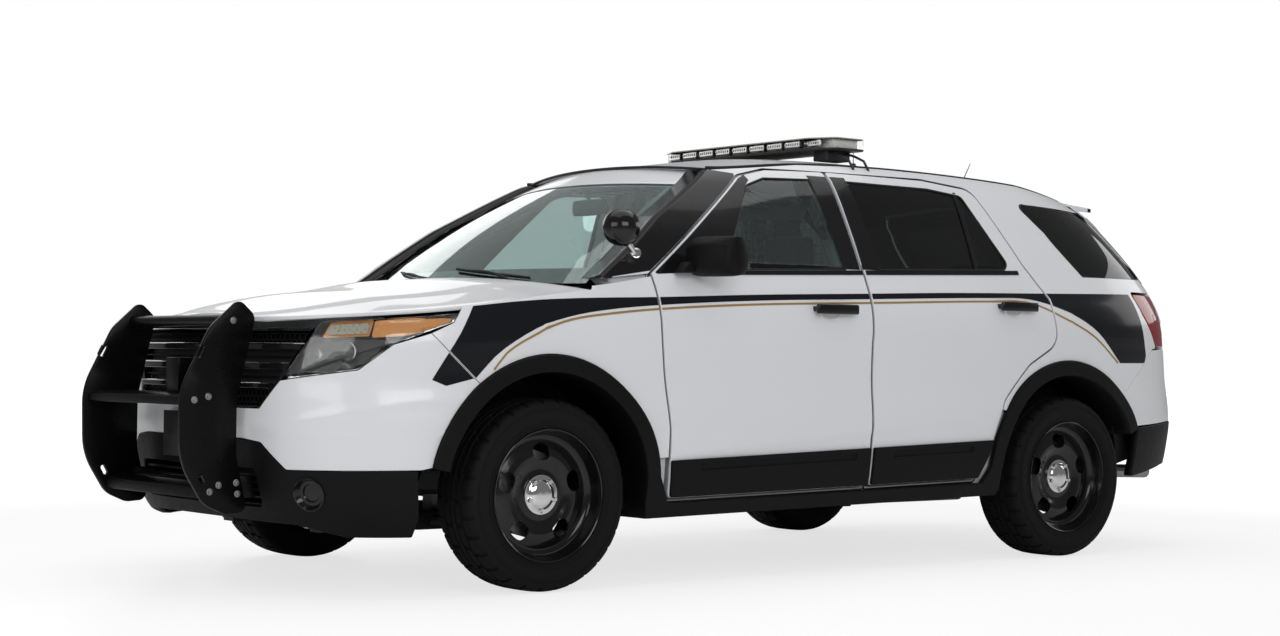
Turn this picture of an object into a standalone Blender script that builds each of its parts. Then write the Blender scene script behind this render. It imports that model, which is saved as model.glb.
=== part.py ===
"""A police patrol car: a five-door sport utility body with a push bumper, a roof light bar and a spotlight.

Metres, +Z up. The nose faces -Y and +X is the driver's side. The tyres stand on z = 0.
Stations along the body are measured rearward from the front axle and shifted by MIDDLE at the end.
"""

import bpy
import bmesh
import math
from bisect import bisect_right
from mathutils import Matrix, Vector
from mathutils.bvhtree import BVHTree

# Overall layout
WHEELBASE = 2.863
TRACK = 1.702
TYRE_RADIUS = 0.357
TYRE_WIDTH = 0.245
RIM_RADIUS = 0.246
WHEEL_STEPS = 20
WHEEL_WINDOWS = 5
WINDOW_MIDDLE, WINDOW_HALF_WIDE, WINDOW_HALF_TALL = 0.158, 0.036, 0.031
GUARD_FRONT = -1.215
NOSE_REACH = 0.965
NOSE_HALF = 0.985
TAIL_REACH = 1.180
TAIL_END = WHEELBASE + TAIL_REACH
MIDDLE = (GUARD_FRONT + TAIL_END) / 2

# Clearances and walls
FIT = 0.0004
SEAT = 0.0003
SEAL = 0.0008
SEAM = 0.002
SHUT_GAP = 0.009
SKIN = 0.012
DOOR_DEPTH = 0.100
HOOD_DEPTH = 0.014
ROOF_DEPTH = 0.014
ROOF_GAP = 0.003
FRAME_DEPTH = 0.034
FRAME_FACE = 0.024
SKIN_BACK = 0.018
PILLAR_DEPTH = 0.130
DOOR_FLANGE = 0.018
JAMB_FLANGE = 0.008
GLASS_DEPTH = 0.006
GLASS = 0.005

FLAT_ANGLE = math.radians(10)
SIDE_FLAT_ANGLE = math.radians(3.4)
STRAIGHT_ANGLE = math.radians(0.8)

# Wheel arches and lower cladding
ARCH_HEIGHT = 0.360
ARCH_STEP = 12.0
ARCH_RADIUS = 0.450
FLARE_RADIUS = 0.515
FLARE_PROUD = 0.016
CLADDING_PROUD = 0.010
LINER = 0.010
LINER_DEPTH = 0.300

# Front face of the wall between engine bay and cabin
FIREWALL = 0.338

# Body sections: height, half width, nose reach from the front axle, tail reach from the rear axle
SECTIONS = (
    (0.19, 0.880, 0.840, 1.020),
    (0.27, 0.935, 0.900, 1.080),
    (0.36, 0.962, 0.935, 1.130),
    (0.50, 0.980, 0.960, 1.165),
    (0.62, 0.985, 0.965, 1.180),
    (0.78, 0.972, 0.950, 1.165),
    (0.92, 0.974, 0.925, 1.150),
    (1.03, 0.976, 0.885, 1.130),
    (1.12, 0.958, 0.830, 1.100),
    (1.21, 0.920, 0.780, 1.050),
    (1.40, 0.838, 0.600, 0.885),
    (1.62, 0.724, 0.400, 0.660),
    (1.70, 0.640, 0.330, 0.570),
    (1.73, 0.560, 0.300, 0.540),
)
HALF, NOSE, TAIL = 1, 2, 3
NOSE_POWER, TAIL_POWER = 3.5, 3.0

# Station, height of the fender's upper edge
FENDER_TOP = ((-1.70, 0.995), (-0.95, 1.008), (-0.40, 1.045), (0.21, 1.122), (0.51, 1.165))
# Station, how far the roof line lies below its highest run
ROOF_FALL = ((0.25, 0.055), (1.00, 0.055), (1.50, 0.012), (2.00, 0.0), (2.60, 0.012), (3.00, 0.035), (3.50, 0.080))
DITCH_HEIGHT = 1.700
SHOULDER_FROM = 0.70
ROOF_FROM = 1.25
ROOF_END = 3.54

# Joints
DOOR_SWING = 67
HOOD_SWING = 48
LIFTGATE_SWING = 80
STEER_SWING = 33
STEER_AXIS_X = TRACK / 2 - 0.060
DOOR_AXIS_X = 0.970
FRONT_DOOR_AXIS = 0.600
REAR_DOOR_AXIS = 1.691
HOOD_AXIS = (0.205, 1.122)
LIFTGATE_AXIS = (3.290, 1.668)

SIDES = (("left", 1), ("right", -1))


def curve(rows, column, at):
    """A smooth value between the rows of a table, by cubic segments."""
    keys = [row[0] for row in rows]
    at = min(max(at, keys[0]), keys[-1])
    i = min(max(bisect_right(keys, at) - 1, 0), len(rows) - 2)
    span = keys[i + 1] - keys[i]
    u = (at - keys[i]) / span

    def slope(k):
        a, b = max(k - 1, 0), min(k + 1, len(rows) - 1)
        return (rows[b][column] - rows[a][column]) / (keys[b] - keys[a])

    start, end = rows[i][column], rows[i + 1][column]
    return (
        start * (1 + 2 * u) * (1 - u) ** 2
        + end * u * u * (3 - 2 * u)
        + span * slope(i) * u * (1 - u) ** 2
        + span * slope(i + 1) * u * u * (u - 1)
    )


def ease(share):
    share = min(max(share, 0.0), 1.0)
    return share * share * (3 - 2 * share)


def wrap_table(reach, half, power, steps=300):
    """Distance round a corner against angle, on the widest section."""
    rows, total, last = [], 0.0, None
    for k in range(steps + 1):
        angle = math.pi / 2 * k / steps
        point = (half * math.cos(angle) ** (2 / power), reach * math.sin(angle) ** (2 / power))
        total += math.dist(point, last) if last else 0.0
        rows.append((total, angle))
        last = point
    return rows


NOSE_WRAP = wrap_table(NOSE_REACH, NOSE_HALF, NOSE_POWER)
TAIL_WRAP = wrap_table(TAIL_REACH, NOSE_HALF, TAIL_POWER)
NOSE_END = -NOSE_WRAP[-1][0]
TAIL_WRAP_END = WHEELBASE + TAIL_WRAP[-1][0]


def wrap_angle(table, distance):
    keys = [row[0] for row in table]
    distance = min(max(distance, 0.0), keys[-1])
    i = min(max(bisect_right(keys, distance) - 1, 0), len(keys) - 2)
    share = (distance - keys[i]) / (keys[i + 1] - keys[i])
    return table[i][1] + share * (table[i + 1][1] - table[i][1])


def fender_top(t):
    return curve(FENDER_TOP, 1, t)


def belt(t):
    return 1.165 + 0.032 * t


def cladding_top(t):
    return 0.458 + 0.030 * t


def door_bottom(t):
    return 0.318 + 0.020 * t


def sill_bottom(t):
    return 0.245 + 0.018 * t


def ditch(t):
    return DITCH_HEIGHT - curve(ROOF_FALL, 1, t)


def half_width(t, z):
    """Half width with the shoulder lowered along the fender and the roof line lowered at its ends."""
    shoulder = max(FENDER_TOP[-1][1] - fender_top(t), 0.0) if t < FENDER_TOP[-1][0] else 0.0
    fall = curve(ROOF_FALL, 1, t)
    lift = shoulder * ease((z - SHOULDER_FROM) / (fender_top(t) - SHOULDER_FROM)) * (z < ROOF_FROM)
    lift += fall * ease((z - ROOF_FROM) / (DITCH_HEIGHT - fall - ROOF_FROM))
    return curve(SECTIONS, HALF, z + lift)


def waist(t, z, depth=0.0):
    """Half width and station of the skin at wrap distance t and height z, this deep under it."""
    half = half_width(t, z) - depth
    if t < 0:
        angle = wrap_angle(NOSE_WRAP, -t)
        reach = curve(SECTIONS, NOSE, z) - depth
        return half * math.cos(angle) ** (2 / NOSE_POWER), -reach * math.sin(angle) ** (2 / NOSE_POWER)
    if t > WHEELBASE:
        angle = wrap_angle(TAIL_WRAP, t - WHEELBASE)
        reach = curve(SECTIONS, TAIL, z) - depth
        return half * math.cos(angle) ** (2 / TAIL_POWER), WHEELBASE + reach * math.sin(angle) ** (2 / TAIL_POWER)
    return half, t


def world(x, station, z):
    return Vector((x, station - MIDDLE, z))


def on_side(side, proud=0.0):
    def place(t, z, depth):
        x, station = waist(t, z, depth - proud)
        return world(side * x, station, z)

    return place


def on_clad_side(side):
    def place(t, z, depth):
        proud = CLADDING_PROUD * min(max((cladding_top(t) - z) / 0.008, 0.0), 1.0)
        inner = DOOR_DEPTH + (FRAME_DEPTH - DOOR_DEPTH) * ease((z - belt(t)) / 0.04)
        depth = min(depth, inner) if depth > SKIN else depth - proud * (depth <= SKIN)
        x, station = waist(t, z, depth)
        return world(side * x, station, z)

    return place


def on_arch_side(side):
    """The side's own skin, with the arch liners behind it running straight inboard."""
    def place(t, z, depth):
        x, station = waist(t, z, min(depth, SKIN))
        return world(side * (x - max(depth - SKIN, 0.0)), station, z)

    return place


def on_nose(u, z, depth):
    x, station = waist(NOSE_END + abs(u), z, depth)
    return world(math.copysign(x, u) if u else 0.0, station, z)


def on_tail(u, z, depth):
    x, station = waist(TAIL_WRAP_END - abs(u), z, depth)
    return world(math.copysign(x, u) if u else 0.0, station, z)


def finish(name, color, roughness=0.5, metallic=0.0):
    material = bpy.data.materials.get(name)
    if material is None:
        material = bpy.data.materials.new(name)
        material.use_nodes = True
        shader = material.node_tree.nodes["Principled BSDF"]
        shader.inputs["Base Color"].default_value = (*color, 1.0)
        shader.inputs["Roughness"].default_value = roughness
        shader.inputs["Metallic"].default_value = metallic
    return material


def white_paint():
    return finish("white paint", (0.80, 0.81, 0.83), 0.25)


def black_plastic():
    return finish("black textured plastic", (0.020, 0.020, 0.021), 0.62)


def gloss_black():
    return finish("gloss black", (0.008, 0.008, 0.009), 0.15)


def dark_glass():
    return finish("dark glass", (0.010, 0.012, 0.012), 0.04)


def grey_metal():
    return finish("grey metal", (0.20, 0.20, 0.21), 0.45, 0.8)


def dark_fabric():
    return finish("dark fabric", (0.030, 0.030, 0.033), 0.85)


def red_lens():
    return finish("red lens", (0.30, 0.010, 0.012), 0.12)


def clear_lens():
    return finish("clear lens", (0.55, 0.55, 0.53), 0.10)


def rubber():
    return finish("tyre rubber", (0.016, 0.016, 0.017), 0.75)


def settle(name, mesh, material, origin=None):
    """Puts a mesh in the scene with its origin on origin, so that a moving piece turns about it."""
    bmesh.ops.remove_doubles(mesh, verts=mesh.verts, dist=1e-6)
    bmesh.ops.recalc_face_normals(mesh, faces=mesh.faces)
    data = bpy.data.meshes.new(name)
    home = Vector(origin) if origin else Vector((0, 0, 0))
    bmesh.ops.translate(mesh, vec=-home, verts=mesh.verts)
    mesh.to_mesh(data)
    mesh.free()
    data.materials.append(material)
    data.shade_smooth()
    data.set_sharp_from_angle(angle=math.radians(35))
    thing = bpy.data.objects.new(name, data)
    thing.location = home
    bpy.context.scene.collection.objects.link(thing)
    return thing


def combine(target, tools, operation="UNION"):
    for tool in tools:
        tool.hide_render = True
        tool.display_type = "WIRE"
        modifier = target.modifiers.new(tool.name, "BOOLEAN")
        modifier.operation = operation
        modifier.solver = "EXACT"
        modifier.object = tool
    return target


def outline(corners, grow=0.0, own=None):
    """Corners (t, z, radius) as a rounded polygon, each edge moved out by grow, or by own[edge index]."""
    own = own or {}
    count = len(corners)
    area = sum(
        corners[i][0] * corners[(i + 1) % count][1] - corners[(i + 1) % count][0] * corners[i][1]
        for i in range(count)
    )
    turn = 1.0 if area > 0 else -1.0
    moved = []
    for i in range(count):
        a, b, c = (Vector(corners[(i + k) % count][:2]) for k in (-1, 0, 1))
        before, after = (b - a).normalized(), (c - b).normalized()
        n0 = Vector((before.y, -before.x)) * turn
        n1 = Vector((after.y, -after.x)) * turn
        g0 = own.get((i - 1) % count, grow)
        g1 = own.get(i, grow)
        cross = before.x * after.y - before.y * after.x
        if abs(cross) < 0.02:
            moved.append(b + (n0 + n1).normalized() * (g0 + g1) / 2)
            continue
        p, q = b + n0 * g0, b + n1 * g1
        share = ((q - p).x * after.y - (q - p).y * after.x) / cross
        moved.append(p + before * share)
    points = []
    for i in range(count):
        radius = corners[i][2]
        if not radius:
            points.append(tuple(moved[i]))
            continue
        a, b, c = moved[i - 1], moved[i], moved[(i + 1) % count]
        back, ahead = (a - b).normalized(), (c - b).normalized()
        half = back.angle(ahead) / 2
        run = min(radius / math.tan(half), (a - b).length * 0.45, (c - b).length * 0.45)
        bow = run * math.tan(half)
        centre = b + (back + ahead).normalized() * (bow / math.sin(half))
        start, end = b + back * run, b + ahead * run
        sweep = (start - centre).angle_signed(end - centre)
        steps = 1 if radius < 0.025 else 2 if radius < 0.090 else 3
        for k in range(steps + 1):
            arm = (start - centre).copy()
            arm.rotate(Matrix.Rotation(-sweep * k / steps, 2))
            points.append(tuple(centre + arm))
    return points


def arch(centre, radius, start, end):
    """Arch points from one angle to the other, in degrees from rearward, on one grid for all that meets there."""
    low, high = min(start, end), max(start, end)
    between = [ARCH_STEP * k for k in range(-2, 20) if low + 2 < ARCH_STEP * k < high - 2]
    angles = [low, *between, high]
    if start > end:
        angles.reverse()
    return [
        (centre + radius * math.cos(math.radians(a)), ARCH_HEIGHT + radius * math.sin(math.radians(a)), 0)
        for a in angles
    ]


def ring_of_edges(mesh, order, points, depth):
    verts = []
    for number, (t, z) in enumerate(points):
        vertex = mesh.verts.new((t, z, depth))
        vertex[order] = number
        verts.append(vertex)
    return [mesh.edges.new((verts[i - 1], verts[i])) for i in range(len(verts))]


def slab(levels, holes=(), t_cuts=(), z_cuts=(), slants=()):
    """A flat solid in (t, z, depth): each level is (depth, points), and every hole has its own levels."""
    mesh = bmesh.new()
    order = mesh.verts.layers.int.new("order")
    caps = ([], [])
    for stack in (levels, *holes):
        edges = ring_of_edges(mesh, order, stack[0][1], stack[0][0])
        caps[0].extend(edges)
        for depth, points in stack[1:]:
            grown = bmesh.ops.extrude_edge_only(mesh, edges=edges)["geom"]
            fresh = [item for item in grown if isinstance(item, bmesh.types.BMVert)]
            for vertex in fresh:
                vertex.co = (*points[vertex[order]], depth)
            known = set(fresh)
            edges = [
                item
                for item in grown
                if isinstance(item, bmesh.types.BMEdge) and set(item.verts) <= known
            ]
        caps[1].extend(edges)
    for edges in caps:
        bmesh.ops.triangle_fill(mesh, use_beauty=True, use_dissolve=False, edges=edges)
    planes = [((t, 0, 0), (1, 0, 0)) for t in t_cuts] + [((0, z, 0), (0, 1, 0)) for z in z_cuts]
    planes += [((0, line(0.0), 0), (line(0.0) - line(1.0), 1.0, 0)) for line in slants]
    for point, normal in planes:
        bmesh.ops.bisect_plane(
            mesh, geom=mesh.verts[:] + mesh.edges[:] + mesh.faces[:], dist=1e-5, plane_co=point, plane_no=normal
        )
    bmesh.ops.triangulate(mesh, faces=mesh.faces)
    return mesh


def lay(mesh, place, flat=FLAT_ANGLE):
    """Carries a flat solid from (t, z, depth) onto the body, and joins the facets that stay flat."""
    for vertex in mesh.verts:
        vertex.co = place(*vertex.co)
    bmesh.ops.dissolve_degenerate(mesh, dist=2e-5, edges=mesh.edges)
    bmesh.ops.dissolve_limit(mesh, angle_limit=flat, verts=[], edges=mesh.edges)
    bmesh.ops.dissolve_limit(mesh, angle_limit=STRAIGHT_ANGLE, verts=mesh.verts, edges=[])
    bmesh.ops.triangulate(mesh, faces=mesh.faces)
    return mesh


def panel(name, corners, place, material, depths, holes=(), shrink=0.0, own=None, origin=None, **cuts):
    """A plain panel of one outline between two depths, with holes given as corners."""
    near, far = depths
    rim = outline(corners, -shrink, own)
    mesh = slab(
        [(near, rim), (far, rim)],
        [[(near, outline(hole)), (far, outline(hole))] for hole in holes],
        **cuts,
    )
    return settle(name, lay(mesh, place), material, origin)


def box(low, high):
    mesh = bmesh.new()
    size = [high[i] - low[i] for i in range(3)]
    middle = [(high[i] + low[i]) / 2 for i in range(3)]
    bmesh.ops.create_cube(mesh, size=1.0, matrix=Matrix.Translation(middle) @ Matrix.Diagonal((*size, 1.0)))
    return mesh


def body_box(name, low, high, material, bevel=0.0):
    """A box between two corners given as (x, station, z)."""
    mesh = box(world(*low), world(*high))
    if bevel:
        bmesh.ops.bevel(
            mesh, geom=mesh.edges[:], offset=bevel, segments=1, profile=0.5, affect="EDGES", material=-1
        )
    return settle(name, mesh, material)


def extruded(name, points, near, far, axis, material, bevel=0.0, origin=None):
    """A polygon pushed between two positions along X (points are station, z) or along Z (points are x, station)."""
    mesh = bmesh.new()
    for index in range(len(points)):
        a, b = points[index]
        mesh.verts.new(world(near, a, b) if axis == "x" else world(a, b, near))
    mesh.faces.new(mesh.verts)
    grown = bmesh.ops.extrude_face_region(mesh, geom=mesh.faces[:])["geom"]
    fresh = [item for item in grown if isinstance(item, bmesh.types.BMVert)]
    push = (far - near, 0, 0) if axis == "x" else (0, 0, far - near)
    bmesh.ops.translate(mesh, vec=push, verts=fresh)
    bmesh.ops.recalc_face_normals(mesh, faces=mesh.faces)
    if bevel:
        bmesh.ops.bevel(
            mesh, geom=mesh.edges[:], offset=bevel, segments=1, profile=0.5, affect="EDGES", material=-1
        )
    return settle(name, mesh, material, origin)


def rod(name, start, end, radius, material, sides=8, end_radius=None):
    """A round bar between two points (x, station, z)."""
    mesh = bmesh.new()
    a, b = world(*start), world(*end)
    turn = (b - a).to_track_quat("Z", "Y").to_matrix().to_4x4()
    bmesh.ops.create_cone(
        mesh,
        cap_ends=True,
        segments=sides,
        radius1=radius,
        radius2=radius if end_radius is None else end_radius,
        depth=(b - a).length,
        matrix=Matrix.Translation((a + b) / 2) @ turn,
    )
    return settle(name, mesh, material)


def turned(name, profile, centre, side, material, steps=32, origin=None):
    """A closed profile (outward distance, radius) spun about the X axis through centre (x, station, z)."""
    mesh = bmesh.new()
    verts = [mesh.verts.new((out, 0, radius)) for out, radius in profile]
    edges = [mesh.edges.new((verts[i - 1], verts[i])) for i in range(len(verts))]
    bmesh.ops.spin(
        mesh,
        geom=verts + edges,
        cent=(0, 0, 0),
        axis=(1, 0, 0),
        angle=math.tau,
        steps=steps,
        use_merge=True,
    )
    bmesh.ops.scale(mesh, vec=(side, 1, 1), verts=mesh.verts)
    bmesh.ops.translate(mesh, vec=world(*centre), verts=mesh.verts)
    return settle(name, mesh, material, origin)


def blanket(name, columns, stations, place, depth, material, origin=None):
    """A closed sheet: place(u, row value, depth) with u from -1 to 1 across and one row for each station."""
    mesh = bmesh.new()
    rows = len(stations) - 1
    bmesh.ops.create_grid(mesh, x_segments=columns, y_segments=rows, size=1.0)
    layer = mesh.verts.layers.int.new("inner")
    grown = bmesh.ops.extrude_face_region(mesh, geom=mesh.faces[:], use_keep_orig=True)["geom"]
    for item in grown:
        if isinstance(item, bmesh.types.BMVert):
            item[layer] = 1
    for vertex in mesh.verts:
        row = round((vertex.co.y + 1) / 2 * rows)
        vertex.co = place(vertex.co.x, stations[row], depth * vertex[layer])
    bmesh.ops.triangulate(mesh, faces=mesh.faces)
    return settle(name, mesh, material, origin)


# Shared outlines on the body side, as (t, z, corner radius)
DOOR_TOP = 1.661
FRONT_DOOR = (
    (0.566, door_bottom(0.566), 0.020),
    (1.622, door_bottom(1.622), 0.015),
    (1.634, belt(1.634), 0),
    (1.626, belt(1.634) + 0.050, 0),
    (1.610, DOOR_TOP, 0.010),
    (1.300, DOOR_TOP - 0.009, 0.060),
    (1.130, 1.614, 0.120),
    (0.720, 1.3394, 0),
    (0.500, 1.192, 0.008),
    (0.512, 1.050, 0),
    (0.560, 0.600, 0),
)
REAR_DOOR = (
    (1.636, door_bottom(1.636), 0.015),
    (2.285, door_bottom(2.285), 0.020),
    (2.338, 0.460, 0.060),
    (2.430, 0.700, 0.100),
    (2.600, 0.860, 0.100),
    (2.775, 0.950, 0.080),
    (2.748, 1.145, 0.060),
    (2.640, 1.300, 0.040),
    (2.480, 1.630, 0.080),
    (2.200, DOOR_TOP - 0.002, 0.080),
    (1.630, DOOR_TOP, 0.010),
    (1.640, belt(1.648) + 0.050, 0),
    (1.648, belt(1.648), 0),
)
REAR_DOOR_HINGE_EDGES = (0, 12)
FRONT_DOOR_HINGE_EDGES = (0, 7, 8, 9, 10)
FRONT_WINDOW = (
    (0.860, belt(0.86) + 0.024, 0.010),
    (1.548, belt(1.548) + 0.024, 0.010),
    (1.520, 1.624, 0.015),
    (1.260, 1.616, 0.040),
    (1.150, 1.580, 0.040),
)
REAR_WINDOW = (
    (1.738, belt(1.738) + 0.024, 0.010),
    (2.520, belt(2.52) + 0.024, 0.030),
    (2.548, 1.300, 0.030),
    (2.400, 1.600, 0.030),
    (2.200, 1.622, 0.080),
    (1.700, 1.626, 0.015),
)
QUARTER_WINDOW = (
    (3.060, 1.256, 0.030),
    (3.745, 1.262, 0.025),
    (3.560, 1.570, 0.030),
    (2.745, 1.585, 0.020),
)

SIDE_HEIGHTS = (0.52, 0.78, 1.14, 1.42, 1.56)
DOOR_SLANTS = (cladding_top, lambda t: cladding_top(t) - 0.008, lambda t: belt(t) + 0.001, lambda t: belt(t) + 0.041)


def door(name, corners, window, side, axis, stations):
    hinge = world(side * DOOR_AXIS_X, axis, belt(axis))
    shell = [
        (0.0, outline(corners)),
        (SKIN, outline(corners)),
        (SKIN + 0.0002, outline(corners, -DOOR_FLANGE)),
        (DOOR_DEPTH, outline(corners, -DOOR_FLANGE)),
    ]
    hole = [(0.0, outline(window)), (DOOR_DEPTH, outline(window))]
    mesh = slab(shell, [hole], t_cuts=stations, z_cuts=SIDE_HEIGHTS, slants=DOOR_SLANTS)
    door_body = settle(name, lay(mesh, on_clad_side(side), SIDE_FLAT_ANGLE), white_paint(), hinge)
    glass = panel(
        name + "_glass",
        window,
        on_side(side),
        dark_glass(),
        (GLASS_DEPTH, GLASS_DEPTH + GLASS),
        shrink=FIT,
        origin=hinge,
        z_cuts=SIDE_HEIGHTS,
        t_cuts=(1.0, 1.3),
    )
    glass.parent = door_body
    glass.location = (0, 0, 0)
    return door_body


def door_handle(station, z, side):
    """The outside grip, a bar that stands on two feet off the skin."""
    x, _ = waist(station, z)
    grip = body_box(
        "handle_bar", (side * (x + 0.030), station - 0.115, z - 0.015), (side * (x + 0.048), station + 0.115, z + 0.017),
        gloss_black(),
    )
    feet = [
        body_box(
            "handle_foot", (side * (x - 0.030), station + shift - 0.022, z - 0.010),
            (side * (x + 0.034), station + shift + 0.022, z + 0.012), gloss_black(),
        )
        for shift in (-0.090, 0.090)
    ]
    return [grip, *feet]


def doors():
    made = {}
    rows = (
        ("front_door", FRONT_DOOR, FRONT_WINDOW, FRONT_DOOR_AXIS, (1.25,), 1.410, 1.072),
        ("rear_door", REAR_DOOR, REAR_WINDOW, REAR_DOOR_AXIS, (2.2,), 2.510, 1.108),
    )
    for name, corners, window, axis, stations, handle, height in rows:
        for word, side in SIDES:
            made[name, word] = door(f"{name}_{word}", corners, window, side, axis, stations)
            combine(made[name, word], door_handle(handle, height, side))
            combine(made[name, word], [hinge_notch(side, axis)], "DIFFERENCE")
    return made


def mirrors(made):
    """Door mirrors: a rounded head on an arm that stands on the sail at the window's front corner."""
    for word, side in SIDES:
        parent = made["front_door", word]
        mesh = bmesh.new()
        bmesh.ops.create_cube(mesh, size=1.0)
        bmesh.ops.subdivide_edges(mesh, edges=mesh.edges[:], cuts=3, use_grid_fill=True)
        for vertex in mesh.verts:
            u, v, w = (2 * c for c in vertex.co)
            round_off = 1.0 - 0.22 * (v * v + w * w) / 2
            x = 1.040 + 0.095 * u * round_off
            back = 0.735 + 0.070 * v * (1.0 - 0.25 * u * u) + 0.030 * u
            z = 1.262 + 0.088 * w * (1.0 - 0.30 * v * v * (v < 0)) * round_off
            vertex.co = world(side * x, back, z)
        head = settle(f"mirror_{word}", mesh, black_plastic(), parent.location)
        x, _ = waist(0.62, belt(0.62))
        arm = extruded(
            f"mirror_arm_{word}",
            ((0.600, 1.196), (0.740, 1.200), (0.760, 1.240), (0.700, 1.250), (0.640, 1.240)),
            side * (x + 0.010),
            side * 0.985,
            "x",
            black_plastic(),
        )
        combine(head, [arm])
        head.parent = parent
        head.location = (0, 0, 0)


# Where the outer skin is welded to the frame, as (t, z, height of the weld)
WELDS = ((0.62, 1.345, 0.030), (1.05, 1.610, 0.010), (2.00, 1.6765, 0.006), (2.63, 1.50, 0.030), (2.82, 1.05, 0.030))

# Door hinges: a leaf on the pillar that reaches round the door's inner edge to a pin on the door's own axis
HINGE_Z = 0.620
HINGE_TALL = 0.056
HINGE_THICK = 0.012
HINGE_PIN = 0.006
HINGE_INNER = 0.862
HINGE_NOTCH = 0.070
HINGES = ((FRONT_DOOR_AXIS, 0.538), (REAR_DOOR_AXIS, 1.624))


def door_hinges(side):
    """The two hinges of one side, each a leaf, an arm and a pin."""
    pieces = []
    half = HINGE_THICK / 2
    low, high = HINGE_Z - HINGE_TALL / 2, HINGE_Z + HINGE_TALL / 2
    reach = HINGE_NOTCH / 2 - SEAT
    for axis, pillar in HINGES:
        pieces.append(
            body_box(
                "hinge_leaf", (side * HINGE_INNER, pillar, low), (side * (HINGE_INNER + HINGE_THICK), axis + half, high),
                white_paint(),
            )
        )
        pieces.append(
            body_box(
                "hinge_arm", (side * (HINGE_INNER + 0.004), axis - half * 0.8, low + 0.004),
                (side * DOOR_AXIS_X, axis + half * 0.8, high - 0.004), white_paint(),
            )
        )
        pieces.append(
            rod("hinge_pin", (side * DOOR_AXIS_X, axis, HINGE_Z - reach), (side * DOOR_AXIS_X, axis, HINGE_Z + reach),
                HINGE_PIN, white_paint(), 10)
        )
    return pieces


def hinge_notch(side, axis):
    """The pocket in a door's inner front edge that its hinge pin stands in."""
    return body_box(
        "hinge_notch", (side * 0.840, axis - 0.130, HINGE_Z - HINGE_NOTCH / 2),
        (side * (DOOR_AXIS_X + HINGE_PIN + 0.0005), axis + HINGE_PIN + 0.001, HINGE_Z + HINGE_NOTCH / 2), white_paint(),
    )


def body_sides():
    """Each side is the outer skin above and behind the doors, and the frame behind it that the doors shut on."""
    rear_arch = arch(WHEELBASE, FLARE_RADIUS + SEAM, 38, 145)
    skin_run = (
        (0.262, 1.165, 0),
        (0.620, 1.422, 0),
        (1.000, 1.636, 0),
        (1.250, ditch(1.25) - 0.004, 0),
        (1.500, ditch(1.50), 0),
        (2.000, ditch(2.00), 0),
        (2.600, ditch(2.60), 0),
        (3.000, ditch(3.00), 0),
        (3.300, ditch(3.30), 0),
        (3.560, ditch(3.56), 0.010),
        (3.800, 1.262, 0.020),
        (3.760, 1.200, 0),
        (3.430, 1.198, 0.020),
        (3.470, 1.090, 0),
        (3.590, 0.938, 0.010),
        (3.540, 0.934, 0),
        (3.280, 0.742, 0.020),
    )
    door_edge = ((2.4144, 0.660, 0), *REAR_DOOR[3:10], *FRONT_DOOR[5:9])
    corners = skin_run + tuple(rear_arch) + door_edge
    first = len(corners) - len(door_edge)
    clear_of_doors = {edge: -SHUT_GAP for edge in range(first, len(corners) - 1)}
    frame = (
        (0.506, sill_bottom(0.506) + 0.030, 0),
        (2.385, sill_bottom(2.385) + 0.030, 0),
        (2.400, 0.540, 0),
        (2.470, 0.690, 0),
        (2.640, 0.845, 0),
        (2.860, 0.930, 0),
        (2.870, 1.180, 0),
        (2.640, 1.640, 0),
        (2.200, ditch(2.20) - ROOF_DEPTH - 0.004, 0),
        (1.600, ditch(1.60) - ROOF_DEPTH - 0.004, 0),
        (1.250, ditch(1.25) - ROOF_DEPTH - 0.004, 0),
        (1.000, 1.612, 0),
        (0.620, 1.406, 0),
        (0.300, 1.170, 0),
        (0.400, 1.050, 0),
        (0.452, 0.600, 0),
    )
    deep = PILLAR_DEPTH
    hinge_front = {i: SHUT_GAP for i in FRONT_DOOR_HINGE_EDGES}
    hinge_rear = {i: SHUT_GAP for i in REAR_DOOR_HINGE_EDGES}
    for word, side in SIDES:
        rim = outline(corners, 0.0, clear_of_doors)
        quarter = outline(QUARTER_WINDOW)
        skin = slab(
            [(0.0, rim), (SKIN_BACK, rim)],
            [[(0.0, quarter), (SKIN_BACK, quarter)]],
            t_cuts=(0.62, 1.0, 1.25, 1.5, 2.0, 2.6, 2.863, 3.1, 3.3, 3.42, 3.54, 3.66),
            z_cuts=(0.78, 1.14, 1.21, 1.42, 1.56, 1.62),
        )
        frame_rim = outline(frame)
        front_rim = outline(FRONT_DOOR, -JAMB_FLANGE, hinge_front)
        rear_rim = outline(REAR_DOOR, -JAMB_FLANGE, hinge_rear)
        carcass = slab(
            [(FRAME_FACE, frame_rim), (deep, frame_rim)],
            [
                [(FRAME_FACE, front_rim), (deep, front_rim)],
                [(FRAME_FACE, rear_rim), (deep, rear_rim)],
            ],
            t_cuts=(1.25, 2.0),
            z_cuts=(0.52, 0.78, 1.14, 1.21, 1.42, 1.56, 1.62),
        )
        outer = settle(f"side_skin_{word}", lay(skin, on_side(side), SIDE_FLAT_ANGLE), white_paint())
        inner = settle(f"body_side_{word}", lay(carcass, on_side(side), SIDE_FLAT_ANGLE), white_paint())
        pads = []
        for t, z, tall in WELDS:
            x, station = waist(t, z)
            pads.append(
                body_box(
                    f"weld_{word}", (side * (x - 0.034), station - 0.016, z - tall / 2),
                    (side * (x - 0.008), station + 0.016, z + tall / 2), white_paint(),
                )
            )
        combine(inner, [*pads, outer, *door_hinges(side)])
        panel(
            f"quarter_glass_{word}",
            QUARTER_WINDOW,
            on_side(side),
            dark_glass(),
            (GLASS_DEPTH, GLASS_DEPTH + GLASS),
            shrink=SEAL,
            t_cuts=(2.863, 3.1, 3.3, 3.5, 3.66),
            z_cuts=(1.42,),
        )


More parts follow.
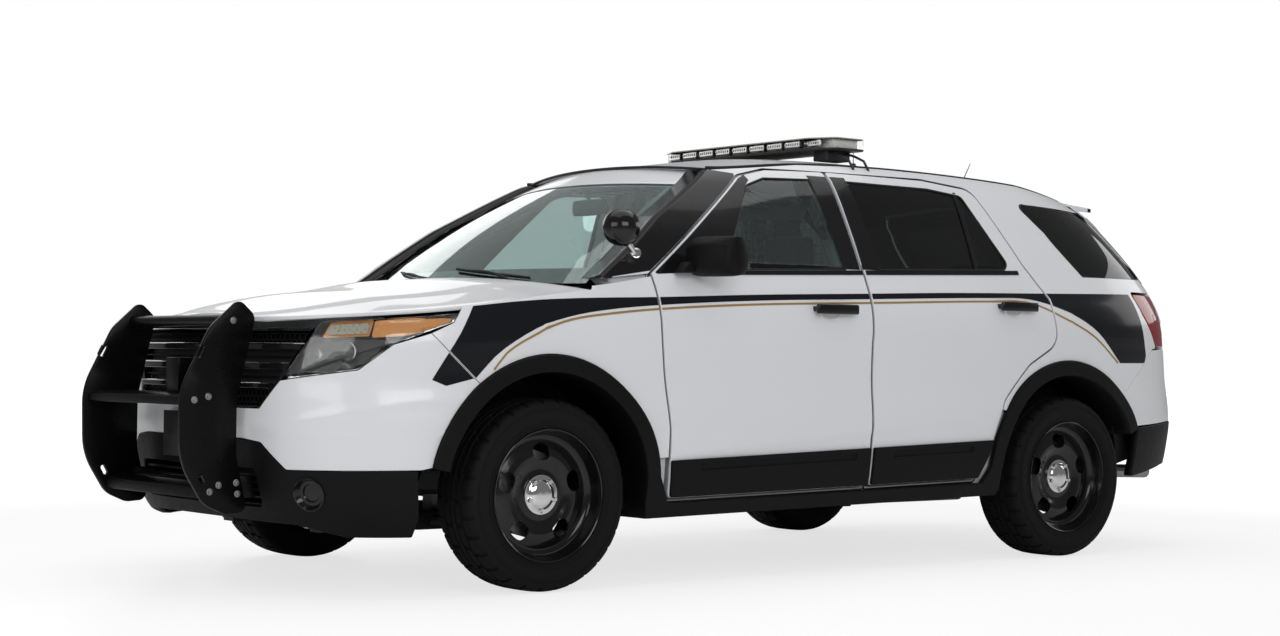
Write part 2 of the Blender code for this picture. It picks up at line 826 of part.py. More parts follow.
def fenders():
    front_arch = arch(0.0, FLARE_RADIUS + SEAM, 128, 14)
    g = SHUT_GAP
    corners = (
        (*LAMP_TOP_REAR, 0),
        (*LAMP_TIP, 0),
        (*FENDER_SEAM, 0),
        *front_arch,
        (0.560 - g, 0.486, 0),
        (0.560 - g, 0.600, 0),
        (0.512 - g, 1.050, 0),
        (0.500 - g, 1.180, 0),
        (0.300, 1.148, 0),
        (0.215, 1.136, 0),
        (0.210, fender_top(0.21), 0.010),
        (-0.10, fender_top(-0.10), 0),
    )
    for word, side in SIDES:
        panel(
            f"fender_{word}",
            corners,
            on_side(side),
            white_paint(),
            (0.0, SKIN),
            shrink=0.001,
            t_cuts=(-0.42, -0.30, -0.15, 0.0, 0.2, 0.35),
            z_cuts=(0.62, 0.78, 0.92, 1.00, 1.07),
        )


def side_claddings():
    """The black run of plastic round both arches and along the sill, with the arch liners behind it."""
    for word, side in SIDES:
        levels = []
        for depth, outer, sill_top, foot_angle, sill_from, sill_to in (
            (-FLARE_PROUD, FLARE_RADIUS, 0.058, 6, 0.560, 2.300),
            (0.010, FLARE_RADIUS, 0.058, 6, 0.560, 2.300),
            (SKIN, ARCH_RADIUS + LINER, 0.012, -4, 0.500, 2.390),
            (LINER_DEPTH, ARCH_RADIUS + LINER, 0.012, -4, 0.500, 2.390),
        ):
            front_out = [
                (outer * math.cos(math.radians(a)), ARCH_HEIGHT + outer * math.sin(math.radians(a)), 0)
                for a in [168, *(ARCH_STEP * k for k in range(13, 0, -1)), foot_angle]
            ]
            rear_out = [
                (WHEELBASE + outer * math.cos(math.radians(a)), ARCH_HEIGHT + outer * math.sin(math.radians(a)), 0)
                for a in [180 - foot_angle, *(ARCH_STEP * k for k in range(14, 2, -1)), 24]
            ]
            rear_in = arch(WHEELBASE, ARCH_RADIUS, 24, 186)
            front_in = arch(0.0, ARCH_RADIUS, -6, 168)
            sill = [
                (sill_from, sill_bottom(sill_from) + sill_top, 0),
                (sill_to, sill_bottom(sill_to) + sill_top, 0),
            ]
            foot = [
                (WHEELBASE - ARCH_RADIUS - 0.02, sill_bottom(2.40), 0),
                (ARCH_RADIUS + 0.02, sill_bottom(0.47), 0),
            ]
            run = front_out + sill + rear_out + rear_in + foot + front_in
            levels.append((depth, outline(run)))
        mesh = slab(levels, t_cuts=(-0.3, -0.15, 0.0, 3.0, 3.15, 3.3), z_cuts=(0.40, 0.60))
        settle(f"side_cladding_{word}", lay(mesh, on_arch_side(side), SIDE_FLAT_ANGLE), black_plastic())


NOSE_CUTS = (-1.3, -1.1, -0.95, -0.8, -0.6, -0.3, 0.0, 0.3, 0.6, 0.8, 0.95, 1.1, 1.3)
TAIL_CUTS = (-1.3, -1.1, -0.9, -0.7, -0.4, 0.0, 0.4, 0.7, 0.9, 1.1, 1.3)


def mirrored(half):
    """A full outline from its left half, listed from the top centre round to the bottom centre."""
    return tuple(half) + tuple((-u, z, r) for u, z, r in reversed(half))


def nose_u(t):
    return t - NOSE_END


def tail_u(t):
    return TAIL_WRAP_END - t


# Seams of the front end, as (t, z)
COVER_TOP = 0.670
LAMP_TOP_INNER = (-0.957, 0.990)
LAMP_LOW_INNER = (-1.100, 0.772)
LAMP_LOW_OUTER = (-0.785, 0.812)
LAMP_LOW_REAR = (-0.671, 0.904)
LAMP_TIP = (-0.444, 0.985)
LAMP_TOP_REAR = (-0.404, fender_top(-0.404))
FENDER_SEAM = (-0.534, 0.946)
COVER_STEP_HIGH = (-1.190, 0.549)
COVER_STEP_LOW = (-1.065, 0.454)
COVER_MIDDLE = (-1.300, 0.560)


def nose_row(point, radius=0.0):
    return (nose_u(point[0]), point[1], radius)


def front_end():
    """Bumper cover, lower bumper, grille and headlamps, all on the nose's own curve."""
    half_seam = SEAM / 2
    arch_edge = [(nose_u(t), z, 0) for t, z, _ in arch(0.0, FLARE_RADIUS + SEAM, 128, 168)]
    cover = mirrored(
        (
            (0.300, COVER_TOP, 0),
            (nose_u(-1.200), COVER_TOP, 0.020),
            nose_row(LAMP_LOW_INNER, 0.010),
            nose_row(LAMP_LOW_OUTER, 0.020),
            nose_row(LAMP_LOW_REAR, 0.020),
            nose_row(FENDER_SEAM),
            *arch_edge,
            (nose_u(-0.550), 0.459, 0),
            nose_row(COVER_STEP_LOW, 0.020),
            nose_row(COVER_STEP_HIGH, 0.030),
            nose_row(COVER_MIDDLE),
        )
    )
    panel(
        "front_bumper", cover, on_nose, white_paint(), (0.0, 0.030), shrink=half_seam,
        t_cuts=NOSE_CUTS, z_cuts=(0.52, 0.70, 0.84),
    )
    lower = mirrored(
        (
            (0.300, COVER_MIDDLE[1], 0),
            nose_row(COVER_MIDDLE),
            nose_row(COVER_STEP_HIGH, 0.030),
            nose_row(COVER_STEP_LOW, 0.020),
            (nose_u(-0.560), 0.459, 0),
            (nose_u(-0.560), 0.285, 0.010),
            (nose_u(-0.590), 0.215, 0.010),
            (nose_u(-0.850), 0.215, 0.030),
            (nose_u(-1.060), 0.255, 0.040),
            (0.300, 0.260, 0),
        )
    )
    intake = (
        (-0.470, 0.315, 0.020),
        (0.470, 0.315, 0.020),
        (0.450, 0.455, 0.020),
        (-0.450, 0.455, 0.020),
    )
    panel(
        "lower_bumper", lower, on_nose, black_plastic(), (0.0, 0.030), holes=(intake,), shrink=half_seam,
        t_cuts=NOSE_CUTS, z_cuts=(0.27, 0.40),
    )
    grille = mirrored(
        (
            (0.300, 0.966, 0),
            (nose_u(-0.973), 0.966, 0.010),
            nose_row(LAMP_LOW_INNER, 0.020),
            (nose_u(-1.200), COVER_TOP, 0.020),
            (0.300, COVER_TOP, 0),
        )
    )
    slots = []
    for low, high in ((0.700, 0.738), (0.764, 0.810), (0.836, 0.882), (0.906, 0.946)):
        reach = 0.40 + 0.20 * (low - 0.700) / 0.26
        slots.append(((-reach, low, 0), (reach, low, 0), (reach + 0.02, high, 0), (-reach - 0.02, high, 0)))
    panel(
        "grille", grille, on_nose, gloss_black(), (0.012, 0.045), holes=slots, shrink=0.004,
        t_cuts=NOSE_CUTS, z_cuts=(0.84,),
    )
    hood_clear = HOOD_DEPTH + 0.008
    lamp = (
        (LAMP_TOP_INNER[0], fender_top(LAMP_TOP_INNER[0]) - hood_clear, 0),
        (*LAMP_LOW_INNER, 0.015),
        (*LAMP_LOW_OUTER, 0.030),
        (*LAMP_LOW_REAR, 0.030),
        (*LAMP_TIP, 0.010),
        (-0.419, LAMP_TOP_REAR[1] - hood_clear, 0),
        (-0.70, fender_top(-0.70) - hood_clear, 0),
    )
    for word, side in SIDES:
        panel(
            f"headlamp_{word}", lamp, on_side(side), clear_lens(), (0.002, 0.060), shrink=0.004,
            t_cuts=(-0.95, -0.8, -0.65, -0.5), z_cuts=(0.90,),
        )


def rear_end():
    """Rear bumper in two colours and the lamps at the corners."""
    g = SEAM
    arch_edge = [(tail_u(t), z, 0) for t, z, _ in arch(WHEELBASE, FLARE_RADIUS + SEAM, 38, 25)]
    cover = mirrored(
        (
            (0.300, 0.712, 0),
            (0.900, 0.712, 0.020),
            (tail_u(3.740), 0.935, 0.010),
            (tail_u(3.540) - g, 0.930 - g, 0),
            (tail_u(3.280) - g, 0.740, 0.015),
            *arch_edge,
            (tail_u(3.700), 0.594, 0),
            (0.300, 0.600, 0),
        )
    )
    panel(
        "rear_bumper", cover, on_tail, white_paint(), (0.0, 0.030),
        t_cuts=TAIL_CUTS, z_cuts=(0.70, 0.82),
    )
    lower = mirrored(
        (
            (0.300, 0.600 - g, 0),
            (tail_u(3.700), 0.594 - g, 0),
            (tail_u(3.350) - g, 0.574 - g, 0),
            (tail_u(3.350), 0.345, 0.020),
            (tail_u(3.700), 0.390, 0.040),
            (0.300, 0.400, 0),
        )
    )
    panel(
        "rear_lower_bumper", lower, on_tail, black_plastic(), (-0.004, 0.030),
        t_cuts=TAIL_CUTS, z_cuts=(0.48,),
    )
    lamp = (
        (3.432, 1.190, 0.015),
        (3.745, 1.190, 0.010),
        (3.725, 0.945, 0.010),
        (3.600, 0.945, 0.010),
        (3.478, 1.090, 0.020),
    )
    for word, side in SIDES:
        panel(
            f"tail_lamp_{word}", lamp, on_side(side), red_lens(), (0.0, 0.050), shrink=0.002,
            t_cuts=(3.55, 3.65), z_cuts=(1.08,),
        )


def hood_place(u, t, depth):
    x, station = waist(t, fender_top(t) + 0.002, 0.0)
    x = (x - SKIN - SHUT_GAP) * u
    rear = ease((t + 0.50) / 0.70)
    crown = 0.020 + 0.055 * ease((station + 0.90) / 0.45) - 0.020 * ease((station + 0.1) / 0.4)
    station -= 0.130 * (1 - u * u) * rear
    z = fender_top(t) + crown * (1 - abs(u) ** 2.4)
    return world(x, station, z - depth)


def roof_place(u, t, depth):
    z = ditch(t)
    x, station = waist(t, z, SKIN_BACK + ROOF_GAP)
    x *= u
    crown = 0.030 + 0.027 * ease((t - 1.0) / 0.6) - 0.012 * ease((t - 2.4) / 1.0)
    bow = -0.090 * (1 - u * u) * ease((1.60 - t) / 0.6)
    bow += 0.150 * (1 - u * u) * ease((t - 2.9) / 0.66)
    return world(x, station + bow, z + 0.001 + crown * (1 - abs(u) ** 2.2) - depth)


def screen_place(u, v, depth):
    """The windscreen between the pillars, v from 0 at its foot to 1 at the roof."""
    station = 0.285 + (1.010 - 0.285) * v
    z = 1.150 + (1.628 - 1.150) * v
    x = (waist(station, z + 0.025 * math.sin(math.pi * v))[0] - PILLAR_DEPTH - 0.010) * u
    station -= (0.150 - 0.065 * v) * (1 - u * u)
    bulge = 0.030 * math.sin(math.pi * v) + 0.026 * (1 - u * u) * v
    return world(x, station - bulge * 0.55 + depth * 0.55, z + bulge * 0.83 - depth * 0.83)


def upper_panels():
    hinge = world(0, *HOOD_AXIS)
    hood_rows = (-1.44, -1.16, -0.90, -0.64, -0.40, -0.15, 0.05, 0.205)
    blanket("hood", 8, hood_rows, hood_place, HOOD_DEPTH, white_paint(), hinge)
    roof_rows = (1.03, 1.25, 1.50, 2.00, 2.60, 2.863, 3.10, 3.30, 3.42, ROOF_END)
    combine(blanket("roof", 6, roof_rows, roof_place, ROOF_DEPTH, white_paint()), aerials())
    screen_rows = tuple(k / 4 for k in range(5))
    blanket("windscreen", 8, screen_rows, screen_place, 0.006, dark_glass())


def cowl_place(u, v, depth):
    """The grille panel between the hood's rear edge and the foot of the screen."""
    foot = screen_place(u * 0.97, 0.0, 0.0)
    front = hood_place(u * 0.88, 0.205, 0.0)
    point = front.lerp(foot, v)
    ahead = Vector((0, 0.020 * (1 - v) + 0.012 * v, 0))
    return point + ahead + Vector((0, 0, -0.012 - depth))


def liftgate():
    hinge = world(0, *LIFTGATE_AXIS)
    corners = mirrored(
        (
            (0.300, 1.650, 0),
            (tail_u(3.580), 1.618, 0.030),
            (tail_u(3.820), 1.262, 0.030),
            (tail_u(3.776), 1.200, 0.010),
            (tail_u(3.762), 0.960, 0.020),
            (0.890, 0.722, 0.020),
            (0.300, 0.722, 0),
        )
    )
    window = mirrored(
        (
            (0.300, 1.570, 0),
            (0.960, 1.555, 0.030),
            (0.800, 1.270, 0.040),
            (0.300, 1.250, 0),
        )
    )
    gate = panel(
        "liftgate", corners, on_tail, white_paint(), (0.0, 0.050), holes=(window,), origin=hinge,
        t_cuts=TAIL_CUTS, z_cuts=(0.92, 1.12, 1.21, 1.40),
    )
    glass = panel(
        "rear_glass", window, on_tail, dark_glass(), (GLASS_DEPTH, GLASS_DEPTH + GLASS), shrink=0.0011,
        origin=hinge, t_cuts=TAIL_CUTS, z_cuts=(1.40,),
    )
    glass.parent = gate
    glass.location = (0, 0, 0)
    combine(gate, [blanket("spoiler", 6, (0.0, 1.0), spoiler_place, 1.0, white_paint())])


def spoiler_place(u, v, deep):
    """The fin along the gate's upper edge: v from 0 behind the roof to 1 at its tip."""
    front = roof_place(u, ROOF_END, 0.0) + Vector((0, 0.012, 0))
    tip = world(0.600 * u, 3.440 + 0.150 * (1 - u * u), 1.602 + 0.050 * (1 - abs(u) ** 2.2))
    point = front.lerp(tip, v)
    return point + Vector((0, 0, -(0.032 - 0.014 * v) * deep))


def front_guard():
    """The push bumper: two upright plates, a top tube, a middle shelf and a lower bar on two brackets."""
    plate = (
        (-0.985, 1.050, 0.030),
        (-1.090, 0.955, 0.120),
        (-1.205, 0.730, 0.250),
        (-1.200, 0.480, 0.250),
        (-1.110, 0.335, 0.100),
        (-1.030, 0.300, 0.050),
        (-0.955, 0.305, 0.030),
        (-1.000, 0.500, 0.150),
        (-1.000, 0.700, 0.150),
        (-0.930, 1.000, 0.040),
    )
    pieces = []
    for word, side in SIDES:
        pieces.append(
            extruded(f"guard_plate_{word}", outline(plate, 0.010), side * 0.392, side * 0.412, "x", gloss_black())
        )
        bracket = ((-1.010, 0.345), (-1.010, 0.425), (-0.560, 0.425), (-0.560, 0.215), (-0.620, 0.215), (-0.620, 0.345))
        pieces.append(
            extruded(f"guard_bracket_{word}", bracket, side * 0.3804, side * 0.394, "x", gloss_black())
        )
    pieces.append(rod("guard_tube", (-0.400, -1.010, 0.985), (0.400, -1.010, 0.985), 0.022, gloss_black()))
    shelf = ((-1.195, 0.680), (-1.195, 0.715), (-1.150, 0.722), (-1.020, 0.722), (-1.020, 0.708), (-1.150, 0.700))
    pieces.append(extruded("guard_shelf", shelf, -0.400, 0.400, "x", gloss_black()))
    bar = ((-1.115, 0.345), (-1.115, 0.385), (-1.085, 0.405), (-1.000, 0.405), (-1.000, 0.390), (-1.080, 0.385))
    pieces.append(extruded("guard_bar", bar, -0.400, 0.400, "x", gloss_black()))
    pieces.append(body_box("guard_box", (0.170, -1.120, 0.715), (0.255, -1.040, 0.850), gloss_black(), 0.005))
    whole = pieces[0]
    whole.name = "push_bumper"
    combine(whole, pieces[1:])


def roof_gear():
    """The light bar on its two feet, the spotlight on the driver's pillar and two whip aerials."""
    station, half, depth = 1.861, 0.585, 0.140
    plan = (
        (-half, station - depth * 0.55, 0.030), (-half * 0.80, station - depth, 0.030),
        (half * 0.80, station - depth, 0.030), (half, station - depth * 0.55, 0.030),
        (half, station + depth * 0.75, 0.030), (-half, station + depth * 0.75, 0.030),
    )
    extruded("light_bar", outline(plan), 1.778, 1.832, "z", clear_lens())
    ball = (0.955, 0.316, 1.358)
    mesh = bmesh.new()
    bmesh.ops.create_uvsphere(mesh, u_segments=12, v_segments=7, radius=0.073)
    face = Matrix.Translation(world(*ball)) @ Matrix.Diagonal((1, 0.92, 1, 1))
    bmesh.ops.transform(mesh, matrix=face, verts=mesh.verts)
    lamp = settle("spotlight", mesh, gloss_black())
    foot = (waist(0.43, 1.262)[0] + 0.012, 0.43, 1.262)
    stem = rod("spotlight_stem", (ball[0] - 0.01, ball[1] + 0.02, ball[2] - 0.02), foot, 0.014, grey_metal(), 10)
    combine(lamp, [stem])


def aerials():
    """Two whip aerials that stand on the roof skin."""
    made = []
    for name, x, at, tall, lean in (("aerial_front", 0.30, 2.16, 0.060, 0.0), ("aerial_rear", 0.22, 2.95, 0.10, 0.06)):
        base = roof_height(x, at)
        made.append(rod(name, (x, at, base - 0.006), (x, at + lean, base + tall), 0.003, gloss_black(), 6))
        made.append(rod(name + "_foot", (x, at, base - 0.008), (x, at, base + 0.012), 0.016, gloss_black(), 10, 0.010))
    return made


def roof_height(x, station):
    """Height of the roof's upper face at x and station."""
    edge = waist(station, ditch(station), SKIN_BACK + ROOF_GAP)[0]
    return roof_place(x / edge, station, 0.0).z


def cabin():
    """Floor with firewall, dashboard with wheel, seats, bench, partition and engine block."""
    pan = (
        (FIREWALL, 0.300), (FIREWALL, 1.030), (0.080, 1.030), (0.080, 1.050), (FIREWALL + 0.018, 1.050),
        (FIREWALL + 0.018, 0.325), (2.300, 0.345), (2.430, 0.480),
        (3.200, 0.560), (3.840, 0.560), (3.840, 0.530), (3.200, 0.530), (2.440, 0.450), (2.310, 0.315),
    )
    floor = extruded("floor", pan, -0.640, 0.640, "x", black_plastic())
    wings = []
    for word, side in SIDES:
        wings.append(
            extruded(
                f"floor_wing_{word}",
                ((0.560, 0.302), (0.560, 0.322), (2.250, 0.341), (2.250, 0.316)),
                side * 0.600, side * 0.800, "x", black_plastic(),
            )
        )
    combine(floor, wings)
    dash_line = (
        (0.400, 0.900), (0.360, 1.060), (0.520, 1.110), (0.740, 1.085), (0.800, 1.020), (0.770, 0.900),
        (0.640, 0.780), (0.520, 0.760),
    )
    dash = extruded("dashboard", dash_line, -0.700, 0.700, "x", dark_fabric())
    wheel = bmesh.new()
    hoop = [wheel.verts.new((0.180 + 0.015 * math.cos(a), 0, 0.015 * math.sin(a))) for a in
            (math.tau * k / 6 for k in range(6))]
    rim = [wheel.edges.new((hoop[i - 1], hoop[i])) for i in range(6)]
    bmesh.ops.spin(wheel, geom=hoop + rim, cent=(0, 0, 0), axis=(0, 0, 1), angle=math.tau, steps=12, use_merge=True)
    tilt = Matrix.Translation(world(0.380, 0.960, 1.020)) @ Matrix.Rotation(math.radians(-65), 4, "X")
    bmesh.ops.transform(wheel, matrix=tilt, verts=wheel.verts)
    hoop_part = settle("steering_hoop", wheel, dark_fabric())
    spokes = [
        rod("steering_column", (0.380, 0.960, 1.020), (0.380, 0.700, 0.900), 0.040, dark_fabric(), 12),
        rod("steering_spoke_a", (0.200, 0.960, 1.020), (0.560, 0.960, 1.020), 0.012, dark_fabric(), 8),
        rod("steering_spoke_b", (0.380, 0.960, 1.020), (0.380, 0.893, 0.872), 0.012, dark_fabric(), 8),
    ]
    combine(dash, [spokes[0], hoop_part, spokes[1], spokes[2]])
    seat_line = (
        (1.120, 0.420), (1.100, 0.600), (1.160, 0.640), (1.500, 0.600), (1.560, 0.640), (1.680, 1.180),
        (1.700, 1.420), (1.760, 1.430), (1.790, 1.390), (1.760, 1.150), (1.680, 0.620), (1.620, 0.420),
    )
    for word, side in SIDES:
        centre = side * 0.380
        extruded(f"front_seat_{word}", seat_line, centre - 0.245, centre + 0.245, "x", dark_fabric(), 0.020)
    bench_line = (
        (2.160, 0.420), (2.140, 0.620), (2.560, 0.600), (2.680, 1.180), (2.760, 1.180), (2.740, 0.600),
        (2.700, 0.530), (2.420, 0.520), (2.320, 0.420),
    )
    extruded("rear_bench", bench_line, -0.600, 0.600, "x", dark_fabric(), 0.015)
    screen = ((-0.640, 0.420, 0), (0.640, 0.420, 0), (0.640, 1.250, 0), (0.500, 1.560, 0.05), (-0.500, 1.560, 0.05),
              (-0.640, 1.250, 0))
    opening = ((-0.560, 1.020, 0.02), (0.560, 1.020, 0.02), (0.550, 1.240, 0), (0.450, 1.500, 0.02),
               (-0.450, 1.500, 0.02), (-0.550, 1.240, 0))

    def upright(u, z, deep):
        return world(u, 1.900 + deep, z)

    panel("partition", screen, upright, gloss_black(), (0.0, 0.020), holes=(opening,))
    body_box("engine", (-0.340, -0.560, 0.330), (0.340, 0.160, 0.900), grey_metal(), 0.020)


def wheel_profile():
    """Rim section as (outward distance from the tyre's middle, radius)."""
    return (
        (0.112, 0.246), (0.112, 0.236), (0.058, 0.212),
        (0.046, 0.196), (0.060, 0.130), (0.050, 0.100), (0.070, 0.084), (0.066, 0.0001), (0.030, 0.0001),
        (0.030, 0.205), (-0.112, 0.234), (-0.112, 0.246),
    )


def wheel_windows(centre, side):
    """Cutters for the rounded windows, one prism for each, set round the wheel's axis."""
    made = []
    for k in range(WHEEL_WINDOWS):
        mesh = bmesh.new()
        bmesh.ops.create_cone(mesh, cap_ends=True, segments=8, radius1=1.0, radius2=1.0, depth=0.090)
        bmesh.ops.rotate(mesh, verts=mesh.verts, cent=(0, 0, 0), matrix=Matrix.Rotation(math.tau / 16, 3, "Z"))
        bmesh.ops.scale(mesh, vec=(WINDOW_HALF_WIDE, WINDOW_HALF_TALL, 1.0), verts=mesh.verts)
        lie = Matrix.Rotation(math.tau * k / WHEEL_WINDOWS, 4, "X") @ Matrix.Translation((0.060 * side, 0, WINDOW_MIDDLE))
        stand = Matrix.Rotation(math.pi / 2, 4, "Y") @ Matrix.Rotation(math.pi / 2, 4, "Z")
        bmesh.ops.transform(mesh, matrix=Matrix.Translation(world(*centre)) @ lie @ stand, verts=mesh.verts)
        made.append(settle("wheel_window", mesh, gloss_black()))
    return made


def wheels():
    """Four steel wheels with five rounded windows and a plain cap, each in its own tyre."""
    half = TYRE_WIDTH / 2
    shoulder = TYRE_RADIUS
    tyre_line = (
        (0.106, 0.2465), (half, 0.290), (half - 0.018, shoulder - 0.008),
        (half - 0.040, shoulder), (-half + 0.040, shoulder), (-half + 0.018, shoulder - 0.008),
        (-half, 0.290), (-0.106, 0.2465),
    )
    for name, at, steered in (("front", 0.0, True), ("rear", WHEELBASE, False)):
        for word, side in SIDES:
            centre = (side * TRACK / 2, at, TYRE_RADIUS)
            home = world(*centre)
            tyre = turned(f"{name}_tyre_{word}", tyre_line, centre, side, rubber(), WHEEL_STEPS, home)
            rim = turned(f"{name}_wheel_{word}", wheel_profile(), centre, side, gloss_black(), WHEEL_STEPS, home)
            combine(rim, wheel_windows(centre, side), "DIFFERENCE")
            tyre.parent = rim
            tyre.location = (0, 0, 0)


def running_gear():
    """Knuckles and hubs, the front subframe with its arms, the rear beam, the tank and the exhaust."""
    hub_face = TRACK / 2 + 0.030 - 0.0006
    for word, side in SIDES:
        home = world(side * STEER_AXIS_X, 0.0, TYRE_RADIUS)
        hub = rod(
            f"knuckle_{word}", (side * (TRACK / 2 - 0.130), 0, TYRE_RADIUS), (side * hub_face, 0, TYRE_RADIUS),
            0.070, grey_metal(), 10,
        )
        disc = rod(
            f"brake_disc_{word}", (side * (TRACK / 2 - 0.020), 0, TYRE_RADIUS), (side * (TRACK / 2 + 0.006), 0, TYRE_RADIUS),
            0.165, grey_metal(), 12,
        )
        hub.data.transform(Matrix.Translation(-home))
        hub.location = home
        combine(hub, [disc])
    arm_end = STEER_AXIS_X - 0.151
    cross = [
        body_box("front_suspension", (-0.380, -0.200, 0.200), (0.380, 0.200, 0.262), black_plastic()),
        body_box("subframe_left", (0.300, -0.620, 0.205), (0.380, 0.420, 0.256), black_plastic()),
        body_box("subframe_right", (-0.380, -0.620, 0.205), (-0.300, 0.420, 0.256), black_plastic()),
    ]
    for word, side in SIDES:
        for shift in (-0.140, 0.140):
            cross.append(
                rod(f"front_arm_{word}", (side * 0.340, shift, 0.232), (side * arm_end, 0.0, 0.240), 0.020, black_plastic(), 8)
            )
        cross.append(
            rod(f"front_ball_{word}", (side * (arm_end - 0.030), 0, 0.240), (side * STEER_AXIS_X, 0, 0.250), 0.017, black_plastic(), 8)
        )
    combine(cross[0], cross[1:])
    beam_end = TRACK / 2 - 0.151
    rear = [rod("rear_suspension", (-beam_end, WHEELBASE, TYRE_RADIUS), (beam_end, WHEELBASE, TYRE_RADIUS), 0.032,
                black_plastic(), 8)]
    rear.append(body_box("rear_case", (-0.120, WHEELBASE - 0.14, 0.260), (0.120, WHEELBASE + 0.14, 0.430), black_plastic()))
    for word, side in SIDES:
        rear.append(
            rod(f"rear_hub_{word}", (side * (TRACK / 2 - 0.170), WHEELBASE, TYRE_RADIUS),
                (side * hub_face, WHEELBASE, TYRE_RADIUS), 0.070, grey_metal(), 10)
        )
        rear.append(
            rod(f"rear_disc_{word}", (side * (TRACK / 2 - 0.020), WHEELBASE, TYRE_RADIUS),
                (side * (TRACK / 2 + 0.006), WHEELBASE, TYRE_RADIUS), 0.165, grey_metal(), 12)
        )
        rear.append(
            rod(f"rear_arm_{word}", (side * (beam_end - 0.140), WHEELBASE, TYRE_RADIUS), (side * 0.500, WHEELBASE - 0.483, 0.300), 0.024,
                black_plastic(), 8)
        )
    combine(rear[0], rear[1:])
    body_box("fuel_tank", (-0.420, WHEELBASE - 0.963, 0.185), (0.050, WHEELBASE - 0.423, 0.300), black_plastic(), 0.020)
    pipe = rod("exhaust", (0.120, 0.40, 0.230), (0.120, 3.05, 0.230), 0.028, grey_metal(), 10)
    muffler = body_box("muffler", (0.080, 3.040, 0.300), (0.620, 3.300, 0.440), grey_metal(), 0.030)
    tip = rod("exhaust_tip", (0.560, 3.280, 0.360), (0.560, 3.900, 0.340), 0.032, grey_metal(), 12)
    riser = rod("exhaust_riser", (0.120, 3.03, 0.230), (0.160, 3.10, 0.360), 0.028, grey_metal(), 10)
    combine(pipe, [riser, muffler, tip])


WAYS = {"out": (0, 1), "in": (0, -1), "back": (1, 1), "front": (1, -1), "up": (2, 1), "down": (2, -1)}


def skin_tree(thing):
    """The surface of a finished piece, for measuring distances to it."""
    bpy.context.view_layer.update()
    graph = bpy.context.evaluated_depsgraph_get()
    found = thing.evaluated_get(graph)
    mesh = bmesh.new()
    mesh.from_mesh(found.to_mesh())
    bmesh.ops.transform(mesh, matrix=found.matrix_world, verts=mesh.verts)
    tree = BVHTree.FromBMesh(mesh)
    mesh.free()
    found.to_mesh_clear()
    return tree


def bracket(owner, target, start, section, way):
    """A block on owner that runs one way from start and ends SEAT short of target."""
    axis, sign = WAYS[way]
    if axis == 0 and start.x < 0:
        sign = -sign
    across = [k for k in range(3) if k != axis]
    tree = skin_tree(bpy.data.objects[target])
    heading = Vector((0, 0, 0))
    heading[axis] = sign
    found = []
    for i in range(-5, 6):
        for j in range(-5, 6):
            point = start.copy()
            point[across[0]] += i * section[0] / 10
            point[across[1]] += j * section[1] / 10
            reach = tree.ray_cast(point, heading)[3]
            if reach is not None:
                found.append(reach)
    if not found:
        raise ValueError(f"{owner} finds no {target} from {tuple(start)}")
    length = min(found) - SEAT
    low, high = start.copy(), start.copy()
    high[axis] += sign * length
    for k, wide in zip(across, section):
        low[k] -= wide / 2
        high[k] += wide / 2
    block = settle("bracket", box(low, high), bpy.data.objects[owner].data.materials[0])
    combine(bpy.data.objects[owner], [block])


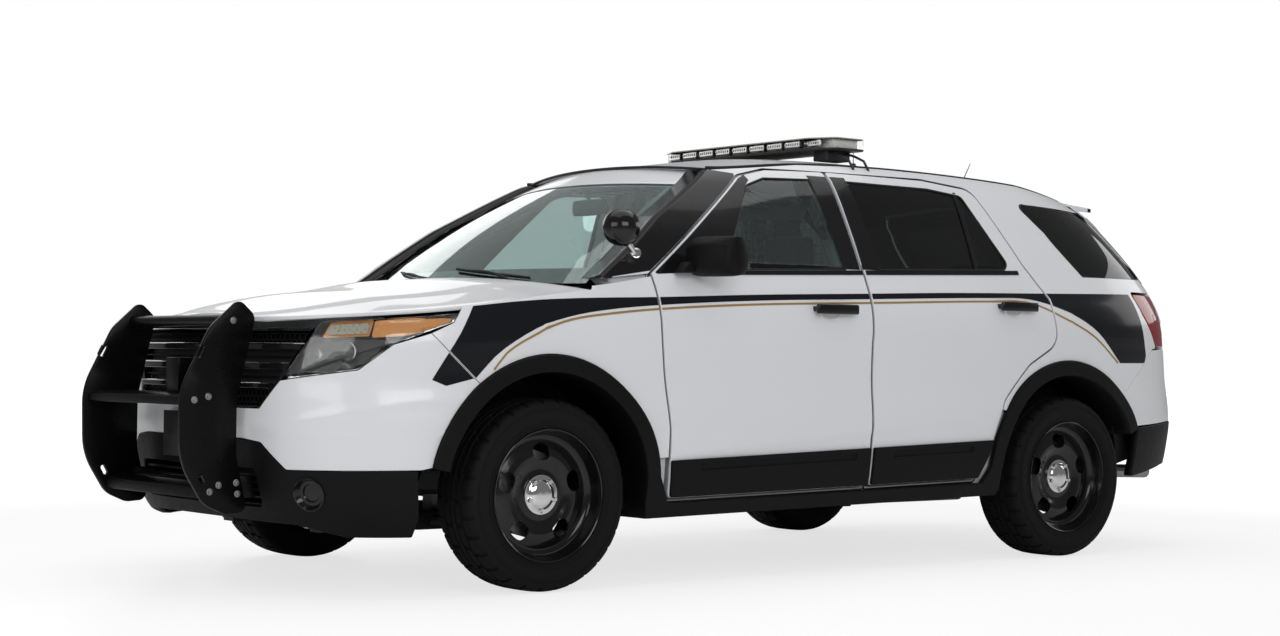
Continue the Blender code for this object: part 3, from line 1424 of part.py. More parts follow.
def seats():
    """Clips, pads, feet and posts that carry each piece, on the left side as listed and mirrored on the right."""
    skin = on_side(1)
    ditch_x = waist(1.90, 1.67)[0]
    rows = (
        # owner, target, start, section, way
        ("floor", "body_side_*", world(0.780, 1.40, 0.320), (0.060, 0.010), "out"),
        ("body_side_*", "side_cladding_*", world(0.880, 1.40, 0.310), (0.020, 0.040), "down"),
        ("body_side_*", "fender_*", skin(0.470, 0.900, 0.040), (0.016, 0.040), "out"),
        ("floor", "cowl", world(0.580, 0.185, 1.040), (0.040, 0.020), "up"),
        ("floor", "hood", world(0.610, 0.112, 1.040), (0.030, 0.020), "up"),
        ("cowl", "windscreen", world(0.580, 0.2185, 1.134), (0.030, 0.003), "up"),
        ("body_side_*", "roof", world(ditch_x - 0.070, 2.20, 1.668), (0.024, 0.040), "up"),
        ("roof", "liftgate", roof_place(0.78, ROOF_END, 0.008) - Vector((0, 0.020, 0)), (0.050, 0.006), "back"),
        ("front_bumper", "grille", on_nose(0.200, 0.660, 0.021), (0.040, 0.008), "up"),
        ("front_bumper", "fender_*", skin(-0.440, 0.850, 0.006), (0.006, 0.024), "back"),
        ("headlamp_*", "front_bumper", skin(-0.930, 0.806, 0.016), (0.010, 0.010), "down"),
        ("lower_bumper", "front_bumper", on_nose(0.250, 0.550, 0.015), (0.040, 0.012), "up"),
        ("front_suspension", "floor", world(0.340, 0.380, 0.245), (0.050, 0.060), "up"),
        ("engine", "front_suspension", world(0.200, 0.0, 0.345), (0.060, 0.080), "down"),
        ("front_suspension", "knuckle_*", world(STEER_AXIS_X, 0.0, 0.250), (0.022, 0.022), "up"),
        ("rear_suspension", "floor", world(0.502, 2.392, 0.300), (0.030, 0.020), "up"),
        ("dashboard", "floor", world(0.450, 0.410, 1.000), (0.060, 0.040), "front"),
        ("front_seat_*", "floor", world(0.220, 1.350, 0.445), (0.030, 0.360), "down"),
        ("front_seat_*", "floor", world(0.540, 1.350, 0.445), (0.030, 0.360), "down"),
        ("rear_bench", "floor", world(0.450, 2.240, 0.445), (0.050, 0.080), "down"),
        ("partition", "floor", world(0.550, 1.910, 0.440), (0.060, 0.016), "down"),
        ("tail_lamp_*", "body_side_*", skin(3.600, 1.180, 0.009), (0.008, 0.008), "up"),
        ("rear_bumper", "body_side_*", skin(3.420, 0.826, 0.010), (0.008, 0.008), "up"),
        ("rear_lower_bumper", "rear_bumper", on_tail(0.250, 0.590, 0.012), (0.040, 0.010), "up"),
        ("mirror_*", "front_door_*", world(0.965, 0.680, 1.222), (0.080, 0.020), "in"),
        ("light_bar", "roof", world(0.470, 1.870, 1.782), (0.090, 0.130), "down"),
    )
    for owner, target, start, section, way in rows:
        for word, side in SIDES:
            flipped = Vector((side * start.x, start.y, start.z))
            bracket(owner.replace("*", word), target.replace("*", word), flipped, section, way)
    single = (
        # owner, target, start, section, way
        ("spotlight", "body_side_left", world(waist(0.43, 1.262)[0] + 0.012, 0.430, 1.262), (0.020, 0.020), "in"),
        ("fuel_tank", "floor", world(-0.180, 2.050, 0.290), (0.200, 0.040), "up"),
        ("exhaust", "floor", world(0.120, 1.200, 0.235), (0.020, 0.030), "up"),
        ("exhaust", "floor", world(0.350, 3.150, 0.430), (0.020, 0.020), "up"),
    )
    for row in single:
        bracket(*row)


def main():
    for thing in list(bpy.data.objects):
        bpy.data.objects.remove(thing)
    body_sides()
    made = doors()
    mirrors(made)
    fenders()
    side_claddings()
    front_end()
    rear_end()
    upper_panels()
    blanket("cowl", 8, (0.0, 1.0), cowl_place, 0.010, black_plastic())
    liftgate()
    front_guard()
    roof_gear()
    cabin()
    wheels()
    running_gear()
    seats()


main()
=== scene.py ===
# %% [markdown]
# This lesson dresses a packed patrol car: a sport utility body in white with black and gold stripes, a push
# bumper, a roof light bar and a spotlight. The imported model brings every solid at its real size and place.
# We keep it as a fixed frame and lay finer panels, glass, lamps, wheels and trim over it, all in metres.

# %% Load the frame
import math
from bisect import bisect_right
from functools import lru_cache

import bmesh
import bpy
import numpy as np
from mathutils import Matrix, Vector

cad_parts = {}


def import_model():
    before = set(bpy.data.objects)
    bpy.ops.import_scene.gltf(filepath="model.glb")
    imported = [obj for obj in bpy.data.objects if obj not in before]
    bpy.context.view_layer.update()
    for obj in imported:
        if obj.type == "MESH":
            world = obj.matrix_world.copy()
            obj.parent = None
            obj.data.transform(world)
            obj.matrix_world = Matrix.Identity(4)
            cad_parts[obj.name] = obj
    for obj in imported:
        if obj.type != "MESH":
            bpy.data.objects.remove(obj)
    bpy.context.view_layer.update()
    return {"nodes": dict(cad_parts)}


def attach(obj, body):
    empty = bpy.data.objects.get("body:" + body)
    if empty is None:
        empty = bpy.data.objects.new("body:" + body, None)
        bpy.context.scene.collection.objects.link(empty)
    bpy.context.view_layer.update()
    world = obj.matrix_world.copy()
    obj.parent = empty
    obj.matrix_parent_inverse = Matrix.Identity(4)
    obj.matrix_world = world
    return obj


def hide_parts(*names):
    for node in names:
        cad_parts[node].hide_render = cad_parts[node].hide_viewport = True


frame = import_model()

# %% [markdown]
# Every panel of a car body is a patch of one smooth form. The designer draws that form as a few sections: how
# wide the body is at each height, and how far it reaches round the nose and the tail. We write the sections as
# a short table and read smooth values between the rows. A station is measured rearward from the front axle.

# %% The body's sections
WHEELBASE = 2.863
TRACK = 1.702
TYRE_RADIUS = 0.357
MIDDLE = 1.414
NOSE_REACH, NOSE_HALF, TAIL_REACH = 0.965, 0.985, 1.18
NOSE_POWER, TAIL_POWER = 3.5, 3.0
# height, half width, nose reach from the front axle, tail reach from the rear axle
SECTIONS = (
    (0.19, 0.88, 0.84, 1.02),
    (0.27, 0.935, 0.9, 1.08),
    (0.36, 0.962, 0.935, 1.13),
    (0.5, 0.98, 0.96, 1.165),
    (0.62, 0.985, 0.965, 1.18),
    (0.78, 0.972, 0.95, 1.165),
    (0.92, 0.974, 0.925, 1.15),
    (1.03, 0.976, 0.885, 1.13),
    (1.12, 0.958, 0.83, 1.1),
    (1.21, 0.92, 0.78, 1.05),
    (1.4, 0.838, 0.6, 0.885),
    (1.62, 0.724, 0.4, 0.66),
    (1.7, 0.64, 0.33, 0.57),
    (1.73, 0.56, 0.3, 0.54),
)
HALF, NOSE, TAIL = 1, 2, 3
# station, height of the fender's upper edge
FENDER_TOP = ((-1.7, 0.995), (-0.95, 1.008), (-0.4, 1.045), (0.21, 1.122), (0.51, 1.165))
# station, how far the roof line lies below its highest run
ROOF_FALL = ((0.25, 0.055), (1.0, 0.055), (1.5, 0.012), (2.0, 0.0), (2.6, 0.012), (3.0, 0.035), (3.5, 0.08))
DITCH_HEIGHT = 1.7
SHOULDER_FROM, ROOF_FROM, ROOF_END = 0.7, 1.25, 3.54
SIDES = (("left", 1), ("right", -1))


def curve(rows, column, at):
    """A smooth value between the rows of a table, by cubic segments."""
    keys = [row[0] for row in rows]
    at = min(max(at, keys[0]), keys[-1])
    i = min(max(bisect_right(keys, at) - 1, 0), len(rows) - 2)
    span = keys[i + 1] - keys[i]
    u = (at - keys[i]) / span

    def slope(k):
        a, b = max(k - 1, 0), min(k + 1, len(rows) - 1)
        return (rows[b][column] - rows[a][column]) / (keys[b] - keys[a])

    start, end = rows[i][column], rows[i + 1][column]
    return (
        start * (1 + 2 * u) * (1 - u) ** 2 + end * u * u * (3 - 2 * u)
        + span * slope(i) * u * (1 - u) ** 2 + span * slope(i + 1) * u * u * (u - 1)
    )


def ease(share):
    share = min(max(share, 0.0), 1.0)
    return share * share * (3 - 2 * share)


def wrap_table(reach, half, power, steps=300):
    """Distance round a corner against angle, on the widest section."""
    rows, total, last = [], 0.0, None
    for k in range(steps + 1):
        angle = math.pi / 2 * k / steps
        point = (half * math.cos(angle) ** (2 / power), reach * math.sin(angle) ** (2 / power))
        total += math.dist(point, last) if last else 0.0
        rows.append((total, angle))
        last = point
    return rows


NOSE_WRAP = wrap_table(NOSE_REACH, NOSE_HALF, NOSE_POWER)
TAIL_WRAP = wrap_table(TAIL_REACH, NOSE_HALF, TAIL_POWER)
NOSE_KEYS = [row[0] for row in NOSE_WRAP]
TAIL_KEYS = [row[0] for row in TAIL_WRAP]
NOSE_END = -NOSE_KEYS[-1]
TAIL_END = WHEELBASE + TAIL_KEYS[-1]


def wrap_angle(table, keys, distance):
    distance = min(max(distance, 0.0), keys[-1])
    i = min(max(bisect_right(keys, distance) - 1, 0), len(keys) - 2)
    share = (distance - keys[i]) / (keys[i + 1] - keys[i])
    return table[i][1] + share * (table[i + 1][1] - table[i][1])


@lru_cache(maxsize=None)
def fender_top(t):
    return curve(FENDER_TOP, 1, t)


def belt(t):
    return 1.165 + 0.032 * t


def cladding_top(t):
    return 0.458 + 0.03 * t


def door_bottom(t):
    return 0.318 + 0.02 * t


def sill_bottom(t):
    return 0.245 + 0.018 * t


def ditch(t):
    return DITCH_HEIGHT - curve(ROOF_FALL, 1, t)


@lru_cache(maxsize=None)
def half_width(t, z):
    shoulder = max(FENDER_TOP[-1][1] - fender_top(t), 0.0) if t < FENDER_TOP[-1][0] else 0.0
    fall = curve(ROOF_FALL, 1, t)
    lift = shoulder * ease((z - SHOULDER_FROM) / (fender_top(t) - SHOULDER_FROM)) * (z < ROOF_FROM)
    lift += fall * ease((z - ROOF_FROM) / (DITCH_HEIGHT - fall - ROOF_FROM))
    return curve(SECTIONS, HALF, z + lift)


@lru_cache(maxsize=None)
def waist(t, z, depth=0.0):
    """Half width and station of the skin at wrap distance t and height z, this deep under it."""
    half = half_width(t, z) - depth
    if t < 0:
        angle = wrap_angle(NOSE_WRAP, NOSE_KEYS, -t)
        reach = curve(SECTIONS, NOSE, z) - depth
        return half * math.cos(angle) ** (2 / NOSE_POWER), -reach * math.sin(angle) ** (2 / NOSE_POWER)
    if t > WHEELBASE:
        angle = wrap_angle(TAIL_WRAP, TAIL_KEYS, t - WHEELBASE)
        reach = curve(SECTIONS, TAIL, z) - depth
        return half * math.cos(angle) ** (2 / TAIL_POWER), WHEELBASE + reach * math.sin(angle) ** (2 / TAIL_POWER)
    return half, t


def world(x, station, z):
    return Vector((x, station - MIDDLE, z))


def skin(t, z, depth=0.0):
    """A point on the left side of the body."""
    x, station = waist(t, z, depth)
    return world(x, station, z)


print("nose wrap", round(NOSE_END, 3), "tail wrap", round(TAIL_END, 3), "width at the waist", 2 * half_width(1.4, 0.62))

# %% [markdown]
# The photograph was taken from the car's front left corner, low and with a long lens. The camera's place was
# solved from the wheels, lamps and window corners, so the render lines up with the picture.

# %% Camera
EYE = (7.551, -6.211, 0.861)
YAW, PITCH, ROLL = (math.radians(angle) for angle in (38.35, 1.07, 0.63))
LENS_MM, SENSOR_MM = 62.28, 36.0


def linked(name, data):
    made = bpy.data.objects.new(name, data)
    bpy.context.scene.collection.objects.link(made)
    return made


def make_camera():
    ahead = Vector((-math.cos(YAW) * math.cos(PITCH), math.sin(YAW) * math.cos(PITCH), math.sin(PITCH)))
    level = ahead.cross(Vector((0, 0, 1))).normalized()
    above = level.cross(ahead)
    right = math.cos(ROLL) * level + math.sin(ROLL) * above
    up = math.cos(ROLL) * above - math.sin(ROLL) * level
    data = bpy.data.cameras.new("camera")
    data.lens, data.sensor_width, data.clip_end = LENS_MM, SENSOR_MM, 200.0
    camera = linked("camera", data)
    camera.matrix_world = Matrix.Translation(EYE) @ Matrix((right, up, -ahead)).transposed().to_4x4()
    bpy.context.scene.camera = camera


make_camera()
print("camera at", EYE)

# %% [markdown]
# A studio picture on white needs a bright backdrop that doesn't flood the car. The world is white only to the
# camera, to mirrors and through glass, and softer to everything it lights. Large lamps overhead and at the
# sides give the long soft highlights on the paint.

# %% Light, world and floor
WORLD_LIGHT, WORLD_GLOSS = 0.42, 0.17
FLOOR_SHADE, FLOOR_GLOW, FLOOR_SIZE = 0.86, 1.22, 60.0
# name, place, aim, width, depth, watts
LAMPS = (
    ("overhead", (0, 0, 5.2), (0, 0, 0.8), 5.0, 7.5, 106.0),
    ("camera_side", (7.5, -3.0, 3.6), (0.4, -0.2, 0.8), 5.0, 2.6, 140.0),
    ("nose", (1.5, -8.5, 3.2), (0, -1.5, 0.8), 5.0, 2.4, 88.0),
    ("far_side", (-7.0, 0.5, 3.4), (0, 0, 0.8), 6.0, 2.4, 66.0),
    ("tail", (1.5, 8.5, 3.2), (0, 1.5, 0.8), 5.0, 2.4, 62.0),
)


def plug(tree, node, inputs):
    """Fills a node's inputs, each with a value or with another node's output."""
    for socket, value in inputs.items():
        if isinstance(value, bpy.types.NodeSocket):
            tree.links.new(value, node.inputs[socket])
        else:
            node.inputs[socket].default_value = value


def add(tree, kind, inputs, output=0, **settings):
    """A new shader node, as the output that the next one reads."""
    node = tree.nodes.new("ShaderNode" + kind)
    for key, value in settings.items():
        setattr(node, key, value)
    plug(tree, node, inputs)
    return node.outputs[output]


def seen_rays(tree):
    """1 for rays straight from the camera and for rays through glass."""
    rays = [add(tree, "LightPath", {}, kind) for kind in ("Is Camera Ray", "Is Transmission Ray")]
    return add(tree, "Math", dict(enumerate(rays)), operation="MAXIMUM")


def make_world():
    studio = bpy.data.worlds.new("studio")
    studio.use_nodes = True
    tree = studio.node_tree
    glossy = add(tree, "LightPath", {}, "Is Glossy Ray")
    gloss = add(tree, "MapRange", {"Value": glossy, "To Min": WORLD_LIGHT, "To Max": WORLD_GLOSS}, "Result")
    strength = add(tree, "Mix", {"Factor": seen_rays(tree), 2: gloss, 3: 1.0}, data_type="FLOAT")
    plug(tree, tree.nodes["Background"], {"Color": (1.0,) * 4, "Strength": strength})
    bpy.context.scene.world = studio


def make_lamps():
    for name, place, aim, width, depth, watts in LAMPS:
        data = bpy.data.lights.new(name, "AREA")
        data.shape = "RECTANGLE"
        data.size, data.size_y, data.energy = width, depth, watts
        lamp = linked(name, data)
        lamp.location = place
        lamp.rotation_euler = (Vector(aim) - Vector(place)).to_track_quat("-Z", "Y").to_euler()


def new_material(name):
    material = bpy.data.materials.new(name)
    material.use_nodes = True
    return material, material.node_tree, material.node_tree.nodes["Principled BSDF"]


def make_floor():
    """A pale floor that glows softly round the car, and fully where it meets the backdrop."""
    mesh = bmesh.new()
    bmesh.ops.create_grid(mesh, x_segments=4, y_segments=4, size=FLOOR_SIZE)
    data = bpy.data.meshes.new("floor_plane")
    mesh.to_mesh(data)
    mesh.free()
    material, tree, shader = new_material("studio_floor")
    plug(tree, shader, {"Base Color": (*[FLOOR_SHADE] * 3, 1.0), "Roughness": 0.45})
    place = add(tree, "TexCoord", {}, "Object")
    length = add(tree, "VectorMath", {0: place}, "Value", operation="LENGTH")
    fade = add(tree, "MapRange", {
        "Value": length, "From Min": 4.0, "From Max": 8.0, "To Min": 0.6, "To Max": 1.0}, "Result")
    share = add(tree, "Math", {0: seen_rays(tree), 1: fade}, operation="MULTIPLY")
    glow = add(tree, "Emission", {"Strength": FLOOR_GLOW})
    mix = add(tree, "MixShader", {"Fac": share, 1: shader.outputs["BSDF"], 2: glow})
    plug(tree, tree.nodes["Material Output"], {"Surface": mix})
    data.materials.append(material)
    linked("floor_plane", data)


bpy.context.scene.view_settings.view_transform = "Standard"
make_world()
make_lamps()
make_floor()
print("lamps", len(LAMPS))

# %% [markdown]
# A finish is a Principled shader plus something that keeps it from being one flat value: a fine noise that
# shifts the roughness or the colour a little, and a bump at the grain's real scale. Values that are the same
# all over sit on the shader's own sockets, so an export keeps them.


def finish(name, slot, color, roughness, grain, bump=None, tint=0.0, **sockets):
    """A material whose roughness wanders by grain[1] at grain[0] waves a metre, with an optional bump."""
    material, tree, shader = new_material(name)
    place = add(tree, "TexCoord", {}, "Object")
    noise = add(tree, "TexNoise", {"Scale": grain[0], "Detail": 3.0, "Vector": place}, "Fac")
    low, high = max(roughness - grain[1], 0.0), roughness + grain[1]
    rough = add(tree, "MapRange", {
        "Value": noise, "From Min": 0.3, "From Max": 0.7, "To Min": low, "To Max": high}, "Result")
    constant = {socket.replace("_", " "): value for socket, value in sockets.items()}
    plug(tree, shader, {"Base Color": (*color, 1.0), "Roughness": rough, **constant})
    if tint:
        dark, light = ((*(min(c * share, 1.0) for c in color), 1.0) for share in (1 - tint, 1 + tint))
        blend = add(tree, "Mix", {"Factor": noise, 6: dark, 7: light}, 2, data_type="RGBA")
        plug(tree, shader, {"Base Color": blend})
    if bump:
        fine = add(tree, "TexNoise", {"Scale": bump[0], "Detail": 2.0, "Vector": place}, "Fac")
        bumped = add(tree, "Bump", {"Height": fine, "Strength": 1.0, "Distance": bump[1]}, "Normal")
        plug(tree, shader, {"Normal": bumped})
    return material


GLASSY = {"Transmission_Weight": 1.0, "IOR": 1.5}
WHITE_PAINT = finish(
    "white paint", "white_paint", (0.78, 0.79, 0.815), 0.3, (3, 0.02), Coat_Weight=0.45, Coat_Roughness=0.03)
# Painted shade: the body's white paint with a darker base colour, used on the door edges, the door frame and the blank
# plate.
SHADED_WHITE_PAINT = finish("white paint with painted shade", "white_paint", (0.62, 0.63, 0.65), 0.42, (8, 0.04), Coat_Weight=0.2)
GLOSS_BLACK = finish(
    "gloss black", "gloss_black", (0.006, 0.006, 0.007), 0.16, (20, 0.03), Specular_IOR_Level=0.3, Coat_Weight=0.3,
    Coat_Roughness=0.03)
POWDER_BLACK = finish(
    "black powder coat", "gloss_black", (0.003, 0.003, 0.0035), 0.3, (60, 0.03), (700, 0.00001),
    Specular_IOR_Level=0.15)
BLACK_VINYL = finish(
    "black vinyl", "gloss_black", (0.007, 0.0075, 0.01), 0.2, (6, 0.03), Specular_IOR_Level=0.25, Coat_Weight=0.12,
    Coat_Roughness=0.05)
GOLD_VINYL = finish("gold vinyl", "white_paint", (0.42, 0.26, 0.09), 0.38, (300, 0.06), tint=0.1, Metallic=0.35)
PLASTIC_BLACK = finish(
    "textured black plastic", "black_plastic", (0.0045, 0.0045, 0.005), 0.5, (40, 0.04), (1400, 0.00012), 0.2,
    Specular_IOR_Level=0.15)
RUBBER = finish(
    "tyre rubber", "rubber", (0.0065, 0.0065, 0.007), 0.66, (30, 0.08), (500, 0.0002), 0.25, Specular_IOR_Level=0.15)
SEAL_RUBBER = finish("seal rubber", "rubber", (0.008, 0.008, 0.008), 0.55, (90, 0.06))
CLEAR_GLASS = finish(
    "windscreen glass", "dark_glass", (0.66, 0.81, 0.78), 0.004, (2, 0.002), Specular_IOR_Level=0.25, **GLASSY)
DOOR_GLASS = finish(
    "door glass", "dark_glass", (0.38, 0.46, 0.45), 0.004, (2, 0.002), Specular_IOR_Level=0.08, **GLASSY)
PRIVACY_GLASS = finish(
    "privacy glass", "dark_glass", (0.035, 0.038, 0.04), 0.006, (2, 0.003), Specular_IOR_Level=0.08, **GLASSY)
SMOKED_REFLECTOR = finish(
    "smoked reflector", "grey_metal", (0.3, 0.285, 0.235), 0.32, (120, 0.08), tint=0.15, Metallic=0.7)
PALE_LENS = finish("pale lamp top", "clear_lens", (0.4, 0.395, 0.375), 0.28, (6, 0.05), tint=0.02, Coat_Weight=0.3)
THIN_LENS = finish(
    "thin clear lens", "clear_lens", (0.95, 0.95, 0.94), 0.02, (5, 0.01), Transmission_Weight=1.0, IOR=1.1)
LENS_CLEAR = finish(
    "clear lens", "clear_lens", (0.93, 0.94, 0.94), 0.01, (5, 0.006), Transmission_Weight=1.0, IOR=1.45,
    Specular_IOR_Level=0.2)
LENS_AMBER = finish("amber reflector", "clear_lens", (0.58, 0.22, 0.02), 0.22, (80, 0.08), tint=0.2, Coat_Weight=0.3)
LENS_RED = finish(
    "red lens", "red_lens", (0.26, 0.006, 0.01), 0.1, (60, 0.05), tint=0.25, Coat_Weight=0.3, Specular_IOR_Level=0.3)
CHROME = finish("chrome", "grey_metal", (0.78, 0.78, 0.78), 0.07, (30, 0.03), Metallic=1.0)
REFLECTOR = finish("lamp reflector", "grey_metal", (0.7, 0.7, 0.69), 0.2, (120, 0.08), tint=0.1, Metallic=1.0)
GREY_STEEL = finish("bare steel", "grey_metal", (0.3, 0.3, 0.31), 0.42, (70, 0.12), (300, 0.0001), 0.2, Metallic=0.9)
SATIN_BLACK = finish("satin black metal", "gloss_black", (0.016, 0.016, 0.017), 0.52, (25, 0.1), (250, 0.0002), 0.3)
CABIN_BLACK = finish(
    "cabin plastic", "black_plastic", (0.014, 0.014, 0.015), 0.62, (80, 0.05), (900, 0.0002), 0.15,
    Specular_IOR_Level=0.3)
SEAT_CLOTH = finish("seat cloth", "dark_fabric", (0.035, 0.035, 0.038), 0.9, (400, 0.05), (700, 0.0006), 0.3)
ROOF_CLOTH = finish("pale roof cloth", "dark_fabric", (0.12, 0.12, 0.118), 0.95, (300, 0.03), (600, 0.0004), 0.2)

# %% [markdown]
# A finished piece is a mesh in the car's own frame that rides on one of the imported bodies, so it swings with its
# door or turns with its wheel. Its object stays at the origin.

# %% Settling a piece
MADE = []


def settle(name, mesh, material, body="body", node="", sharp=35.0):
    """Writes a mesh as a named piece. Vertices with a facing of their own keep it as their normal."""
    data = bpy.data.meshes.new(name)
    mesh.to_mesh(data)
    mesh.free()
    data.materials.append(material)
    data.shade_smooth()
    facing = data.attributes.get("facing")
    if facing:
        values = np.zeros(len(data.vertices) * 3, dtype=np.float32)
        facing.data.foreach_get("vector", values)
        data.attributes.remove(facing)
        data.set_sharp_from_angle(angle=math.radians(sharp + 20))
        data.normals_split_custom_set_from_vertices(values.reshape(-1, 3).tolist())
    else:
        data.set_sharp_from_angle(angle=math.radians(sharp))
    piece = linked(name, data)
    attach(piece, body)
    if node:
        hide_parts(node)
    MADE.append(name)
    return piece


def mirrored_mesh(mesh):
    twin = mesh.copy()
    bmesh.ops.scale(twin, vec=(-1, 1, 1), verts=twin.verts)
    bmesh.ops.reverse_faces(twin, faces=twin.faces)
    layer = twin.verts.layers.float_vector.get("facing")
    if layer:
        for vertex in twin.verts:
            vertex[layer].x = -vertex[layer].x
    return twin


def both_sides(name, mesh, material, body="body", node="", sharp=35.0):
    """The same piece on the left and, mirrored, on the right. {side} stands for the side's word in every name."""
    if "{side}" not in name:
        name += "_{side}"
    for word, side in SIDES:
        own = mesh.copy() if side > 0 else mirrored_mesh(mesh)
        settle(name.format(side=word), own, material, body.format(side=word), node.format(side=word), sharp)
    mesh.free()


print("settling ready, pieces", len(MADE))

# %% [markdown]
# Outlines are drawn flat, as corners with a radius each, then moved in or out by one distance. The seams between
# panels come from that distance, so they stay even all round. A corner without a radius is sharp.

# %% Outlines
ARCH_HEIGHT, ARCH_RADIUS, FLARE_RADIUS = 0.360, 0.450, 0.515
SEAM, SHUT_GAP = 0.002, 0.009


def outline(corners, grow=0.0, own=None):
    """Corners (t, z, radius) as a rounded polygon, each edge moved out by grow plus own[edge index]."""
    own = own or {}
    count = len(corners)
    area = sum(a[0] * b[1] - b[0] * a[1] for a, b in zip(corners, (*corners[1:], corners[0])))
    turn = 1.0 if area > 0 else -1.0
    moved = []
    for i in range(count):
        a, b, c = (Vector(corners[(i + k) % count][:2]) for k in (-1, 0, 1))
        before, after = (b - a).normalized(), (c - b).normalized()
        n0 = Vector((before.y, -before.x)) * turn
        n1 = Vector((after.y, -after.x)) * turn
        g0 = grow + own.get((i - 1) % count, 0.0)
        g1 = grow + own.get(i, 0.0)
        cross = before.x * after.y - before.y * after.x
        if abs(cross) < 0.02:
            moved.append(b + (n0 + n1).normalized() * (g0 + g1) / 2)
            continue
        p, q = b + n0 * g0, b + n1 * g1
        share = ((q - p).x * after.y - (q - p).y * after.x) / cross
        moved.append(p + before * share)
    points = []
    for i, corner in enumerate(corners):
        radius = corner[2] if len(corner) > 2 else 0
        if not radius:
            points.append(tuple(moved[i]))
            continue
        a, b, c = moved[i - 1], moved[i], moved[(i + 1) % count]
        back, ahead = (a - b).normalized(), (c - b).normalized()
        half = back.angle(ahead) / 2
        run = min(radius / math.tan(half), (a - b).length * 0.45, (c - b).length * 0.45)
        centre = b + (back + ahead).normalized() * (run * math.tan(half) / math.sin(half))
        start, end = b + back * run, b + ahead * run
        sweep = (start - centre).angle_signed(end - centre)
        steps = 4 if radius < 0.025 else 6
        for k in range(steps + 1):
            arm = (start - centre).copy()
            arm.rotate(Matrix.Rotation(-sweep * k / steps, 2))
            points.append(tuple(centre + arm))
    return points


def arc(centre, radius, start, end, count):
    """Points of a wheel arch between two angles, in degrees from rearward."""
    angles = [math.radians(start + (end - start) * k / count) for k in range(count + 1)]
    return [(centre + radius * math.cos(a), ARCH_HEIGHT + radius * math.sin(a)) for a in angles]


def arch(centre, radius, start, end):
    return arc(centre, radius, start, end, max(round(abs(end - start) / 4.0), 1))


print("outlines ready, pieces", len(MADE))

# %% [markdown]
# A panel is built flat from rings at several depths, so its edge is rounded before it is bent. The flat solid is
# then sliced into a fine grid and carried onto the body's form. Each point of its outer face gets the true
# direction of that form as its normal, so the paint reflects smoothly however coarse the facets are.

# %% Panels on the body's form
def on_side(t, z, depth):
    return skin(t, z, depth)


def on_nose(u, z, depth):
    x, station = waist(NOSE_END + abs(u), z, depth)
    return world(math.copysign(x, u) if u else 0.0, station, z)


def on_tail(u, z, depth):
    x, station = waist(TAIL_END - abs(u), z, depth)
    return world(math.copysign(x, u) if u else 0.0, station, z)


def facing_of(place, t, z, depth, step=0.001):
    """The outward direction of a placed surface at one point."""
    along = place(t + step, z, depth) - place(t - step, z, depth)
    up = place(t, z + step, depth) - place(t, z - step, depth)
    out = place(t, z, depth) - place(t, z, depth + step)
    normal = along.cross(up)
    if normal.dot(out) < 0:
        normal.negate()
    return normal.normalized()


def steps_between(low, high, step):
    return [step * k for k in range(math.ceil(low / step), math.floor(high / step) + 1)]


def slice_at(mesh, point, normal, **settings):
    geom = mesh.verts[:] + mesh.edges[:] + mesh.faces[:]
    bmesh.ops.bisect_plane(mesh, geom=geom, plane_co=point, plane_no=normal, **settings)


def slice_flat(mesh, t_cuts, z_cuts):
    for point, normal in [((t, 0, 0), (1, 0, 0)) for t in t_cuts] + [((0, z, 0), (0, 1, 0)) for z in z_cuts]:
        slice_at(mesh, point, normal, dist=1e-5)


def natural_cuts(mesh, step=0.035):
    """Cuts that follow the body: close where it wraps round the nose or tail, wide along the straight side."""
    stations = [v.co.x for v in mesh.verts]
    heights = [v.co.y for v in mesh.verts]
    t_cuts = [
        t for t in steps_between(min(stations), max(stations), step)
        if t < 0.52 or t > WHEELBASE or round(t / step) % 4 == 0
    ]
    return t_cuts, steps_between(min(heights), max(heights), step)


def outward(mesh):
    """Turns all faces outwards. The sign of the volume says whether the whole shell came out inside out."""
    bmesh.ops.recalc_face_normals(mesh, faces=mesh.faces)
    if mesh.calc_volume(signed=True) < 0:
        bmesh.ops.reverse_faces(mesh, faces=mesh.faces)
    return mesh


def carried(mesh, place):
    """Moves every point by a formula of its three numbers."""
    for vertex in mesh.verts:
        vertex.co = place(*vertex.co)
    return outward(mesh)


def lay(mesh, place, top=0.0):
    """Carries a flat solid from (t, z, depth) onto the body, and notes the facing of its outer face."""
    layer = mesh.verts.layers.float_vector.new("facing")
    for vertex in mesh.verts:
        if vertex.co.z <= top + 1e-5:
            vertex[layer] = facing_of(place, *vertex.co)
    return carried(mesh, place)


def of_kind(geometry, kind):
    return [item for item in geometry if isinstance(item, kind)]


def flat_slab(levels, holes=()):
    """A flat solid in (t, z, depth): each level is (depth, points), and every hole has its own levels."""
    mesh = bmesh.new()
    order = mesh.verts.layers.int.new("order")
    caps = ([], [])
    for stack in (levels, *holes):
        verts = []
        for number, (t, z) in enumerate(stack[0][1]):
            vertex = mesh.verts.new((t, z, stack[0][0]))
            vertex[order] = number
            verts.append(vertex)
        edges = ring_edges(mesh, verts)
        caps[0].extend(edges)
        for depth, points in stack[1:]:
            grown = bmesh.ops.extrude_edge_only(mesh, edges=edges)["geom"]
            fresh = set(of_kind(grown, bmesh.types.BMVert))
            for vertex in fresh:
                vertex.co = (*points[vertex[order]], depth)
            edges = [edge for edge in of_kind(grown, bmesh.types.BMEdge) if set(edge.verts) <= fresh]
        caps[1].extend(edges)
    for edges in caps:
        bmesh.ops.triangle_fill(mesh, use_beauty=True, use_dissolve=False, edges=edges)
    return mesh


def ring_edges(mesh, verts):
    return [mesh.edges.new((verts[i - 1], verts[i])) for i in range(len(verts))]


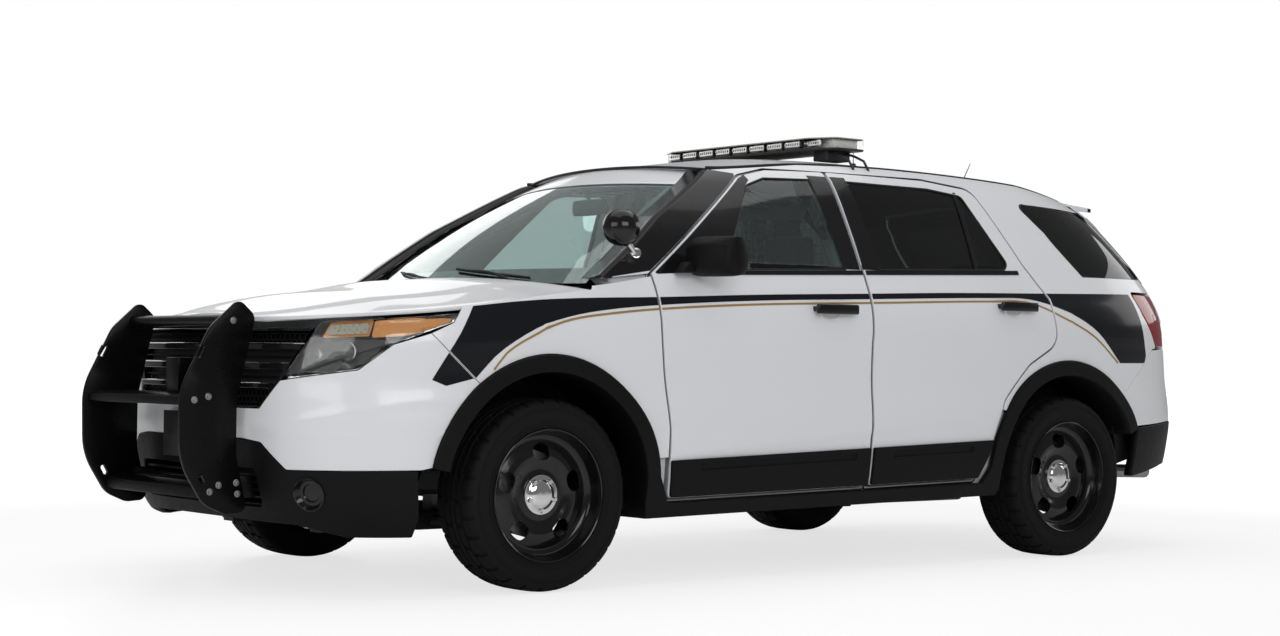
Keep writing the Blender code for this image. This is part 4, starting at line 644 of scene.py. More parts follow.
def slab(rows, corners, holes=(), grow=0.0, own=None, follow=1.0):
    """A flat solid from rows of (depth, growth). Where the rim grows, the holes shrink by follow as much."""
    return flat_slab(
        [(depth, outline(corners, grow + g, own)) for depth, g in rows],
        [[(depth, outline(hole, -g * follow)) for depth, g in rows] for hole in holes],
    )


def panel(corners, place, depths, holes=(), grow=0.0, own=None, edge=0.0018, cuts=None):
    """A panel between two depths, its outer edge rounded over edge, laid on the body."""
    near, far = depths
    rows = ((near, -edge), (near + 0.3 * edge, -0.3 * edge), (near + edge, 0.0), (far, 0.0))
    mesh = slab(rows if edge else ((near, 0.0), (far, 0.0)), corners, holes, grow, own)
    slice_flat(mesh, *(cuts or natural_cuts(mesh)))
    return lay(mesh, place, near)


def tapered(half_low, low, half_high, high, radius=0):
    """Four corners, even about the middle line."""
    return ((-half_low, low, radius), (half_low, low, radius), (half_high, high, radius), (-half_high, high, radius))


def doubled(mesh):
    """Extrudes every face and gives the new vertices, which still lie where the old ones are."""
    grown = bmesh.ops.extrude_face_region(mesh, geom=mesh.faces[:], use_keep_orig=True)["geom"]
    return of_kind(grown, bmesh.types.BMVert)


print("panels ready, pieces", len(MADE))

# %% [markdown]
# The other shapes come from a few more helpers: a closed sheet over a smooth form, a section spun round an axle,
# a round bar, a bevelled block, a flat shape pushed through a width, and a tube along a path.

# %% Other shapes
def soften(mesh, offset, segments=2, over=0.0):
    """Rounds the edges that turn by more than over degrees."""
    if offset:
        rim = [e for e in mesh.edges if e.calc_face_angle(0) > math.radians(over)]
        bmesh.ops.bevel(mesh, geom=rim, offset=offset, segments=segments, profile=0.5, affect="EDGES", material=-1)
    return mesh


def blanket(place, columns, rows, span, depth, edge=0.0015):
    """A closed sheet: place(u, v, deep) with u across from -1 to 1 and v along span."""
    mesh = bmesh.new()
    bmesh.ops.create_grid(mesh, x_segments=columns, y_segments=rows, size=1.0)
    for vertex in doubled(mesh):
        vertex.co.z = 1.0
    return soften(
        carried(mesh, lambda u, v, deep: place(u, span[0] + (span[1] - span[0]) * (v + 1) / 2, depth * deep)),
        edge, 2, 50,
    )


def aimed(place, direction):
    """The matrix that stands a shape at a point with its Z axis along a direction."""
    return Matrix.Translation(place) @ direction.to_track_quat("Z", "Y").to_matrix().to_4x4()


def spun(profile, matrix, steps=40, axis=(0, 0, 1)):
    """A closed profile in the XZ plane turned once round an axis, then moved by a matrix."""
    mesh = bmesh.new()
    verts = [mesh.verts.new((a, 0, b)) for a, b in profile]
    geom = verts + ring_edges(mesh, verts)
    bmesh.ops.spin(mesh, geom=geom, cent=(0, 0, 0), axis=axis, angle=math.tau, steps=steps, use_merge=True)
    bmesh.ops.transform(mesh, matrix=matrix, verts=mesh.verts)
    bmesh.ops.remove_doubles(mesh, verts=mesh.verts, dist=1e-6)
    return outward(mesh)


def turned(profile, centre, steps=48):
    """A closed profile (outward distance, radius) spun about the X axis through centre (x, station, z)."""
    return spun(profile, Matrix.Translation(world(*centre)), steps, (1, 0, 0))


def rod(start, end, radius, sides=20, end_radius=None, bevel=0.0):
    """A round bar between two points (x, station, z)."""
    mesh = bmesh.new()
    a, b = world(*start), world(*end)
    bmesh.ops.create_cone(
        mesh, cap_ends=True, segments=sides, radius1=radius, radius2=end_radius or radius, depth=(b - a).length,
        matrix=aimed((a + b) / 2, b - a),
    )
    return soften(mesh, bevel, 2, 60)


def block(low, high, bevel=0.002, segments=2):
    """A block between two corners (x, station, z), with its edges rounded."""
    mesh = bmesh.new()
    low, high = world(*low), world(*high)
    matrix = Matrix.Translation((low + high) / 2) @ Matrix.Diagonal((*(high - low), 1.0))
    bmesh.ops.create_cube(mesh, size=1.0, matrix=matrix)
    return outward(soften(mesh, bevel, segments))


def pushed(points, near, far, bevel=0.0, segments=2):
    """A flat shape (station, z) pushed between two positions across the car."""
    mesh = bmesh.new()
    mesh.faces.new([mesh.verts.new(world(near, a, b)) for a, b in points])
    bmesh.ops.translate(mesh, vec=(far - near, 0, 0), verts=doubled(mesh))
    return soften(outward(mesh), bevel, segments, 30)


def tube(points, radius, closed=False):
    """A tube along points in the car's frame."""
    line = bpy.data.curves.new("path", "CURVE")
    line.dimensions = "3D"
    line.bevel_depth, line.bevel_resolution, line.use_fill_caps = radius, 3, not closed
    spline = line.splines.new("POLY")
    spline.points.add(len(points) - 1)
    for knot, point in zip(spline.points, points):
        knot.co = (*point, 1.0)
    spline.use_cyclic_u = closed
    carrier = bpy.data.objects.new("path", line)
    mesh = bmesh.new()
    mesh.from_mesh(carrier.to_mesh())
    carrier.to_mesh_clear()
    bpy.data.objects.remove(carrier)
    bpy.data.curves.remove(line)
    return outward(mesh)


def joined(*meshes):
    """Several meshes as one."""
    whole = bmesh.new()
    for mesh in meshes:
        data = bpy.data.meshes.new("part")
        mesh.to_mesh(data)
        mesh.free()
        whole.from_mesh(data)
        bpy.data.meshes.remove(data)
    return whole


# %% [markdown]
# The doors set the side's pattern: everything else on the side ends a seam away from them. Their outlines and
# the window openings are written once, as station, height and corner radius.

# %% Door and window outlines
DOOR_TOP, SKIN, DOOR_DEPTH, DOOR_FLANGE = 1.661, 0.012, 0.1, 0.018
FRONT_DOOR = (
    (0.566, door_bottom(0.566), 0.02), (1.622, door_bottom(1.622), 0.015), (1.634, belt(1.634)),
    (1.626, belt(1.634) + 0.05), (1.61, DOOR_TOP, 0.01), (1.3, DOOR_TOP - 0.009, 0.06),
    (1.13, 1.614, 0.12), (0.72, 1.3394), (0.5, 1.192, 0.008), (0.512, 1.05), (0.56, 0.6),
)
REAR_DOOR = (
    (1.636, door_bottom(1.636), 0.015), (2.285, door_bottom(2.285), 0.02), (2.338, 0.46, 0.06),
    (2.43, 0.7, 0.1), (2.6, 0.86, 0.1), (2.775, 0.95, 0.08), (2.748, 1.145, 0.06),
    (2.64, 1.3, 0.04), (2.48, 1.63, 0.08), (2.2, DOOR_TOP - 0.002, 0.08), (1.63, DOOR_TOP, 0.01),
    (1.64, belt(1.648) + 0.05), (1.648, belt(1.648)),
)
FRONT_WINDOW = (
    (0.86, belt(0.86) + 0.024, 0.01), (1.548, belt(1.548) + 0.024, 0.01), (1.52, 1.624, 0.015),
    (1.26, 1.616, 0.04), (1.15, 1.58, 0.04),
)
REAR_WINDOW = (
    (1.738, belt(1.738) + 0.024, 0.01), (2.52, belt(2.52) + 0.024, 0.03), (2.548, 1.3, 0.03),
    (2.4, 1.6, 0.03), (2.2, 1.622, 0.08), (1.7, 1.626, 0.015),
)
QUARTER_WINDOW = ((3.06, 1.256, 0.03), (3.745, 1.262, 0.025), (3.56, 1.57, 0.03), (2.745, 1.585, 0.02))
# door, outline, window, handle station, handle height
DOORS = (
    ("front_door", FRONT_DOOR, FRONT_WINDOW, 1.41, 1.072),
    ("rear_door", REAR_DOOR, REAR_WINDOW, 2.51, 1.108),
)
FRONT_LEAF, REAR_LEAF = "front_door_{side}_leaf", "rear_door_{side}_leaf"
print("doors", len(DOORS))

# %% [markdown]
# The doors aren't plain sheets. A soft ridge runs just under the handles, the panel tucks in above the sill, and
# a bowl is pressed in behind each handle for the fingers. We write these as one small height field that is added
# to the body's form, and slice the panel finely where the field changes fast.

# %% The pressed form of the doors
RIDGE_RISE, TUCK = 0.0035, 0.006


def ridge_height(t):
    return 0.977 + 0.006 * (t - 0.6)


def tuck_height(t):
    return 0.513 + 0.083 * (t - 0.705)


def pressing(t, z):
    """How far the door's skin stands in from the plain body form."""
    ends = ease((t - 0.45) / 0.25) * ease((2.8 - t) / 0.25)
    gap = (z - ridge_height(t)) / 0.03
    ridge = RIDGE_RISE * math.exp(-gap * gap) * ends
    tuck = TUCK * ease((tuck_height(t) - z) / 0.05) * ease((z - 0.33) / 0.03) * ends
    bowl = 0.0
    for _, _, _, station, height in DOORS:
        across, rise = (t - station) / 0.066, (z - height + 0.012) / 0.036
        bowl += 0.016 * ease(1.25 - across * across - rise * rise)
    return tuck + bowl - ridge * 0.6


def on_door(t, z, depth):
    """The door's skin, with its pressing fading out through the thickness."""
    if depth > 0.004:
        return skin(t, z, depth + TUCK)
    return skin(t, z, depth + pressing(t, z))


def around(middle, step, below, above):
    return [middle + step * k for k in range(-below, above + 1)]


def door_cuts(doors, low, high):
    """Slices on the doors: close at the leading edge, round each handle and along the ridge."""
    cuts_t = [t for t in steps_between(0.45, 2.8, 0.035) if t < 0.52 or round(t / 0.035) % 3 == 0]
    cuts_z = steps_between(low, high, 0.03)
    for _, _, _, station, height in doors:
        cuts_t += around(station, 0.012, 7, 7)
        cuts_z += around(height - 0.012, 0.006, 8, 8)
    return cuts_t, cuts_z + around(ridge_height(1.6), 0.01, 4, 4)


# word, depths, extra inset, edge, finish
DOOR_LAYERS = (
    # The box is painted a darker white: painted shade in the door's edges.
    ("box", (SKIN, DOOR_DEPTH - 0.006), 0.0, 0.003, SHADED_WHITE_PAINT),
    ("liner", (DOOR_DEPTH - 0.006, DOOR_DEPTH - 0.003), 0.003, 0, CABIN_BLACK),
)
for door in DOORS:
    name, corners, window, station, height = door
    cuts_t, cuts_z = door_cuts((door,), 0.3, 1.7)
    cuts = (cuts_t, cuts_z + around(tuck_height(1.3), 0.012, 6, 3))
    face = panel(corners, on_door, (0.0, SKIN - 0.0005), (window,), edge=0.0022, cuts=cuts)
    both_sides(name + "_{side}_skin", face, WHITE_PAINT, name + "_{side}_leaf", name + "_{side}")
    for word, depths, inset, edge, material in DOOR_LAYERS:
        layer = panel(corners, on_side, depths, (window,), -DOOR_FLANGE - inset, edge=edge)
        both_sides(name + "_{side}_" + word, layer, material, name + "_{side}_leaf")
print("door skins", len(MADE))

# %% [markdown]
# Each opening in a door's side frame carries glass and a rubber seal, a tube along the outline. Gloss black covers
# stand a millimetre proud of the paint: on the pillars, on the belt line where the glass drops into the door, on
# the rear door's dividing bar, and as the sail that carries the mirror.

# %% Door glass, seals and covers
GLASS_DEPTH, GLASS, PILLAR_DEPTH = 0.006, 0.005, 0.130


def window_pane(corners, shrink, place=on_side, cuts=None):
    return panel(corners, place, (GLASS_DEPTH, GLASS_DEPTH + GLASS), grow=-shrink, edge=0, cuts=cuts)


def seal(corners):
    return tube([skin(t, z, 0.0025) for t, z in outline(corners, -0.002)], 0.0042, closed=True)


def between(edge_a, edge_b, low, high):
    """Four corners between two near-upright lines, each given as (t at low, t at high)."""
    return ((edge_a[0], low), (edge_b[0], low), (edge_b[1], high), (edge_a[1], high))


def strip(t0, t1, half=0.01, lift=0.014):
    """Four corners of a moulding along the belt line."""
    z0, z1 = belt(t0) + lift, belt(t1) + lift
    tilt = math.atan2(z1 - z0, t1 - t0)
    dt, dz = -math.sin(tilt) * half, math.cos(tilt) * half
    return ((t0 + dt, z0 + dz), (t0 - dt, z0 - dz), (t1 - dt, z1 - dz), (t1 + dt, z1 + dz))


for (name, corners, window, station, height), glass in zip(DOORS, (DOOR_GLASS, PRIVACY_GLASS)):
    leaf = name + "_{side}_leaf"
    both_sides(name + "_{side}_window", window_pane(window, 0.0004), glass, leaf, name + "_{side}_glass")
    both_sides(name + "_{side}_seal", seal(window), SEAL_RUBBER, name + "_{side}_leaf")
SAIL = (
    (0.53, belt(0.53) + 0.008, 0.008), (0.866, belt(0.866) + 0.02), (1.1465, 1.579, 0.015), (1.176, 1.602),
    (1.17, 1.624), (1.128, 1.6075), (0.722, 1.3345), (0.512, 1.1935, 0.006),
)
A_PILLAR = (
    (0.266, 1.166, 0.002), (0.62, 1.4205, 0.02), (1.01, 1.6385, 0.002), (1.128, 1.6275, 0.004), (1.108, 1.6115, 0.02),
    (0.714, 1.348), (0.494, 1.2015, 0.002),
)
A_FRONT = ((0.2612, 1.1665), (0.619, 1.4235), (0.9992, 1.6376), (1.006, 1.607), (0.624, 1.401), (0.303, 1.166))
D_PILLAR = (
    (3.748, 1.246, 0.004), (3.797, 1.25, 0.006), (3.574, 1.604, 0.006), (3.48, 1.604, 0.006), (3.566, 1.578, 0.02),
    (3.753, 1.262, 0.02),
)
B_FRONT, B_REAR = ((1.53, 1.503), (1.6235, 1.6085), 1.242, 1.6405), ((1.6415, 1.6325), (1.748, 1.716), 1.244, 1.6425)
PROUD = (-0.0016, 0.003)
# name, corners, depths, edge, body
COVERS = (
    ("b_pillar_front", between(*B_FRONT), PROUD, 0.0012, FRONT_LEAF),
    ("b_pillar_rear", between(*B_REAR), PROUD, 0.0012, REAR_LEAF),
    ("front_belt_moulding", strip(0.8, 1.632), (-0.004, 0.011), 0.0025, FRONT_LEAF),
    ("rear_belt_moulding", strip(1.652, 2.6), (-0.004, 0.011), 0.0025, REAR_LEAF),
    ("division_bar", between((2.322, 2.356), (2.344, 2.378), 1.246, 1.616), (0.0, 0.01), 0.002, REAR_LEAF),
    ("sail", SAIL, (-0.0018, 0.004), 0.0015, FRONT_LEAF),
    ("a_pillar_cover", A_PILLAR, PROUD, 0.0012, "body"),
    ("a_pillar_front", A_FRONT, (-0.0008, PILLAR_DEPTH + 0.0035), 0.001, "body"),
    ("d_pillar_cover", D_PILLAR, PROUD, 0.001, "body"),
)
for name, corners, depths, edge, body in COVERS:
    both_sides(name, panel(corners, on_side, depths, edge=edge), GLOSS_BLACK, body)
print("pieces", len(MADE))

# %% [markdown]
# The lower third of each door is a grey-black moulded cladding that stands a centimetre out, with one long shallow
# recess pressed into it. A quick way is a second plate over the first one, with the recess cut through it.

# %% Door cladding
SLOT_LOW, SLOT_HIGH = 0.042, 0.02
# door, lower corners with radius, extra corners, upper corners, recess from and to
CLADS = (
    ("front_door", ((0.5725, 0.012), (1.6195, 0.01)), (), (1.6215, 0.5635), (0.7, 1.54)),
    ("rear_door", ((1.6385, 0.01), (2.276, 0.012)), ((2.331, 0.46, 0.03),), (2.362, 1.6405), (1.74, 2.23)),
)
for name, feet, extra, tops, (start, end) in CLADS:
    corners = [(t, door_bottom(t) + 0.002, radius) for t, radius in feet] + [*extra]
    corners += [(t, cladding_top(t), 0.006) for t in tops]
    ends = ((start, 0.0, SLOT_LOW), (end, 0.0, SLOT_LOW), (end, -0.006, SLOT_HIGH), (start, 0.006, SLOT_HIGH))
    recess = [(t + shift, cladding_top(t) - drop, 0.008) for t, shift, drop in ends]
    plate = panel(corners, on_side, (-0.01, 0.004), (recess,), edge=0.0045)
    both_sides(name + "_clad_{side}", plate, PLASTIC_BLACK, name + "_{side}_leaf")
    dish = panel(recess, on_side, (-0.0045, 0.004), grow=0.004, edge=0)
    both_sides(name + "_clad_{side}_recess", dish, PLASTIC_BLACK, name + "_{side}_leaf")
print("pieces", len(MADE))

# %% [markdown]
# The outer handles are gloss bars that stand over their bowls on two feet. The bar is a block with its edges well
# rounded and its ends drawn in a little.

# %% Handles
def handle(station, height):
    x, _ = waist(station, height)
    bar = block((x + 0.028, station - 0.114, height - 0.021), (x + 0.048, station + 0.114, height + 0.023), 0.008, 4)
    middle = world(x, station, height).y
    for vertex in bar.verts:
        share = (vertex.co.y - middle) / 0.114
        vertex.co.x -= 0.007 * share * share
        vertex.co.z = height + (vertex.co.z - height) * (1 - 0.1 * share * share)
    feet = [
        block((x - 0.012, foot - 0.02, height - 0.01), (x + 0.036, foot + 0.02, height + 0.012), 0.005, 3)
        for foot in (station - 0.088, station + 0.088)
    ]
    return joined(bar, *feet)


for name, _, _, station, height in DOORS:
    both_sides(name + "_handle", handle(station, height), GLOSS_BLACK, name + "_{side}_leaf")
print("pieces", len(MADE))

# %% [markdown]
# The fixed side is the skin above and behind the doors. Its window hole is cut through, and behind it stands the
# frame ring that the doors shut against, with a rubber weatherstrip round each doorway.

# %% Body side
FRAME_FACE, SKIN_BACK, JAMB_FLANGE = 0.024, 0.018, 0.008
DITCH_RUN = (1.5, 1.75, 2.0, 2.3, 2.6, 2.8, 3.0, 3.15, 3.3, 3.43)
rear_arch_edge = arch(WHEELBASE, FLARE_RADIUS + SEAM, 38, 145)
door_edge = ((2.4144, 0.66), *REAR_DOOR[3:10], *FRONT_DOOR[5:9])
side_corners = (
    (0.262, 1.165), (0.62, 1.422), (1.0, 1.636), (1.25, ditch(1.25) - 0.004), *((t, ditch(t)) for t in DITCH_RUN),
    (3.56, ditch(3.56), 0.01), (3.8, 1.262, 0.02), (3.76, 1.2), (3.43, 1.198, 0.02), (3.47, 1.09), (3.59, 0.938, 0.01),
    (3.54, 0.934), (3.28, 0.742, 0.02), *rear_arch_edge, *door_edge,
)
away = {edge: -SHUT_GAP for edge in range(len(side_corners) - len(door_edge), len(side_corners) - 1)}
side_skin = panel(side_corners, on_side, (0.0, SKIN_BACK), (QUARTER_WINDOW,), own=away, edge=0.002)
both_sides("side_skin", side_skin, WHITE_PAINT, "body", "body_side_{side}")
frame_corners = (
    (0.506, sill_bottom(0.506) + 0.03), (2.385, sill_bottom(2.385) + 0.03), (2.4, 0.54), (2.47, 0.69), (2.64, 0.845),
    (2.86, 0.93), (2.87, 1.18), (2.64, 1.64), *((t, ditch(t) - 0.018) for t in (2.2, 1.6, 1.25)), (1.0, 1.612),
    (0.62, 1.406), (0.3, 1.17), (0.4, 1.05), (0.452, 0.6),
)
# name, doorway, edges on the hinge side
DOORWAYS = (("front", FRONT_DOOR, (0, 7, 8, 9, 10)), ("rear", REAR_DOOR, (0, 12)))


def frame_ring(near, far):
    openings = [
        outline(corners, -JAMB_FLANGE, dict.fromkeys(hinged, SHUT_GAP + JAMB_FLANGE)) for _, corners, hinged in DOORWAYS
    ]
    stacks = [[(near, line), (far, line)] for line in (outline(frame_corners), *openings)]
    mesh = flat_slab(stacks[0], stacks[1:])
    slice_flat(mesh, steps_between(0.3, 2.9, 0.15), steps_between(0.3, 1.7, 0.05))
    return lay(mesh, on_side, near)


# The frame ring is painted a darker white: painted shade in the doorways.
both_sides("door_frame", frame_ring(FRAME_FACE, PILLAR_DEPTH), SHADED_WHITE_PAINT)
both_sides("frame_trim", frame_ring(PILLAR_DEPTH, PILLAR_DEPTH + 0.003), CABIN_BLACK)
for name, corners, hinged in DOORWAYS:
    line = outline(corners, 0.004, dict.fromkeys(hinged, 0.012))
    loop = tube([skin(t, z, FRAME_FACE + 0.004) for t, z in line], 0.006, closed=True)
    both_sides(name + "_doorway_seal", loop, SEAL_RUBBER)
print("pieces", len(MADE))

# %% [markdown]
# Each door hangs on a gooseneck hinge whose pin lies on the door's own axis. The quarter glass behind the doors is
# dark privacy glass set in a seal.

# %% Door hinges and quarter glass
HINGE_AXIS_X, HINGE_Z = 0.97, 0.62


def hinge(axis, pillar):
    """A gooseneck: a leaf on the pillar, an arm out round the door's edge, and the pin on the door's own axis."""
    low, high, bolt = HINGE_Z - 0.0347, HINGE_Z + 0.0347, pillar + 0.02
    return joined(
        block((0.862, pillar, HINGE_Z - 0.028), (0.874, axis + 0.006, HINGE_Z + 0.028), 0.002),
        block((0.866, axis - 0.0048, HINGE_Z - 0.024), (HINGE_AXIS_X, axis + 0.0048, HINGE_Z + 0.024), 0.0015),
        rod((HINGE_AXIS_X, axis, low), (HINGE_AXIS_X, axis, high), 0.006, 16, bevel=0.001),
        *(rod((0.874, bolt, z), (0.879, bolt, z), 0.007, 6) for z in (HINGE_Z - 0.014, HINGE_Z + 0.014)),
    )


for name, axis, pillar in (("front", 0.6, 0.538), ("rear", 1.691, 1.624)):
    both_sides(name + "_hinge", hinge(axis, pillar), GREY_STEEL)
both_sides("quarter_window", window_pane(QUARTER_WINDOW, 0.0008), PRIVACY_GLASS, "body", "quarter_glass_{side}")
both_sides("quarter_seal", seal(QUARTER_WINDOW), SEAL_RUBBER)
print("pieces", len(MADE))

# %% [markdown]
# The front fender is one pressed panel from the lamp to the door, over the wheel.

# %% Fenders
LAMP_TIP, LAMP_TOP_REAR, FENDER_SEAM = (-0.444, 0.985), (-0.404, fender_top(-0.404)), (-0.534, 0.946)
fender_corners = (
    LAMP_TOP_REAR, LAMP_TIP, FENDER_SEAM, *arch(0.0, FLARE_RADIUS + SEAM, 128, 14),
    *((t - SHUT_GAP, z) for t, z in ((0.56, 0.486), (0.56, 0.6), (0.512, 1.05), (0.5, 1.18))),
    (0.3, 1.148), (0.215, 1.136), (0.21, fender_top(0.21), 0.01),
    *((t, fender_top(t)) for t in (0.1, 0.0, -0.1, -0.2, -0.3)),
)
fender = panel(fender_corners, on_side, (0.0, SKIN), grow=-0.001, edge=0.002)
both_sides("fender_skin", fender, WHITE_PAINT, "body", "fender_{side}")
print("pieces", len(MADE))

# %% [markdown]
# A black plastic moulding runs round both wheel openings and along the sill. Its rings lie at several depths, and
# the deepest one turns inboard to become the wheel-house liner. A thin dark wall closes each wheel house.

# %% Arch and sill cladding
LINER, LINER_DEPTH, FLARE_PROUD, LINER_SILL = 0.01, 0.3, 0.016, (0.012, -4, 0.5, 2.39)


def on_arch_side(t, z, depth):
    x, station = waist(t, z, min(depth, SKIN))
    return world(x - max(depth - SKIN, 0.0), station, z)


def cladding_ring(outer, inner, sill_top, foot_angle, sill_from, sill_to):
    return outline([
        *arc(0.0, outer, 168, foot_angle, 40), *((t, sill_bottom(t) + sill_top) for t in (sill_from, sill_to)),
        *arc(WHEELBASE, outer, 180 - foot_angle, 24, 38), *arch(WHEELBASE, inner, 24, 186),
        (WHEELBASE - ARCH_RADIUS - 0.02, sill_bottom(2.4)), (ARCH_RADIUS + 0.02, sill_bottom(0.47)),
        *arch(0.0, inner, -6, 168),
    ])


# depth, outer radius, inner radius, then sill height, foot angle, sill from, sill to
CLADDING_RINGS = (
    (-FLARE_PROUD, FLARE_RADIUS - 0.006, ARCH_RADIUS + 0.006, 0.052, 6, 0.56, 2.3),
    (-FLARE_PROUD + 0.002, FLARE_RADIUS - 0.002, ARCH_RADIUS + 0.002, 0.056, 6, 0.56, 2.3),
    (-FLARE_PROUD + 0.006, FLARE_RADIUS, ARCH_RADIUS, 0.058, 6, 0.56, 2.3),
    (0.01, FLARE_RADIUS, ARCH_RADIUS, 0.058, 6, 0.56, 2.3),
    (SKIN, ARCH_RADIUS + LINER, ARCH_RADIUS, *LINER_SILL),
    (LINER_DEPTH, ARCH_RADIUS + LINER, ARCH_RADIUS, *LINER_SILL),
)
cladding = flat_slab([(row[0], cladding_ring(*row[1:])) for row in CLADDING_RINGS])
slice_flat(cladding, steps_between(-0.6, 3.5, 0.04), (0.4, 0.6))
lay(cladding, on_arch_side, -FLARE_PROUD)
both_sides("arch_cladding", cladding, PLASTIC_BLACK, "body", "side_cladding_{side}")
front_house = ((0.3, 0.46), *arch(0.0, ARCH_RADIUS + 0.006, 14, 176), (-0.52, 0.24), (-0.33, 0.24), (-0.25, 0.46))
rear_house = arch(WHEELBASE, ARCH_RADIUS + 0.006, 14, 166)
for name, corners, x in (("front", front_house, 0.505), ("rear", rear_house, 0.668)):
    both_sides(name + "_wheel_house", pushed(outline(corners), x - 0.004, x), PLASTIC_BLACK)
print("pieces", len(MADE))

# %% [markdown]
# The hood, roof, screen, cowl and the fin over the rear glass are broad sheets between the sides. Each has one
# formula for its form, from the same sections as the sides, and is made as a fine grid given a thickness.

# %% Broad sheets
HOOD_DEPTH, ROOF_DEPTH, ROOF_GAP = 0.014, 0.014, 0.003


def hood_place(u, t, depth):
    x, station = waist(t, fender_top(t) + 0.002, 0.0)
    x = (x - SKIN - SHUT_GAP) * u
    rear = ease((t + 0.5) / 0.7)
    crown = 0.02 + 0.055 * ease((station + 0.9) / 0.45) - 0.02 * ease((station + 0.1) / 0.4)
    station -= 0.13 * (1 - u * u) * rear
    z = fender_top(t) + crown * (1 - abs(u) ** 2.4)
    return world(x, station, z - depth)


def hood_creased(u, t, depth):
    """The hood's form with a raised middle between two crease lines that run back from the lamps."""
    point = hood_place(u, t, depth)
    line = 0.62 + 0.1 * ease((t + 1.3) / 1.4)
    inside = ease((line - abs(u)) / 0.045)
    fade = ease((t + 1.42) / 0.25) * ease((0.2 - t) / 0.08)
    point.z += -0.0075 * (1 - inside) * fade * ease((1.0 - abs(u)) / 0.06)
    return point


def roof_place(u, t, depth):
    z = ditch(t)
    x, station = waist(t, z, SKIN_BACK + ROOF_GAP)
    x *= u
    crown = 0.03 + 0.027 * ease((t - 1.0) / 0.6) - 0.012 * ease((t - 2.4) / 1.0)
    bow = -0.09 * (1 - u * u) * ease((1.6 - t) / 0.6)
    bow += 0.15 * (1 - u * u) * ease((t - 2.9) / 0.66)
    return world(x, station + bow, z + 0.001 + crown * (1 - abs(u) ** 2.2) - depth)


def screen_place(u, v, depth):
    station = 0.285 + (1.01 - 0.285) * v
    z = 1.15 + (1.628 - 1.15) * v
    x = (waist(station, z + 0.025 * math.sin(math.pi * v))[0] - PILLAR_DEPTH - 0.01) * u
    station -= (0.15 - 0.065 * v) * (1 - u * u)
    bulge = 0.03 * math.sin(math.pi * v) + 0.026 * (1 - u * u) * v
    return world(x, station - bulge * 0.55 + depth * 0.55, z + bulge * 0.83 - depth * 0.83)


def cowl_place(u, v, depth):
    foot = screen_place(u * 0.97, 0.0, 0.0)
    front = hood_place(u * 0.88, 0.205, 0.0)
    point = front.lerp(foot, v)
    ahead = Vector((0, 0.02 * (1 - v) + 0.012 * v, 0))
    return point + ahead + Vector((0, 0, -0.012 - depth))


def fin_place(u, v, deep):
    """The fin along the gate's upper edge: v from 0 behind the roof to 1 at its tip."""
    front = roof_place(u, ROOF_END, 0.0) + Vector((0, 0.012, 0))
    tip = world(0.6 * u, 3.44 + 0.15 * (1 - u * u), 1.602 + 0.05 * (1 - abs(u) ** 2.2))
    point = front.lerp(tip, v)
    return point + Vector((0, 0, -(0.032 - 0.014 * v) * deep))


def header_place(u, v, depth):
    """The roof panel's front edge, which laps over the top of the screen."""
    return screen_place(u, v, depth - 0.0035)


hood = blanket(hood_creased, 96, 56, (-1.44, 0.205), HOOD_DEPTH, 0.003)
settle("hood_skin", hood, WHITE_PAINT, "hood_lid", "hood")
settle("roof_skin", blanket(roof_place, 56, 60, (1.03, ROOF_END), ROOF_DEPTH, 0.003), WHITE_PAINT, "body", "roof")
settle("roof_header", blanket(header_place, 48, 10, (0.865, 1.035), 0.003, 0.001), WHITE_PAINT)
settle("screen_glass", blanket(screen_place, 40, 30, (0.0, 1.0), 0.006, 0.0), CLEAR_GLASS, "body", "windscreen")
print("pieces", len(MADE))

# %% [markdown]
# A black band is baked onto the screen's inner edge, wider at the top corners. It hides the glue. We lay it as a
# thin sheet on the inside of the glass, with the middle left open.

# %% Screen band and edges
def screen_band():
    mesh = bmesh.new()
    bmesh.ops.create_grid(mesh, x_segments=64, y_segments=44, size=1.0)
    doomed = []
    for face in mesh.faces:
        centre = face.calc_center_median()
        v = (centre.y + 1) / 2
        if abs(centre.x) < 0.955 - 0.012 * v and 0.105 < v < 0.85:
            doomed.append(face)
    bmesh.ops.delete(mesh, geom=doomed, context="FACES")
    for vertex in mesh.verts:
        vertex.co = screen_place(vertex.co.x * 0.998, 0.002 + 0.996 * (vertex.co.y + 1) / 2, 0.0066)
    bmesh.ops.solidify(mesh, geom=mesh.faces[:], thickness=0.0012)
    return outward(mesh)


def vented_cowl(u, v, depth):
    """The cowl with rows of narrow vent slots pressed into it."""
    point = cowl_place(u, v, depth)
    vents = math.sin(v * math.pi * 5.0) * (0.12 < abs(u) < 0.88) * (0.15 < v < 0.85)
    point.z -= 0.0028 * max(vents, 0.0) * (depth == 0.0)
    return point


def wiper(pivot_u, tip_u, tip_v, from_u, from_v):
    """A wiper: the arm from its pivot on the cowl, and the blade that lies on the foot of the screen."""
    start, end = cowl_place(pivot_u, 0.62, -0.01), screen_place(tip_u, tip_v, -0.02)
    bow = [Vector((0, 0, 0.016 * math.sin(math.pi * k / 8))) for k in range(9)]
    arm = tube([start + (end - start) * k / 8 + bow[k] for k in range(9)], 0.0055)
    run_u, run_v = tip_u + (tip_u - pivot_u) * 0.3 - from_u, tip_v + 0.035 - from_v
    blades = [
        tube([screen_place(from_u + run_u * k / 16, from_v + run_v * k / 16, -lift) for k in range(17)], radius)
        for lift, radius in ((0.01, 0.005), (0.0045, 0.0028))
    ]
    station = start.y + MIDDLE
    nub = rod((start.x, station, start.z - 0.012), (start.x, station, start.z + 0.01), 0.016, 20, 0.012, 0.003)
    return joined(arm, *blades, nub)


